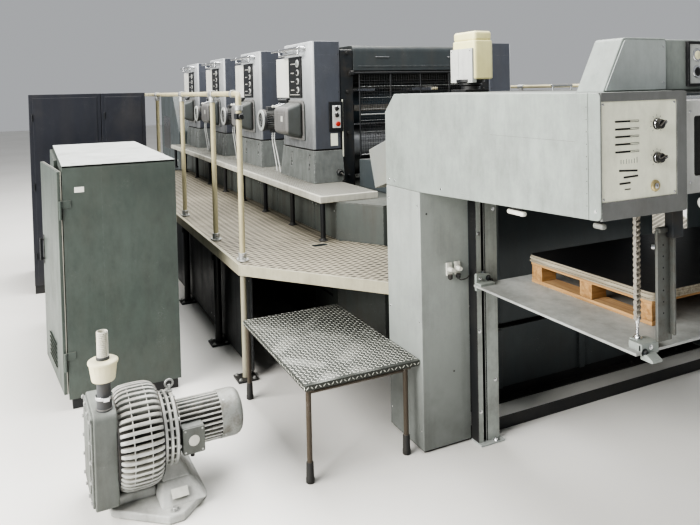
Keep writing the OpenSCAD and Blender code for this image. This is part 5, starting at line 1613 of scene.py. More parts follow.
# %% Base panels and upper steps
base_lo, base_hi = low_high("machine_base")
step_lo, step_hi = low_high("upper_steps")
BASE_Y, BASE_X0, BASE_X1, BASE_TOP = -base_lo.y, base_lo.x, base_hi.x, base_hi.z
STEP_X1, STEP_Y, STEP_Z = step_hi.x, -step_lo.y, step_hi.z
PITCH_X = low_high("unit_2_near_housing")[0].x - low_high("unit_1_near_housing")[0].x
UNIT_X = [GROUP_X1 - UNIT_LEN + PITCH_X * (k - 3) for k in range(4)]
paint("nosing_white", (0.58, 0.57, 0.50), 0.42, streaks=0.5, smudges=0.4, foot=0.0, wear=0.8, scratch=0.9,
      dirt=(0.17, 0.15, 0.12), bare=(0.26, 0.25, 0.23))


def strip_along(piece, a, b, finish, thick, low, high, radius=0.003):
    """A thin upright strip from a to b in plan, with its thickness on the left of the line."""
    run = Vector(b) - Vector(a)
    place = turn_at((*a, 0), math.atan2(run.y, run.x), "Z")
    piece.add(box((0, 0, low), (run.length, thick, high), radius), finish, place)


def make_base():
    piece = Piece("machine_base_panels", far=True)
    x0, x1, y, top = BASE_X0, BASE_X1, -BASE_Y, BASE_TOP
    # A near-black core behind the panels paints the shade in their joints.
    core = [(x0 + 0.004, y + 0.006), (STEP_X1 - 0.017, y + 0.006), (x1 - 0.006, y + 0.193), (x1 - 0.006, 0.0),
            (x0 + 0.004, 0.0)]
    piece.add(plate(core, "z", 0.0, top - 0.001, 0.0), "dark_gap")
    gaps = sorted([x0, STEP_X1 - 0.015] + [x + d for x in UNIT_X for d in (0.094, 0.890)])
    for a, b in zip(gaps, gaps[1:]):
        a, b = a + 0.004, b - 0.004
        piece.add(box((a, y, 0.104), (b, y + 0.010, top), 0.0025), "base_paint")
        if b - a < 0.592:
            # Vent slots in painted shade.
            for k in range(6):
                z = 0.30 + 0.045 * k
                piece.add(box((a + 0.08, y - 0.0002, z), (b - 0.08, y + 0.004, z + 0.020), 0.0015),
                          "dark_gap")
        for z, x in product((0.16, 0.90), (a + 0.03, b - 0.03)):
            piece.add(stud((x, y, z), -Y, -0.001, 0.0012, 0.012), "galvanised")
    piece.add(box((x0 + 0.004, y + 0.040, 0.0), (STEP_X1 - 0.040, y + 0.050, 0.104), 0.001), "skirt_paint")
    strip_along(piece, (STEP_X1 - 0.0145, y), (x1, y + 0.190), "base_paint", 0.010, 0.0, top, 0.0025)
    for y0, y1 in ((0.004, 0.199), (0.209, 0.559), (0.569, BASE_Y - 0.192)):
        piece.add(box((x1 - 0.008, -y1, 0.082), (x1, -y0, top), 0.0025), "base_paint")
    piece.add(box((x0, y + 0.004, 0.0), (x0 + 0.006, -0.004, top), 0.002), "base_paint")
    lid = [(x0, y), (STEP_X1 - 0.015, y), (x1, y + 0.190), (x1, 0.0), (x0, 0.0)]
    piece.add(plate(lid, "z", top - 0.006, top, 0.0), "base_paint")
    piece.finish("base_paint", "machine_base")


def make_steps():
    """Tread plates on a dark frame, with a light nosing folded over the outer edge and the end."""
    piece = Piece("upper_steps_treads", far=True)
    piece.at(0, -STEP_Y, STEP_Z)
    lo, hi, deep = step_lo.x, step_hi.x, 0.433
    seams = [lo] + [x + 0.990 for x in UNIT_X[:3]] + [hi - 0.024]
    for x0, x1 in zip(seams, seams[1:]):
        piece.add(box((x0 + 0.0015, 0.024, -0.007), (x1 - 0.0015, deep, -0.0012), 0.0008, 1), "step_tread")
        piece.add(box((x0 + 0.0008, 0, -0.046), (x1 - 0.0008, 0.026, 0), 0.004, 3), "nosing_white")
    piece.add(box((hi - 0.026, 0, -0.046), (hi, deep, 0), 0.004, 3), "nosing_white")
    piece.add(box((lo + 0.004, 0.006, -0.045), (hi - 0.006, deep + 0.001, -0.006), 0.001), "black_steel")
    piece.finish("step_tread", "upper_steps")


make_base()
make_steps()

# %% Gallery decks
deck_lo, deck_hi = low_high("gallery_decks")
DECK_Z, DECK_LOW, DECK_Y, DECK_X0 = deck_hi.z, deck_lo.z, -deck_lo.y, deck_lo.x
DECK_CORNER, DECK_DIAG = (GROUP_X1 + 0.896, -DECK_Y), (LEG_X0 - 0.050, -SIDE_Y + 0.032)
RAIL_Y, RAIL_Z = DECK_Y - 0.052, DECK_Z + 0.992
rail_feet = [Vector((GROUP_X1 + d, -RAIL_Y, 0)) for d in (0.810, 0.180, -0.830, -1.998, -3.227, -3.826)]
HOLE_X, HOLE_Y, EDGE = DECK_CORNER[0] - 0.239, -BASE_Y - 0.219, 0.022
PLATE_LOW, PLATE_HIGH = DECK_Z - 0.007, DECK_Z - 0.0012


def deck_plates(piece, seams):
    """Tread plates between the seams, and the end plate in strips round the hand hole."""
    front, x1, x2, turn_x = -DECK_Y + EDGE, HOLE_X + 0.068, DECK_DIAG[0] - 0.018, -BASE_Y + 0.190
    for a, b in zip(seams, seams[1:]):
        corners = (a + 0.0015, front, PLATE_LOW), (b - 0.0015, -BASE_Y, PLATE_HIGH)
        piece.add(box(*corners, 0.0008, 1), "deck_tread")
    for part in (oblong((seams[-1] + 0.0015, front), (HOLE_X, -BASE_Y)),
                 oblong((HOLE_X, front), (x1, HOLE_Y)),
                 [(HOLE_X, HOLE_Y + 0.112), (x1, HOLE_Y + 0.112), (x1, -0.976), (HOLE_X, -1.008)],
                 [(x1, front), (DECK_CORNER[0] - 0.004, front), (x2, DECK_DIAG[1] + 0.008), (x2, turn_x),
                  (BASE_X1, turn_x), (x1, -0.970)]):
        piece.add(plate(part, "z", PLATE_LOW, PLATE_HIGH, 0.0), "deck_tread")
    hole, inner, outer = [oblong((HOLE_X - d, HOLE_Y - d), (HOLE_X + 0.068 + d, HOLE_Y + 0.112 + d),
                                 0.016 + r)
                          for d, r in ((0, 0), (-0.004, -0.004), (0.005, 0.004))]
    piece.add(ring_plate(outer, inner, "z", DECK_Z - 0.004, DECK_Z + 0.0002, 0.0008), "cream_edge")
    piece.add(ring_plate(hole, inner, "z", DECK_LOW + 0.002, DECK_Z - 0.002, 0.0), "cover_dark")


def make_decks():
    piece = Piece("gallery_decks_treads", far=True)
    seams = [DECK_X0] + [x + 0.35 for x in UNIT_X] + [HOLE_X - 0.12]
    deck_plates(piece, seams)
    # Front edge channel in cream, the slanted end, and the return at the leg
    stops = seams[:-1] + [DECK_CORNER[0]]
    for a, b in zip(stops, stops[1:]):
        corners = (a + 0.0008, -DECK_Y, DECK_LOW), (b - 0.0008, -DECK_Y + EDGE + 0.002, DECK_Z)
        piece.add(box(*corners, 0.0035, 3), "cream_edge")
    strip_along(piece, DECK_CORNER, DECK_DIAG, "cream_edge", 0.016, DECK_LOW, DECK_Z)
    strip_along(piece, DECK_DIAG, (DECK_DIAG[0], -BASE_Y + 0.190), "cream_edge", 0.016, DECK_LOW, DECK_Z)
    piece.add(box((DECK_X0, -DECK_Y, DECK_LOW), (DECK_X0 + 0.016, -BASE_Y, DECK_Z), 0.003), "cream_edge")
    # Bearers under the plates
    for x in [DECK_X0 + 0.03] + [foot.x - 0.03 for foot in rail_feet] + [HOLE_X - 0.05]:
        if DECK_X0 < x < DECK_CORNER[0] - 0.06:
            corners = (x, -DECK_Y + EDGE, DECK_LOW + 0.002), (x + 0.05, -BASE_Y - 0.002, PLATE_LOW)
            piece.add(box(*corners, 0.003), "black_steel")
    for x0, x1, y in [(DECK_X0 + 0.02, DECK_CORNER[0] - 0.28, y) for y in (-1.62, -1.40, -1.16)] + [
            (DECK_CORNER[0] - 0.10, DECK_DIAG[0] - 0.02, -BASE_Y + 0.200)]:
        piece.add(box((x0, y, DECK_LOW + 0.006), (x1, y + 0.04, PLATE_LOW), 0.003), "black_steel")
    piece.finish("deck_tread", "gallery_decks")


make_decks()


# %% Deck legs, step posts and skirts
def make_deck_frames():
    piece = Piece("deck_frames_legs", far=True)
    collar = [(0.022, 0), (0.034, 0), (0.034, 0.034), (0.031, 0.038), (0.022, 0.038)]
    flange = [(0.016, 0), (0.032, 0), (0.032, 0.005), (0.022, 0.008), (0.019, 0.016), (0.016, 0.016)]
    for k, foot in enumerate(rail_feet):
        piece.at(foot.x, foot.y, 0)
        finish = "black_steel" if k else "cream_edge"
        piece.add(bar((0, 0, 0.010), (0, 0, DECK_LOW - 0.002), 0.048 if k else 0.037, 28), finish)
        if k:
            piece.add(spun(collar, (0, 0, DECK_LOW - 0.070), Z, 28), finish)
        piece.add(box((-0.060, -0.060, 0), (0.060, 0.060, 0.012), 0.002), "black_steel")
        piece.add(box((-0.044, -0.044, DECK_LOW - 0.008), (0.044, 0.036, DECK_LOW), 0.0015), "black_steel")
        for x, y in product((-0.042, 0.042), repeat=2):
            piece.add(bolt((x, y, 0.012), Z, 0.015, 0.009), "galvanised")
    piece.at()
    for x in [u + d for u in UNIT_X for d in (0.020, 0.656)] + [STEP_X1 - 0.026]:
        y = -STEP_Y + (0.026 if x > STEP_X1 - 0.03 else 0.040)
        piece.add(bar((x, y, DECK_Z), (x, y, BASE_TOP), 0.034, 20), "black_steel")
        piece.add(spun(flange, (x, y, DECK_Z), Z, 24), "black_steel")
    piece.finish("black_steel", "deck_frames")


def make_skirts():
    piece = Piece("deck_skirts_panels", far=True)
    lo, hi = low_high("deck_skirts")
    edges = [lo.x + (hi.x - lo.x) * k / 5 for k in range(6)]
    for x0, x1 in zip(edges, edges[1:]):
        piece.add(box((x0 + 0.002, lo.y, lo.z), (x1 - 0.002, lo.y + 0.008, hi.z), 0.002), "skirt_paint")
        for z, x in product((0.10, 0.58), (x0 + 0.04, x1 - 0.04)):
            piece.add(stud((x, lo.y, z), -Y, -0.001, 0.0012, 0.011), "galvanised")
    # A near-black sheet behind the panels paints the shade in their joints.
    piece.add(box((lo.x, lo.y + 0.006, lo.z + 0.01), (hi.x, lo.y + 0.010, hi.z), 0.0), "dark_gap")
    piece.finish("skirt_paint", "deck_skirts")


make_deck_frames()
make_skirts()

# %% [markdown]
# ## Handrail
#
# The rail is clamped from pipe and fittings: cream pipes, galvanised tees with
# set screws, an elbow that closes the near end, and oval bolted flanges on the
# deck's edge.

# %% Posts, fittings and rails
def pipe_collar(piece, length, at, towards=Z):
    profile = [(0.0171, 0), (0.0225, 0), (0.024, 0.0015), (0.024, length - 0.0015), (0.0225, length),
               (0.0171, length)]
    piece.add(spun(profile, at, towards, 28), "galvanised")


def set_screw(piece, at, towards=X):
    profile = [(0, 0), (0.0065, 0), (0.0065, 0.003), (0.005, 0.0045), (0.0025, 0.0045), (0.0025, 0.003),
               (0, 0.003)]
    piece.add(spun(profile, at, towards, 12), "steel_bar")


def make_posts_and_rails():
    piece = Piece("handrail_posts_fittings", far=True)
    turns = [math.tau * t / 28 for t in range(28)]
    oval = [(0.055 * math.cos(turn), 0.034 * math.sin(turn)) for turn in turns]
    rail = RAIL_Z - DECK_Z
    for k, foot in enumerate(rail_feet):
        piece.at(foot.x, foot.y, DECK_Z)
        piece.add(bar((0, 0, 0.001), (0, 0, rail - (0.010 if k else 0.060)), 0.034, 24), "rail_paint")
        piece.add(plate(oval, "z", 0, 0.010, 0.0025), "galvanised")
        pipe_collar(piece, 0.037, (0, 0, 0.009))
        for x in (-0.041, 0.041):
            piece.add(bolt((x, 0, 0.010), Z, 0.014, 0.008), "galvanised")
        set_screw(piece, (0.0235, 0, 0.030))
        if k:
            pipe_collar(piece, 0.040, (0, 0, rail - 0.056))
            pipe_collar(piece, 0.084, (-0.042, 0, rail), X)
            set_screw(piece, (0.0235, 0, rail - 0.038))
            set_screw(piece, (0.026, -0.0235, rail), -Y)
    # Elbow at the near end, with a clamp and its knob further down the post
    piece.at(rail_feet[0].x, rail_feet[0].y, RAIL_Z)
    piece.add(bent_tube([(0, 0, -0.070), (0, 0, 0), (-0.070, 0, 0)], 0.0345, 20, 0.055), "rail_paint")
    pipe_collar(piece, 0.034, (-0.098, 0, 0), -X)
    pipe_collar(piece, 0.030, (0, 0, -0.098))
    piece.add(box((-0.026, -0.024, -0.150), (0.026, 0.024, -0.115), 0.006, 3), "black_steel")
    knob = [(0, 0), (0.006, 0), (0.006, 0.014), (0.015, 0.017), (0.015, 0.030), (0.012, 0.033), (0, 0.033)]
    piece.add(spun(knob, (0.024, 0, -0.132), X, 20), "knob_black")
    piece.finish("rail_paint", "handrail_posts")


def make_rails():
    """Pipes run from fitting to fitting, so each length has its own small joint."""
    piece = Piece("handrail_rails_pipes", far=True)
    stops = [rail_feet[0].x - 0.060] + [foot.x for foot in rail_feet[1:]] + [low_high("handrail_rails")[0].x]
    for a, b in zip(stops, stops[1:]):
        ends = (b + 0.0004, -RAIL_Y, RAIL_Z), (a - 0.0004, -RAIL_Y, RAIL_Z)
        piece.add(bar(*ends, 0.0336, 24, 0.002), "rail_paint")
    piece.finish("rail_paint", "handrail_rails")


make_posts_and_rails()
make_rails()

# %% [markdown]
# ## Printing units
#
# The four units are alike, so each shape is written once and placed at every
# unit. A housing is a tall rounded box whose skirt flares to the step. The
# skirt's skin has two clamp pockets, made as two frames side by side over a
# body that is set back. On the operator's side hang a key strip, a lever
# bracket, a rounded drive cover and a grab rail. The faces of housings and
# drive covers towards that side take lighter copies of their paint, which
# paint the light from that side.

# %% Housings
# A lighter copy of the housing paint for the faces towards the operator's side: painted light from that side,
# fading darker towards the skirt as a painted reflection.
paint("housing_front", (0.60, 0.62, 0.63), 0.30, streaks=0.35, smudges=0.35, foot=0.0, scratch=0.6,
      dirt=(0.10, 0.10, 0.10), shade_by_height=(1.32, 2.02, 0.20), mottle=0.75)
# Its light worn edges are partly wear and partly a painted highlight along the skirt's corners.
paint("skirt_grey", (0.19, 0.203, 0.194), 0.38, streaks=0.6, smudges=0.6, foot=0.0, wear=1.0, scratch=0.9,
      mottle=1.0, dirt=(0.05, 0.05, 0.045), bare=(0.55, 0.56, 0.54), width=0.007)
# A lighter copy of the drive cover paint for faces towards the operator's side: painted light from that side.
paint("drive_front", (0.23, 0.225, 0.22), 0.40, smudges=0.4, foot=0.0)
# A light grey for the knobs' rings and the fan conduits; on the drive covers' edge strips it is a painted
# highlight.
paint("rim_light", (0.55, 0.56, 0.54), 0.36, wear=0.4, foot=0.0)
TOWER_Y, FRAME_Y, INNER_Y, SKIRT_TOP, TOWER_TOP = 0.945, 0.705, 0.595, 1.255, 2.090


def skirt_skin(piece, x0, x1, hole_x, joint):
    """Half of a skirt's front skin, leaning inwards to the joint, with one pocket in it."""
    rise, out = SKIRT_TOP - STEP_Z, FLARE * 0.4
    low, high, tall = 1.103 - STEP_Z, 1.225 - STEP_Z, math.hypot(out, rise)
    outline = [(x0, 0.0), (x1, 0.0), (x1 if x1 == joint else x1 - FLARE, tall),
               (x0 if x0 == joint else x0 + FLARE, tall)]
    hole = oblong((hole_x, low), (hole_x + 0.030, high))
    place = turn_at((0, -TOWER_Y - out, STEP_Z), -math.atan2(out, rise), "X")
    piece.add(ring_plate(outline, hole, "y", 0.0, 0.012, 0.0016), "skirt_grey", place)
    # The pocket's floor in painted shade.
    piece.add(box((hole_x, 0.010, low), (hole_x + 0.030, 0.0125, high), 0.0), "dark_gap", place)
    piece.add(bolt((hole_x + 0.015, 0.010, low + 0.022), -Y, 0.013, 0.006), "galvanised", place)
    clamp = (hole_x + 0.009, 0.001, low + 0.050), (hole_x + 0.021, 0.011, high - 0.012)
    piece.add(box(*clamp, 0.002), "galvanised", place)


def make_housing(index, side):
    name = "unit_%d_%s_housing" % (index + 1, side)
    piece = Piece(name + "_sheet")
    x0, x1, front, notch_z = UNIT_X[index], UNIT_X[index] + UNIT_LEN, -TOWER_Y, TOWER_TOP - 0.105
    full = oblong((x0, front), (x1, -FRAME_Y), 0.030)
    cut = rounded([(x0 + 0.075, front), (x1, front), (x1, -FRAME_Y), (x0, -FRAME_Y), (x0, front + 0.090),
                   (x0 + 0.075, front + 0.090)], [0.012, 0.030, 0.030, 0.030, 0.012, 0.0])
    # Faces towards the operator's side take the lighter copy of the paint: painted light.
    body = plate(full, "z", SKIRT_TOP + 0.010, notch_z, 0.004, 3, only=SKIRT_TOP + 0.010)
    piece.add(body, "housing_paint", outward="housing_front")
    piece.add(plate(cut, "z", notch_z, TOWER_TOP, 0.008, 3, only=TOWER_TOP), "housing_paint",
              outward="housing_front")
    # A near-black strip in the joint under the tower is painted shade.
    gap = (x0 + 0.012, front + 0.012, SKIRT_TOP - 0.002), (x1 - 0.012, -FRAME_Y, SKIRT_TOP + 0.012)
    piece.add(box(*gap, 0.0), "dark_gap")
    piece.add(tapered((x0 - FLARE, front + 0.011 - FLARE * 0.4, STEP_Z), (x1 + FLARE, -FRAME_Y, SKIRT_TOP),
                      (x0, front + 0.011), (x1, -FRAME_Y), 0.003), "skirt_grey")
    middle = (x0 + x1) / 2
    skirt_skin(piece, x0 - FLARE, middle, x0 + 0.198, middle)
    skirt_skin(piece, middle, x1 + FLARE, x1 - 0.100, middle)
    # Flush screws at the rear edge of the +X face
    for z in (1.36, 1.70, 1.99):
        piece.add(stud((x1, -FRAME_Y - 0.022, z), X, 0, 0.0014, 0.010, 14, 0.0008), "frame_dark")
    if side == "far":
        piece.mirror()
        # A joint line and vent slots in painted shade.
        piece.add(box((x0 + 0.14, TOWER_Y - 0.001, 1.36), (x1 - 0.14, TOWER_Y + 0.0015, 1.362), 0.0),
                  "dark_gap")
        for k in range(9):
            z = 1.46 + 0.026 * k
            slot = (x0 + 0.20, TOWER_Y - 0.001, z), (x1 - 0.20, TOWER_Y + 0.002, z + 0.010)
            piece.add(box(*slot, 0.0008, 1), "dark_gap")
    piece.finish("housing_paint", name)


for index, side in product(range(4), SIDES):
    make_housing(index, side)


# %% Stations on the end face of the last unit
def make_station():
    """The white switch station, plates and cable that the photo shows on the last unit's end face."""
    piece = Piece("unit_4_station")
    piece.at(GROUP_X1, 0, 0)
    for low, high, radius, finish in (((0, -0.815, 1.396), (0.012, -0.700, 1.626), 0.003, "black_steel"),
                                      ((0.010, -0.790, 1.424), (0.018, -0.722, 1.598), 0.003, "guard_white"),
                                      ((0, -0.803, 1.288), (0.003, -0.744, 1.384), 0.001, "panel_cream"),
                                      ((0, -0.7045, 1.20), (0.005, -0.6960, 1.642), 0.001, "panel_cream"),
                                      ((0, -0.6955, 1.20), (0.009, -0.6740, 1.642), 0.002, "black_steel")):
        piece.add(box(low, high, radius), finish)
    button = [(0, 0), (0.018, 0), (0.018, 0.003), (0.0145, 0.006), (0.0145, 0.012), (0.012, 0.014),
              (0, 0.014)]
    ring = [(0.0175, 0), (0.0205, 0), (0.0205, 0.002), (0.0175, 0.004)]
    for z in (1.575, 1.525):
        piece.add(spun(button, (0.018, -0.756, z), X, 24), "knob_black")
        piece.add(spun(ring, (0.018, -0.756, z), X, 28), "chrome")
    mushroom = [(0, 0), (0.009, 0), (0.009, 0.014), (0.019, 0.018), (0.020, 0.024), (0.016, 0.030),
                (0, 0.032)]
    piece.add(spun(mushroom, (0.018, -0.756, 1.458), X, 28), "button_red")
    # Socket and its short cable, which goes back into the skirt
    socket = [(0, 0), (0.030, 0), (0.030, 0.008), (0.024, 0.011), (0.024, 0.030), (0.020, 0.034), (0, 0.034)]
    cable = [(0.046, -0.745, 1.080), (0.085, -0.745, 1.080), (0.085, -0.730, 1.032), (0.034, -0.722, 1.0205)]
    piece.add(spun(socket, (0.018, -0.745, 1.080), X, 28), "skirt_paint")
    piece.add(bent_tube(cable, 0.013, 12, 0.030), "rubber")
    piece.finish("key_plate")


make_station()


# %% Key strips with their plates and levers
def key_row(piece, k, z, r):
    """A round knob in its light ring, and the plain marks beside it."""
    at = (0.412, -0.014, z)
    ring = [(r * 0.62, 0), (r, 0), (r, 0.004), (r * 0.88, 0.008), (r * 0.62, 0.008)]
    cap = [(0, 0), (r * 0.67, 0), (r * 0.67, 0.009), (r * 0.5, 0.012), (0, 0.0125)]
    piece.add(spun(ring, at, -Y, 28), "rim_light")
    piece.add(spun(cap, at, -Y, 24), "knob_black" if k else "desk_grey")
    for n in range(3 if k else 4):
        x = 0.262 + 0.026 * n
        piece.add(box((x, -0.0146, z - 0.004), (x + 0.014, -0.0135, z + 0.004), 0.0), "key_plate")


def make_key_strips():
    piece = Piece("key_strips_panels")
    high = 0.325
    grip = [(0, 0), (0.007, 0.001), (0.0115, 0.006), (0.0125, 0.012), (0.0105, 0.019), (0.006, 0.0235),
            (0, 0.0245)]
    for unit_x in UNIT_X:
        piece.at(unit_x, -TOWER_Y, TOWER_TOP - 0.430)
        piece.add(box((-0.106, -0.008, 0), (0.2045, 0, high), 0.0022), "key_plate")
        piece.add(box((0.2055, -0.014, 0), (0.472, 0, high), 0.003, 3), "black_steel")
        for x, z in product((-0.094, 0.192), (0.014, high - 0.014)):
            piece.add(stud((x, -0.007, z), -Y, 0, 0.0025, 0.009, 12, 0.0007), "galvanised")
        for k, (drop, r) in enumerate(((0.056, 0.031), (0.128, 0.026), (0.196, 0.026), (0.264, 0.026))):
            key_row(piece, k, high - drop, r)
        piece.add(box((0.232, -0.0146, 0.022), (0.446, -0.0135, 0.026), 0.0), "key_plate")
        # Lever bracket under the plate
        piece.add(box((-0.020, -0.030, -0.078), (0.190, 0, -0.004), 0.005, 3), "black_steel")
        piece.add(box((-0.010, -0.036, -0.020), (0.180, -0.029, -0.010), 0.001), "chrome")
        for x, tilt in ((0.030, -0.35), (0.085, 0.15), (0.140, -0.15)):
            root, lever = Vector((x, -0.030, -0.046)), Vector((math.sin(tilt) * 0.03, -0.048, -0.022))
            piece.add(bar(root, root + lever, 0.008, 12), "chrome")
            piece.add(spun(grip, root + lever, lever, 18), "plug_white")
    piece.finish("key_plate", "key_strips")


# %% Drive covers
def make_drive_covers():
    piece = Piece("drive_covers_domes")
    wide, tall, end = 0.330, 0.313, 0.310
    lip = oblong((0, 0), (wide, tall), [0.006, 0.006, 0.060, 0.006])
    for x in UNIT_X:
        piece.at(x + 0.190, -TOWER_Y, SKIRT_TOP + 0.072)
        # Faces towards the operator's side take the lighter copy: painted light.
        piece.add(plate(lip, "y", -0.014, 0, 0.004, 3), "drive_grey", outward="drive_front")
        dome = tapered((0.020, 0.014, 0.0), (end, tall - 0.010, 0.141), (0.020, 0.060), (end, tall - 0.060),
                       0.030, 5)
        piece.add(dome, "drive_grey", turn_at((0, -0.014, 0), math.pi / 2, "X"), outward="drive_front")
        piece.add(box((0.062, -0.1568, 0.104), (wide - 0.062, -0.1546, tall - 0.100), 0.0010, 1),
                  "drive_front")
        piece.add(box((wide - 0.130, -0.1578, 0.150), (wide - 0.086, -0.1565, 0.194), 0.0006, 1),
                  "plug_white")
        for dx, z in ((0.010, 0.030), (0.010, tall - 0.030), (0.320, 0.030), (0.320, tall - 0.075)):
            piece.add(bolt((dx, -0.014, z), -Y, 0.010, 0.005, False), "galvanised")
        # Thin light strips along the lip's lower and upper edges: painted highlights.
        for z in (0.008, tall - 0.006):
            piece.add(box((0.006, -0.0150, z - 0.0015), (wide - 0.060, -0.0138, z + 0.0015), 0.0),
                      "rim_light")
    piece.finish("drive_grey", "drive_covers")


# %% Fan motors and their conduits
metal("fin_grey", (0.34, 0.35, 0.35), 0.5, stain=0.6, dust=0.4, metallic=0.3)


def fan_conduit(piece, x, y, reach, step):
    """A silver conduit that sweeps from the box down to the step, with its screwed end."""
    path = [Vector(p) for p in ((x, y, -0.100), (x + 0.010, y - 0.01, -0.17),
                                (x + reach * 0.75, y, step + 0.075),
                                (x + reach, y, step + 0.002))]
    piece.add(bent_tube(path, 0.012, 12, 0.09), "rim_light")
    for t in range(3):
        ring = [(0.0058, 0), (0.0080, 0.001), (0.0080, 0.007), (0.0058, 0.008)]
        piece.add(spun(ring, path[0].lerp(path[1], 0.2 + 0.3 * t), path[1] - path[0], 14), "galvanised")


def make_fans():
    piece = Piece("fan_motors_finned")
    rim = [(0.066, 0.0), (0.088, 0.0), (0.094, 0.004), (0.094, 0.012), (0.078, 0.012), (0.066, 0.008),
           (0.066, 0.0)]
    shroud = [(0.070, 0.010), (0.0945, 0.010), (0.095, 0.014), (0.095, 0.034), (0.078, 0.034), (0.070, 0.012)]
    barrel = [(0, 0.010), (0.064, 0.010), (0.075, 0.034), (0.075, 0.172), (0, 0.172)]
    for k, unit in enumerate(UNIT_X[:3]):
        x, z = unit + UNIT_LEN + 0.315, SKIRT_TOP + 0.208
        piece.at(x, -TOWER_Y - 0.105, z)
        for profile, sides, finish in ((rim, 40, "guard_grey"), (shroud, 40, "motor_dark"),
                                       (barrel, 36, "motor_dark")):
            piece.add(spun(profile, (0, 0, 0), Y, sides), finish)
        for r in (0.022, 0.040):
            ring = [(r - 0.0018, 0.004), (r + 0.0018, 0.004), (r + 0.0018, 0.008), (r - 0.0018, 0.008),
                    (r - 0.0018, 0.004)]
            piece.add(spun(ring, (0, 0, 0), Y, 28), "galvanised")
        for n in range(4):
            spoke = box((-0.0018, 0.004, 0.0), (0.0018, 0.008, 0.066), 0.0006, 1)
            piece.add(spoke, "galvanised", Matrix.Rotation(math.tau * n / 4 + 0.4, 4, "Y"))
        piece.add(stud((0, 0, 0), Y, 0.003, 0.011, 0.024, 18, 0.002), "motor_dark")
        for n in range(28):
            fin = box((-0.0016, 0.036, 0.070), (0.0016, 0.168, 0.0885), 0.0006, 1)
            piece.add(fin, "fin_grey", Matrix.Rotation(math.tau * n / 28, 4, "Y"))
        piece.add(box((-0.095, 0.170, -0.095), (0.095, 0.186, 0.095), 0.003), "frame_dark")
        piece.add(box((0.060, 0.170, -0.060), (UNIT_X[k + 1] - x, 0.186, 0.060), 0.003), "frame_dark")
        piece.add(box((-0.030, 0.060, 0.084), (0.030, 0.130, 0.118), 0.004), "motor_dark")
        piece.add(box((-0.026, 0.092, -0.112), (0.034, 0.140, -0.080), 0.004), "motor_dark")
        for dx, y, reach in ((0.004, 0.110, 0.098), (0.024, 0.122, 0.128)):
            fan_conduit(piece, dx, y, reach, STEP_Z - z)
    piece.finish("motor_dark", "fan_motors")


# %% Grab rails
def make_grab_rails():
    piece = Piece("grab_handles_rails")
    flange = [(0.011, 0), (0.021, 0), (0.021, 0.004), (0.014, 0.007), (0.011, 0.007)]
    sleeve = [(0.0121, 0), (0.016, 0.001), (0.016, 0.027), (0.0121, 0.028)]
    for unit_x in UNIT_X:
        piece.at(unit_x - 0.060, -TOWER_Y - 0.060, TOWER_TOP - 0.045)
        length = UNIT_LEN - 0.050
        piece.add(bar((0, 0, 0), (length, 0, 0), 0.024, 20, 0.004), "chrome")
        piece.add(bar((0.170, 0, -0.045), (length - 0.010, 0, -0.045), 0.018, 18, 0.003), "chrome")
        for x in (0.182, length - 0.022):
            piece.add(bar((x, 0, 0), (x, 0.060, 0), 0.023, 18), "chrome")
            piece.add(bar((x, 0, 0), (x, 0, -0.045), 0.0178, 16), "chrome")
            piece.add(spun(flange, (x, 0.060, 0), -Y, 24), "chrome")
            piece.add(spun(sleeve, (x - 0.014, 0, 0), X, 20), "chrome")
    piece.finish("chrome", "grab_handles")


make_key_strips()
make_drive_covers()
make_fans()
make_grab_rails()

# %% [markdown]
# ## Inside the units
#
# Behind the housings stand the cast side frames with their bearings. Plate,
# blanket and impression cylinders run between them, with form rollers above.
# The roller covers close the top. A woven wire guard hangs in front of the last
# unit and swings on its own body.

# %% Side frames with bearing caps
guard_lo, guard_hi = low_high("unit_4_guard")
ROD_X, ROD_Z = GROUP_X1 + 0.015, guard_hi.z - 0.011


def make_side_frames():
    piece = Piece("side_frames_castings", far=True)
    for x in UNIT_X:
        outline = oblong((x + 0.030, BASE_TOP), (x + UNIT_LEN - 0.012, TOWER_TOP - 0.060), 0.020)
        piece.add(plate(outline, "y", -FRAME_Y, -INNER_Y, 0.006, 3), "frame_dark")
        for z, r, dx in ((1.217, 0.150, 0.0), (1.568, 0.105, 0.040), (1.852, 0.105, -0.040)):
            cap = [(0, 0), (r, 0), (r, 0.010), (r - 0.006, 0.016), (0, 0.016)]
            piece.add(spun(cap, (x + UNIT_LEN / 2 + dx, -INNER_Y - 0.002, z), Y, 36), "steel_bar")
        for z in (1.05, 1.38, 1.70, 2.00):
            piece.add(bolt((x + UNIT_LEN - 0.012, -FRAME_Y + 0.055, z), X, 0.022, 0.012), "frame_dark")
        ends = (x + 0.080, -INNER_Y, BASE_TOP + 0.120), (x + 0.080, INNER_Y, BASE_TOP + 0.120)
        piece.add(bar(*ends, 0.060, 28, 0.004), "steel_bar", far=False)
    # Brackets that carry the guard's rod: light castings with a split eye
    eye = oblong((GROUP_X1 - 0.013, ROD_Z - 0.020), (ROD_X + 0.020, ROD_Z + 0.020), [0.0, 0.016, 0.016, 0.0])
    turns = [math.tau * t / 20 for t in range(20)]
    hole = [(ROD_X + 0.0116 * math.cos(turn), ROD_Z + 0.0116 * math.sin(turn)) for turn in turns]
    piece.add(ring_plate(eye, hole, "y", -INNER_Y - 0.040, -INNER_Y - 0.015, 0.001), "frame_dark")
    piece.finish("frame_dark", "side_frames")


make_side_frames()

# %% Cylinders and rollers
paint("blanket_blue", (0.055, 0.08, 0.10), 0.55, wear=0.0, smudges=0.6)


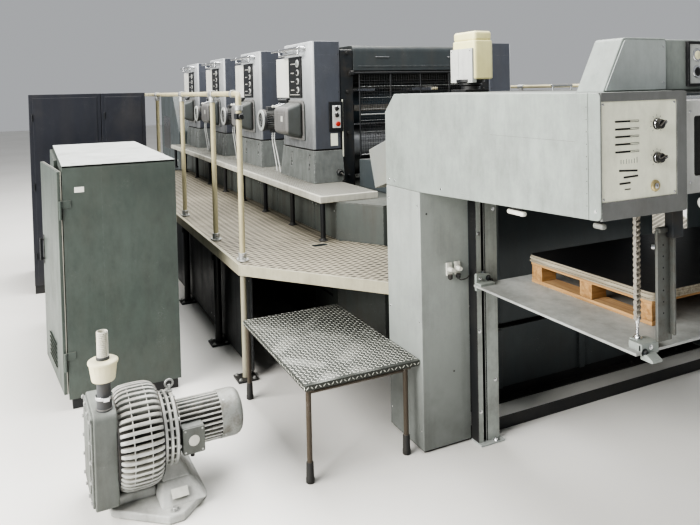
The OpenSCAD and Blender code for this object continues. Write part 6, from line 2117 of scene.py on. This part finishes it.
def roll(piece, x, z, radius, finish, bearer=None):
    """A roller, or a cylinder set back between two bearer rings."""
    half, edge, r = INNER_Y - 0.0003, 0.045 if bearer else 0.0, radius - (0.004 if bearer else 0.0)
    if bearer:
        for y, towards in ((-half, Y), (half - edge + 0.004, Y)):
            wide = edge - 0.004
            ring = [(0, 0), (radius - 0.001, 0), (radius, 0.001), (radius, wide), (0, wide)]
            piece.add(spun(ring, (x, y, z), towards, 56), bearer)
    length = 2 * (half - edge)
    profile = [(0, 0), (r - 0.002, 0), (r, 0.003), (r, length - 0.003), (r - 0.002, length), (0, length)]
    piece.add(spun(profile, (x, -half + edge, z), Y, 56), finish)


def make_cylinders(index):
    piece = Piece("unit_%d_cylinders_turned" % (index + 1))
    piece.at(UNIT_X[index] + UNIT_LEN / 2, 0, BASE_TOP)
    roll(piece, 0, 0.250, 0.210, "cylinder_steel", "steel_bar")
    roll(piece, 0.040, 0.601, 0.135, "blanket_blue", "steel_bar")
    roll(piece, -0.040, 0.885, 0.135, "cylinder_steel", "steel_bar")
    for degrees in (-10, 30, 150, 190):
        turn = math.radians(degrees)
        roll(piece, -0.040 + 0.183 * math.cos(turn), 0.885 + 0.183 * math.sin(turn), 0.045, "rubber")
    # The blanket's tension gap and its bar
    piece.add(box((0.152, -0.52, 0.575), (0.1745, 0.52, 0.625), 0.003), "steel_bar")
    piece.finish("cylinder_steel", "unit_%d_cylinders" % (index + 1))


for index in range(4):
    make_cylinders(index)

# %% Roller covers and ink troughs
paint("roller_grey", (0.062, 0.072, 0.076), 0.38, streaks=0.4, smudges=0.4)


def make_ink_covers():
    piece = Piece("ink_unit_covers_sheet")
    end, low, half = UNIT_LEN - 0.026, -0.230, INNER_Y - 0.0006
    outline = rounded([(0, -0.085), (end - 0.090, -0.085), (end - 0.070, low), (end, low), (end, -0.030),
                       (0.300, -0.030), (0.210, -0.060), (0.090, -0.060), (0.040, -0.010), (0, -0.010)],
                      [0.004, 0, 0, 0.006, 0.050, 0.030, 0.01, 0.01, 0.006, 0.006])
    screw = [(0, 0), (0.010, 0), (0.010, 0.005), (0.007, 0.008), (0, 0.008)]
    for unit_x in UNIT_X:
        piece.at(unit_x + 0.020, 0, TOWER_TOP)
        piece.add(plate(outline, "y", -half, half, 0.002), "roller_grey")
        # A stiffening bead, hand grips and hinges on the lid's front
        bead = (end - 0.001, -half + 0.04, low + 0.030), (end + 0.003, half - 0.04, low + 0.042)
        piece.add(box(*bead, 0.0014), "roller_grey")
        for y in (-0.34, 0.34):
            corners = ((-0.002, -0.060), (0.005, -0.060), (0.005, 0.060), (-0.002, 0.060))
            grip = [(end + dx, y + dy, low + 0.110) for dx, dy in corners]
            piece.add(bent_tube(grip, 0.008, 10, 0.004), "chrome")
        piece.add(box((0.020, -half + 0.03, -0.064), (0.200, half - 0.03, -0.0585), 0.001), "cover_dark")
        for k in range(12):
            y = -half + 0.06 + (2 * half - 0.12) * k / 11
            piece.add(spun(screw, (0.070, y, -0.0595), Z, 12), "galvanised")
    piece.finish("cover_dark", "ink_unit_covers")


make_ink_covers()

# %% Woven guard in front of the last unit
metal("mesh_wire", (0.07, 0.073, 0.076), 0.5, dust=0.0, metallic=0.5)


def make_unit_guard():
    piece = Piece("unit_4_guard_mesh")
    piece.at(ROD_X, 0, 0)
    low, top, half, step = guard_lo.z, ROD_Z, INNER_Y - 0.040, 0.0222
    piece.add(bar((0, guard_lo.y, top), (0, guard_hi.y, top), 0.0218, 24, 0.002), "black_steel")
    for k in range(5):
        y = -half + k * half / 2
        piece.add(bar((0, y, low), (0, y, top), 0.014, 16, 0.002), "black_steel")
    for z in (low + 0.011, (low + top) / 2):
        piece.add(bar((0, -half, z), (0, half, z), 0.012, 16, 0.002), "galvanised")
    for k in range(1, int((top - low - 0.03) / step)):
        z = low + 0.011 + k * step
        wire_bar = bar((0.0035, -half, z), (0.0035, half, z), 0.0032, 6, 0.0)
        piece.add(wire_bar, "mesh_wire" if k % 4 else "galvanised")
    for k in range(1, int(2 * half / step)):
        y = -half + k * step
        piece.add(bar((-0.0005, y, low + 0.004), (-0.0005, y, top), 0.0030, 6, 0.0), "mesh_wire")
    piece.finish("black_steel", "unit_4_guard", body="unit_guard", flat=False)


make_unit_guard()

# %% [markdown]
# ## Chain casing, cabinets and feeder
#
# The casing of the delivery chains climbs from the last unit to the delivery in
# two bolted sections. Two tall cabinets and a switch cabinet with its door ajar
# stand beside the gallery. The feeder, which the photo hides, gets the usual
# suction head, tape table and pile rails.

# %% Chain casing
def casing_lids(piece, half, start, end):
    """Two lids along the slope, with hinges and a grip each."""
    run = end - start
    place = turn_at(start, -math.atan2(run.z, run.x), "Y")
    for k in range(2):
        a, b = run.length * k / 2 + 0.008, run.length * (k + 1) / 2 - 0.008
        grip = [(b - 0.06, y, z) for y, z in ((-0.09, 0.004), (-0.09, 0.034), (0.09, 0.034), (0.09, 0.004))]
        piece.add(box((a, -half + 0.006, -0.001), (b, half - 0.006, 0.006), 0.0025), "drive_grey", place)
        piece.add(bent_tube(grip, 0.012, 12, 0.014), "chrome", place)
        for y in (-half + 0.12, half - 0.16):
            piece.add(box((a - 0.012, y, 0.0), (a + 0.020, y + 0.040, 0.009), 0.002), "galvanised", place)


def make_casing():
    piece = Piece("chain_casing_sections")
    half, low, roof = INNER_Y, 0.420, COVER_TOP - 0.090
    start, end = Vector((GROUP_X1 + 0.640, 0, 1.220)), Vector((LEG_X0 - 0.140, 0, roof))
    outline = [(BASE_X1, low - 0.120), (LEG_X0 + 0.060, low), (LEG_X0 + 0.060, roof), (end.x, roof),
               (start.x, start.z),
               (GROUP_X1 + 0.060, 1.180), (GROUP_X1 + 0.060, BASE_TOP), (BASE_X1, BASE_TOP)]
    piece.add(plate(outline, "y", -half, half, 0.008, 3), "cover_dark")
    for x in (BASE_X1 + 0.180, LEG_X0 - 0.190):
        for dx in (0.0, 0.017):
            flange = (x + dx, -half - 0.016, low - 0.060), (x + dx + 0.015, half + 0.016, 1.180)
            piece.add(box(*flange, 0.003), "frame_dark")
        for k in range(7):
            head = bolt((x + 0.032, -half - 0.004, low + 0.02 + 0.115 * k), X, 0.013, 0.006)
            piece.add(head, "galvanised", far=True)
    casing_lids(piece, half, start, end)
    for x, z in product((BASE_X1 + 0.03, BASE_X1 + 0.16, BASE_X1 + 0.25, LEG_X0 - 0.22), (low + 0.02, 1.10)):
        piece.add(stud((x, -half, z), -Y, -0.001, 0.0018, 0.013, 14, 0.0008), "galvanised", far=True)
    piece.finish("cover_dark", "chain_casing")


make_casing()

# %% Switch cabinet and its door
CAB_X0, CAB_X1, CAB_H = GROUP_X1 + 0.747 - 1.671, GROUP_X1 + 0.747, low_high("switch_cabinet")[1].z
CAB_Y0, CAB_Y1 = -DECK_Y - 0.316 - 0.602, -DECK_Y - 0.316
HINGE = Vector((CAB_X1 + 0.009, CAB_Y0 - 0.013, 0))
# The cabinet's top: a far lighter grey than its sides, a painted light from above, under heavy dust.
paint("cabinet_top", (0.44, 0.465, 0.44), 0.42, streaks=0.0, smudges=0.8, foot=0.0, dust=1.0, wear=0.8,
      mottle=1.0, lint=(0.56, 0.575, 0.55), bare=(0.16, 0.18, 0.16), width=0.02)
paint("edge_beige", (0.44, 0.43, 0.37), smudges=0.4, wear=0.7)


def switchgear(piece, x0, x1, back, top):
    """The mounting plate inside, with rails and plain switchgear in seeded widths."""
    piece.add(box((x0 + 0.02, back - 0.006, 0.14), (x1 - 0.02, back + 0.001, top - 0.03), 0.001),
              "galvanised")
    rng = random.Random(3)
    for row in range(5):
        z = 0.24 + 0.20 * row
        piece.add(box((x0 + 0.04, back - 0.014, z - 0.012), (x1 - 0.04, back - 0.005, z + 0.012), 0.001),
                  "chrome")
        x = x0 + 0.06
        while x < x1 - 0.12:
            wide = rng.choice((0.024, 0.045, 0.072))
            switch = box((x, back - 0.080, z - 0.042), (x + wide, back - 0.012, z + 0.042), 0.003)
            piece.add(switch, rng.choice(("desk_grey", "knob_black", "key_plate")))
            x += wide + 0.004
        piece.add(box((x0 + 0.04, back - 0.050, z + 0.070), (x1 - 0.04, back - 0.006, z + 0.110), 0.002),
                  "desk_grey")


def make_cabinet():
    piece = Piece("switch_cabinet_sheet")
    x0, x1, y0, y1, top = CAB_X0, CAB_X1, CAB_Y0, CAB_Y1, CAB_H
    hollow0, hollow1, hollow_top = x1 - 0.670, x1 - 0.040, top - 0.060
    rim, hole = oblong((x0, 0.060), (x1, top - 0.004)), oblong((hollow0, 0.110), (hollow1, hollow_top))
    piece.add(box((x0 + 0.016, y0 + 0.016, 0), (x1 - 0.016, y1 - 0.016, 0.061), 0.002), "black_steel")
    piece.add(ring_plate(rim, hole, "y", y0, y0 + 0.200, 0.0), "cabinet_paint")
    piece.add(plate(rim, "y", y0 + 0.200, y1, 0.0), "cabinet_paint")
    piece.add(box((x0, y0, top - 0.016), (x1, y1, top), 0.004, 3), "cabinet_top")
    piece.add(box((x0 + 0.010, y0 - 0.022, 0.090), (x1 - 0.710, y0 + 0.001, top - 0.030), 0.004, 3),
              "cabinet_paint")
    switchgear(piece, hollow0, hollow1, y0 + 0.198, hollow_top)
    # Bare plate, bolt heads on the top and hinge leaves
    piece.add(box((x1 - 0.001, y0 + 0.060, 1.190), (x1 + 0.0012, y0 + 0.110, 1.220), 0.0005), "key_plate")
    for x, y in product((x0 + 0.08, x1 - 0.08), (y0 + 0.06, y1 - 0.06)):
        piece.add(bolt((x, y, top - 0.0015), Z, 0.016, 0.001), "galvanised")
    for z in (0.2803, top - 0.2297):
        piece.add(box((x1 - 0.001, HINGE.y, z), (x1 + 0.005, y0 + 0.040, z + 0.0397), 0.001), "cabinet_paint")
        piece.add(stud((HINGE.x, HINGE.y, z), Z, 0, 0.0397, 0.016, 18, 0.001), "cabinet_paint")
    piece.finish("cabinet_paint", "switch_cabinet")


def make_cabinet_door():
    piece = Piece("switch_cabinet_door_sheet", place=turn_about(HINGE, math.radians(6), "Z"))
    x0, x1, y0, y1 = CAB_X1 - 0.690, CAB_X1 - 0.004, CAB_Y0 - 0.024, CAB_Y0 - 0.002
    low, high = 0.090, CAB_H - 0.030
    piece.add(box((x0, y0, low), (x1, y0 + 0.0180, high), 0.0035, 3), "cabinet_paint")
    piece.add(box((x0 + 0.001, y0 + 0.010, low + 0.001), (x1 - 0.0005, y1, high - 0.001), 0.002),
              "edge_beige")
    piece.add(box((x0 + 0.02, y1 - 0.002, low + 0.02), (x1 - 0.02, y1 + 0.0002, high - 0.02), 0.0),
              "edge_beige")
    # Vent slots in painted shade under bent lips.
    for k in range(6):
        z = low + 0.070 + 0.026 * k
        piece.add(box((x0 + 0.210, y0 - 0.0005, z), (x0 + 0.470, y0 + 0.004, z + 0.010), 0.0), "dark_gap")
        lip = box((x0 + 0.210, -0.010, -0.001), (x0 + 0.470, 0.0, 0.001), 0.0006, 1)
        piece.add(lip, "cabinet_paint", turn_at((0, y0, z + 0.010), math.radians(-35), "X"))
    piece.add(box((x0 + 0.038, y0 - 0.004, 0.680), (x0 + 0.064, y0 + 0.001, 0.860), 0.002), "black_steel")
    piece.add(box((x0 + 0.042, y0 - 0.026, 0.700), (x0 + 0.060, y0 - 0.012, 0.840), 0.005, 3), "black_steel")
    for z in (0.712, 0.828):
        piece.add(bar((x0 + 0.051, y0 - 0.014, z), (x0 + 0.051, y0 + 0.001, z), 0.012, 14), "black_steel")
    for z in (0.220, CAB_H - 0.290):
        piece.add(bar((HINGE.x, HINGE.y, z), (HINGE.x, HINGE.y, z + 0.060), 0.016, 18), "cabinet_paint")
        leaf = (CAB_X1 - 0.005, HINGE.y - 0.003, z), (HINGE.x, HINGE.y + 0.003, z + 0.060)
        piece.add(box(*leaf, 0.001), "cabinet_paint")
    piece.finish("cabinet_paint", "switch_cabinet_door", body="cabinet_door")


make_cabinet()
make_cabinet_door()


# %% Tall cabinets
def make_tall_cabinets():
    piece = Piece("tall_cabinets_sheet")
    lo, hi = low_high("tall_cabinets")
    front, middle, split = hi.x, hi.z / 2, lo.y + 0.584
    for y0, y1 in ((lo.y, split), (split + 0.003, hi.y)):
        piece.add(box((lo.x + 0.014, y0 + 0.002, 0), (front - 0.014, y1 - 0.002, 0.071), 0.002),
                  "black_steel")
        for low, high, radius in (((lo.x, y0, 0.070), (front - 0.004, y1, hi.z), 0.004),
                                  ((front - 0.006, y0 + 0.032, 0.100), (front, y1 - 0.032, hi.z - 0.032),
                                   0.0028)):
            piece.add(box(low, high, radius, 3), "tall_cabinet_paint")
        recess = (front - 0.001, y1 - 0.100, middle - 0.062), (front + 0.0004, y1 - 0.072, middle + 0.062)
        handle = (front - 0.002, y1 - 0.094, middle - 0.050), (front + 0.012, y1 - 0.078, middle + 0.050)
        # The handle's recess and the vent slots are painted shade.
        piece.add(box(*recess, 0.0), "dark_gap")
        piece.add(box(*handle, 0.004, 3), "chrome")
        for k in range(8):
            z = 0.20 + 0.024 * k
            lip = box((front, y0 + 0.10, z + 0.009), (front + 0.005, y1 - 0.10, z + 0.0115), 0.0008, 1)
            piece.add(box((front - 0.001, y0 + 0.10, z), (front + 0.0006, y1 - 0.10, z + 0.010), 0.0),
                      "dark_gap")
            piece.add(lip, "tall_cabinet_paint")
        for z in (0.30, 0.90, 1.50):
            pin = bar((front + 0.004, y0 + 0.024, z), (front + 0.004, y0 + 0.024, z + 0.060), 0.011, 14)
            piece.add(pin, "black_steel")
        for x, y in product((lo.x + 0.07, front - 0.07), (y0 + 0.06, y1 - 0.06)):
            piece.add(bolt((x, y, hi.z - 0.0005), Z, 0.018, 0.0002, False), "galvanised")
    piece.finish("tall_cabinet_paint", "tall_cabinets")


make_tall_cabinets()

# %% Feeder
feeder_lo, feeder_hi = low_high("feeder_frames")
FEED_X0, FEED_X1, FEED_Y, FEED_H = feeder_lo.x, feeder_hi.x + 0.0003, feeder_hi.y, feeder_hi.z
plastic("tape_cream", (0.55, 0.50, 0.36), 0.7, 0.3)


def make_feeder_frames():
    piece = Piece("feeder_frames_castings")
    x0, x1, front, inner = FEED_X0, FEED_X1, -FEED_Y, FEED_Y - 0.144
    side = rounded([(x0, 0), (x1 - 0.0003, 0), (x1 - 0.0003, 1.180), (x1 - 0.420, FEED_H), (x0, FEED_H)],
                   [0, 0, 0.060, 0.080, 0.040])
    skin = rounded([(x0 + 0.012, 0.06), (x1 - 0.012, 0.06), (x1 - 0.012, 1.174), (x1 - 0.426, FEED_H - 0.012),
                    (x0 + 0.012, FEED_H - 0.012)], [0.01, 0.01, 0.052, 0.072, 0.034])
    window = oblong((x0 + 0.180, 0.900), (x1 - 0.620, FEED_H - 0.330), 0.040)
    piece.add(plate(side, "y", front + 0.002, front + 0.145, 0.004, 3), "feeder_paint", far=True)
    piece.add(ring_plate(skin, window, "y", front, front + 0.006, 0.002), "feeder_paint", far=True)
    piece.add(plate(window, "y", front + 0.0015, front + 0.003, 0.0), "dark_pane", far=True)
    for x, z in product((x0 + 0.09, x1 - 0.10), (0.14, 0.78)):
        piece.add(bolt((x, front, z), -Y, 0.022, 0.012), "galvanised", far=True)
    piece.add(box((x1 - 0.36, front, 0.30), (x1 - 0.12, front + 0.002, 0.70), 0.001), "feeder_paint",
              far=True)
    for z in (0.060, 0.760):
        piece.add(box((x1 - 0.200, -inner, z), (x1 - 0.080, inner, z + 0.120), 0.006, 3), "feeder_paint")
    piece.add(box((x1 - 0.330, -inner, 0.260), (x1 - 0.310, inner, 1.040), 0.002), "cover_dark")
    for k in range(7):
        y = -0.72 + 0.24 * k
        piece.add(box((x1 - 0.3335, y - 0.018, 0.28), (x1 - 0.329, y + 0.018, 1.03), 0.0015), "chrome")
    piece.add(box((x0 + 0.090, -inner, 0.120), (x1 - 0.340, inner, 0.140), 0.003), "platform_paint")
    for x in (x0 + 0.200, x1 - 0.520):
        piece.add(box((x, -inner, 0.060), (x + 0.080, inner, 0.121), 0.004), "black_steel")
    rail = [(0, 0), (0.060, 0), (0.060, 0.051), (0.044, 0.051), (0.044, 0.016), (0.016, 0.016),
            (0.016, 0.051), (0, 0.051)]
    for x in (x0 + 0.110, x1 - 0.420):
        piece.at(x, -inner, 0)
        piece.add(plate(rail, "z", 0.120, FEED_H - 0.300, 0.002), "steel_bar", far=True)
    piece.finish("feeder_paint", "feeder_frames")


def make_feeder_head():
    piece = Piece("feeder_head_parts")
    inner = FEED_Y - 0.145
    piece.at(FEED_X0, 0, FEED_H - 0.150)
    collar = [(0.038, 0), (0.052, 0), (0.052, 0.040), (0.038, 0.040)]
    for x in (0.240, 0.620):
        piece.add(bar((x, -inner, 0), (x, inner, 0), 0.076, 32, 0.003), "cylinder_steel")
        for y in (-0.38, 0.34):
            piece.add(spun(collar, (x, y, 0), Y, 28), "frame_dark")
    piece.add(box((0.200, -0.310, -0.090), (0.700, 0.310, 0.070), 0.014, 4), "cover_paint")
    piece.add(box((0.235, -0.270, 0.066), (0.665, 0.270, 0.074), 0.003), "cover_dark")
    piece.add(box((0.640, -0.270, -0.200), (0.700, 0.270, -0.088), 0.006, 3), "frame_dark")
    lifter = [(0, 0), (0.017, 0), (0.017, 0.085), (0.011, 0.090), (0.011, 0.105), (0.0165, 0.110),
              (0.0165, 0.127),
              (0.006, 0.130), (0, 0.124)]
    sucker = [(0, 0), (0.014, 0), (0.019, 0.012), (0.019, 0.020), (0.013, 0.024), (0, 0.024)]
    for y in (-0.220, -0.080, 0.080, 0.220):
        piece.add(spun(lifter, (0.300, y, -0.060), -Z, 22), "chrome")
        piece.add(spun(sucker, (0.720, y, -0.170), -Z, 20), "rubber")
        piece.add(box((0.690, y - 0.008, -0.172), (0.728, y + 0.008, -0.150), 0.003), "chrome")
    knob = [(0, 0), (0.020, 0), (0.024, 0.004), (0.024, 0.020), (0.020, 0.024), (0, 0.024)]
    for y in (-0.18, 0.0, 0.18):
        piece.add(spun(knob, (0.200, y, 0), -X, 24), "knob_black")
    piece.finish("cover_dark", "feeder_head")


def make_feed_table():
    piece = Piece("feed_table_tapes")
    half, x0, x1 = low_high("feed_table")[1].y, FEED_X1 - 0.700, FEED_X1 - 0.0003
    piece.add(plate([(x0, 1.130), (x1, 0.980), (x1, 1.040), (x0, 1.190)], "y", -half, half, 0.003),
              "cover_paint")
    piece.add(bar((x0 + 0.020, -half, 1.163), (x0 + 0.020, half, 1.163), 0.070, 32, 0.002), "cylinder_steel")
    lean = turn_at((x0, 0, 1.190), math.atan2(0.150, 0.700), "Y")
    wheel = [(0, 0), (0.019, 0), (0.021, 0.002), (0.021, 0.014), (0.019, 0.016), (0, 0.016)]
    rollers = [(x0 + dx, 1.216 - 0.150 * dx / 0.700) for dx in (0.16, 0.34, 0.52)]
    for y in (-0.56, -0.28, 0.0, 0.28, 0.56):
        piece.add(box((0.02, y - 0.020, 0.0005), (0.715, y + 0.020, 0.0042), 0.001), "tape_cream", lean)
        for x, z in rollers:
            piece.add(spun(wheel, (x, y - 0.008, z), Y, 24), "rubber")
    for x, z in rollers:
        piece.add(bar((x, -half, z), (x, half, z), 0.012, 16), "chrome")
    for y in (-half + 0.010, half - 0.010):
        piece.add(box((0.03, y - 0.008, 0.0), (0.70, y + 0.008, 0.040), 0.003), "cover_dark", lean)
    piece.finish("cover_paint", "feed_table")


make_feeder_frames()
make_feeder_head()
make_feed_table()

# %% [markdown]
# ## Camera, floor and light
#
# The camera stands where the photographer stood: beside the delivery, at
# 1.72 m, looking back along the row of units. The photo is cropped low, which a
# lens shift repeats without tilting the uprights. The machine stands on a plain
# pale studio floor that runs far behind it, under large soft lights.

# %% Camera
YAW, TILT, ROLL = math.radians(25.616), math.radians(1.8), math.radians(1.26)
forward = Vector((-math.cos(YAW) * math.cos(TILT), math.sin(YAW) * math.cos(TILT), -math.sin(TILT)))
level_right = forward.cross(Z).normalized()
level_up = level_right.cross(forward)
right = level_right * math.cos(ROLL) - level_up * math.sin(ROLL)
up = level_right * math.sin(ROLL) + level_up * math.cos(ROLL)
lens = bpy.data.cameras.new("photo_lens")
lens.sensor_width, lens.lens, lens.shift_y = 36.0, 34.06, -0.218
camera = bpy.data.objects.new("photo_camera", lens)
bpy.context.scene.collection.objects.link(camera)
turn = Matrix((right, up, -forward)).transposed()
camera.matrix_world = Matrix.Translation((6.880, -2.854, 1.720)) @ turn.to_4x4()
bpy.context.scene.camera = camera
print("camera at", camera.location, "lens", lens.lens)

# %% Studio floor
bm = bmesh.new()
bmesh.ops.create_grid(bm, x_segments=1, y_segments=1, size=30.0)
bmesh.ops.translate(bm, verts=bm.verts, vec=(0, 0, -0.001))
floor_mesh = bpy.data.meshes.new("studio_floor")
bm.to_mesh(floor_mesh)
studio_floor = bpy.data.objects.new("studio_floor", floor_mesh)
bpy.context.scene.collection.objects.link(studio_floor)
tree, shader = open_finish("studio_floor")
cloud = ramp(tree, noise(tree, object_space(tree), 0.7, 4.0, 0.6), 0.3, 0.7)
pale = blend_colours(tree, cloud, (0.74, 0.725, 0.685), (0.80, 0.785, 0.75))
wire(tree, shader, dict(Base_Color=pale, Roughness=0.72))
floor_mesh.materials.append(FINISH["studio_floor"])
print("floor ready")

# %% Soft studio light
world = bpy.data.worlds.new("studio")
bpy.context.scene.world = world
world.use_nodes = True
background = world.node_tree.nodes["Background"]
background.inputs["Color"].default_value = (0.92, 0.94, 0.97, 1)
background.inputs["Strength"].default_value = 0.30


def soft_light(name, at, aim, size, power, colour=(1, 1, 1)):
    light = bpy.data.lights.new(name, "AREA")
    light.shape, light.size, light.size_y = "RECTANGLE", size[0], size[1]
    light.energy, light.color = power, colour
    lamp = bpy.data.objects.new(name, light)
    lamp.location = at
    lamp.rotation_euler = (Vector(aim) - Vector(at)).to_track_quat("-Z", "Y").to_euler()
    bpy.context.scene.collection.objects.link(lamp)


soft_light("ceiling_row", (0.5, -0.5, 6.2), (0.5, -0.5, 0), (10.0, 4.0), 560)
soft_light("side_key", (4.5, -8.0, 4.2), (2.5, -1.0, 0.8), (7.0, 3.5), 760, (1.0, 0.985, 0.96))
soft_light("far_fill", (2.0, 8.0, 4.0), (0.0, 1.0, 1.0), (8.0, 3.0), 200, (0.95, 0.97, 1.0))
bpy.context.scene.view_settings.view_transform = "AgX"
bpy.context.scene.view_settings.look = "AgX - High Contrast"
bpy.context.scene.view_settings.exposure = 0.35
print("lights ready")
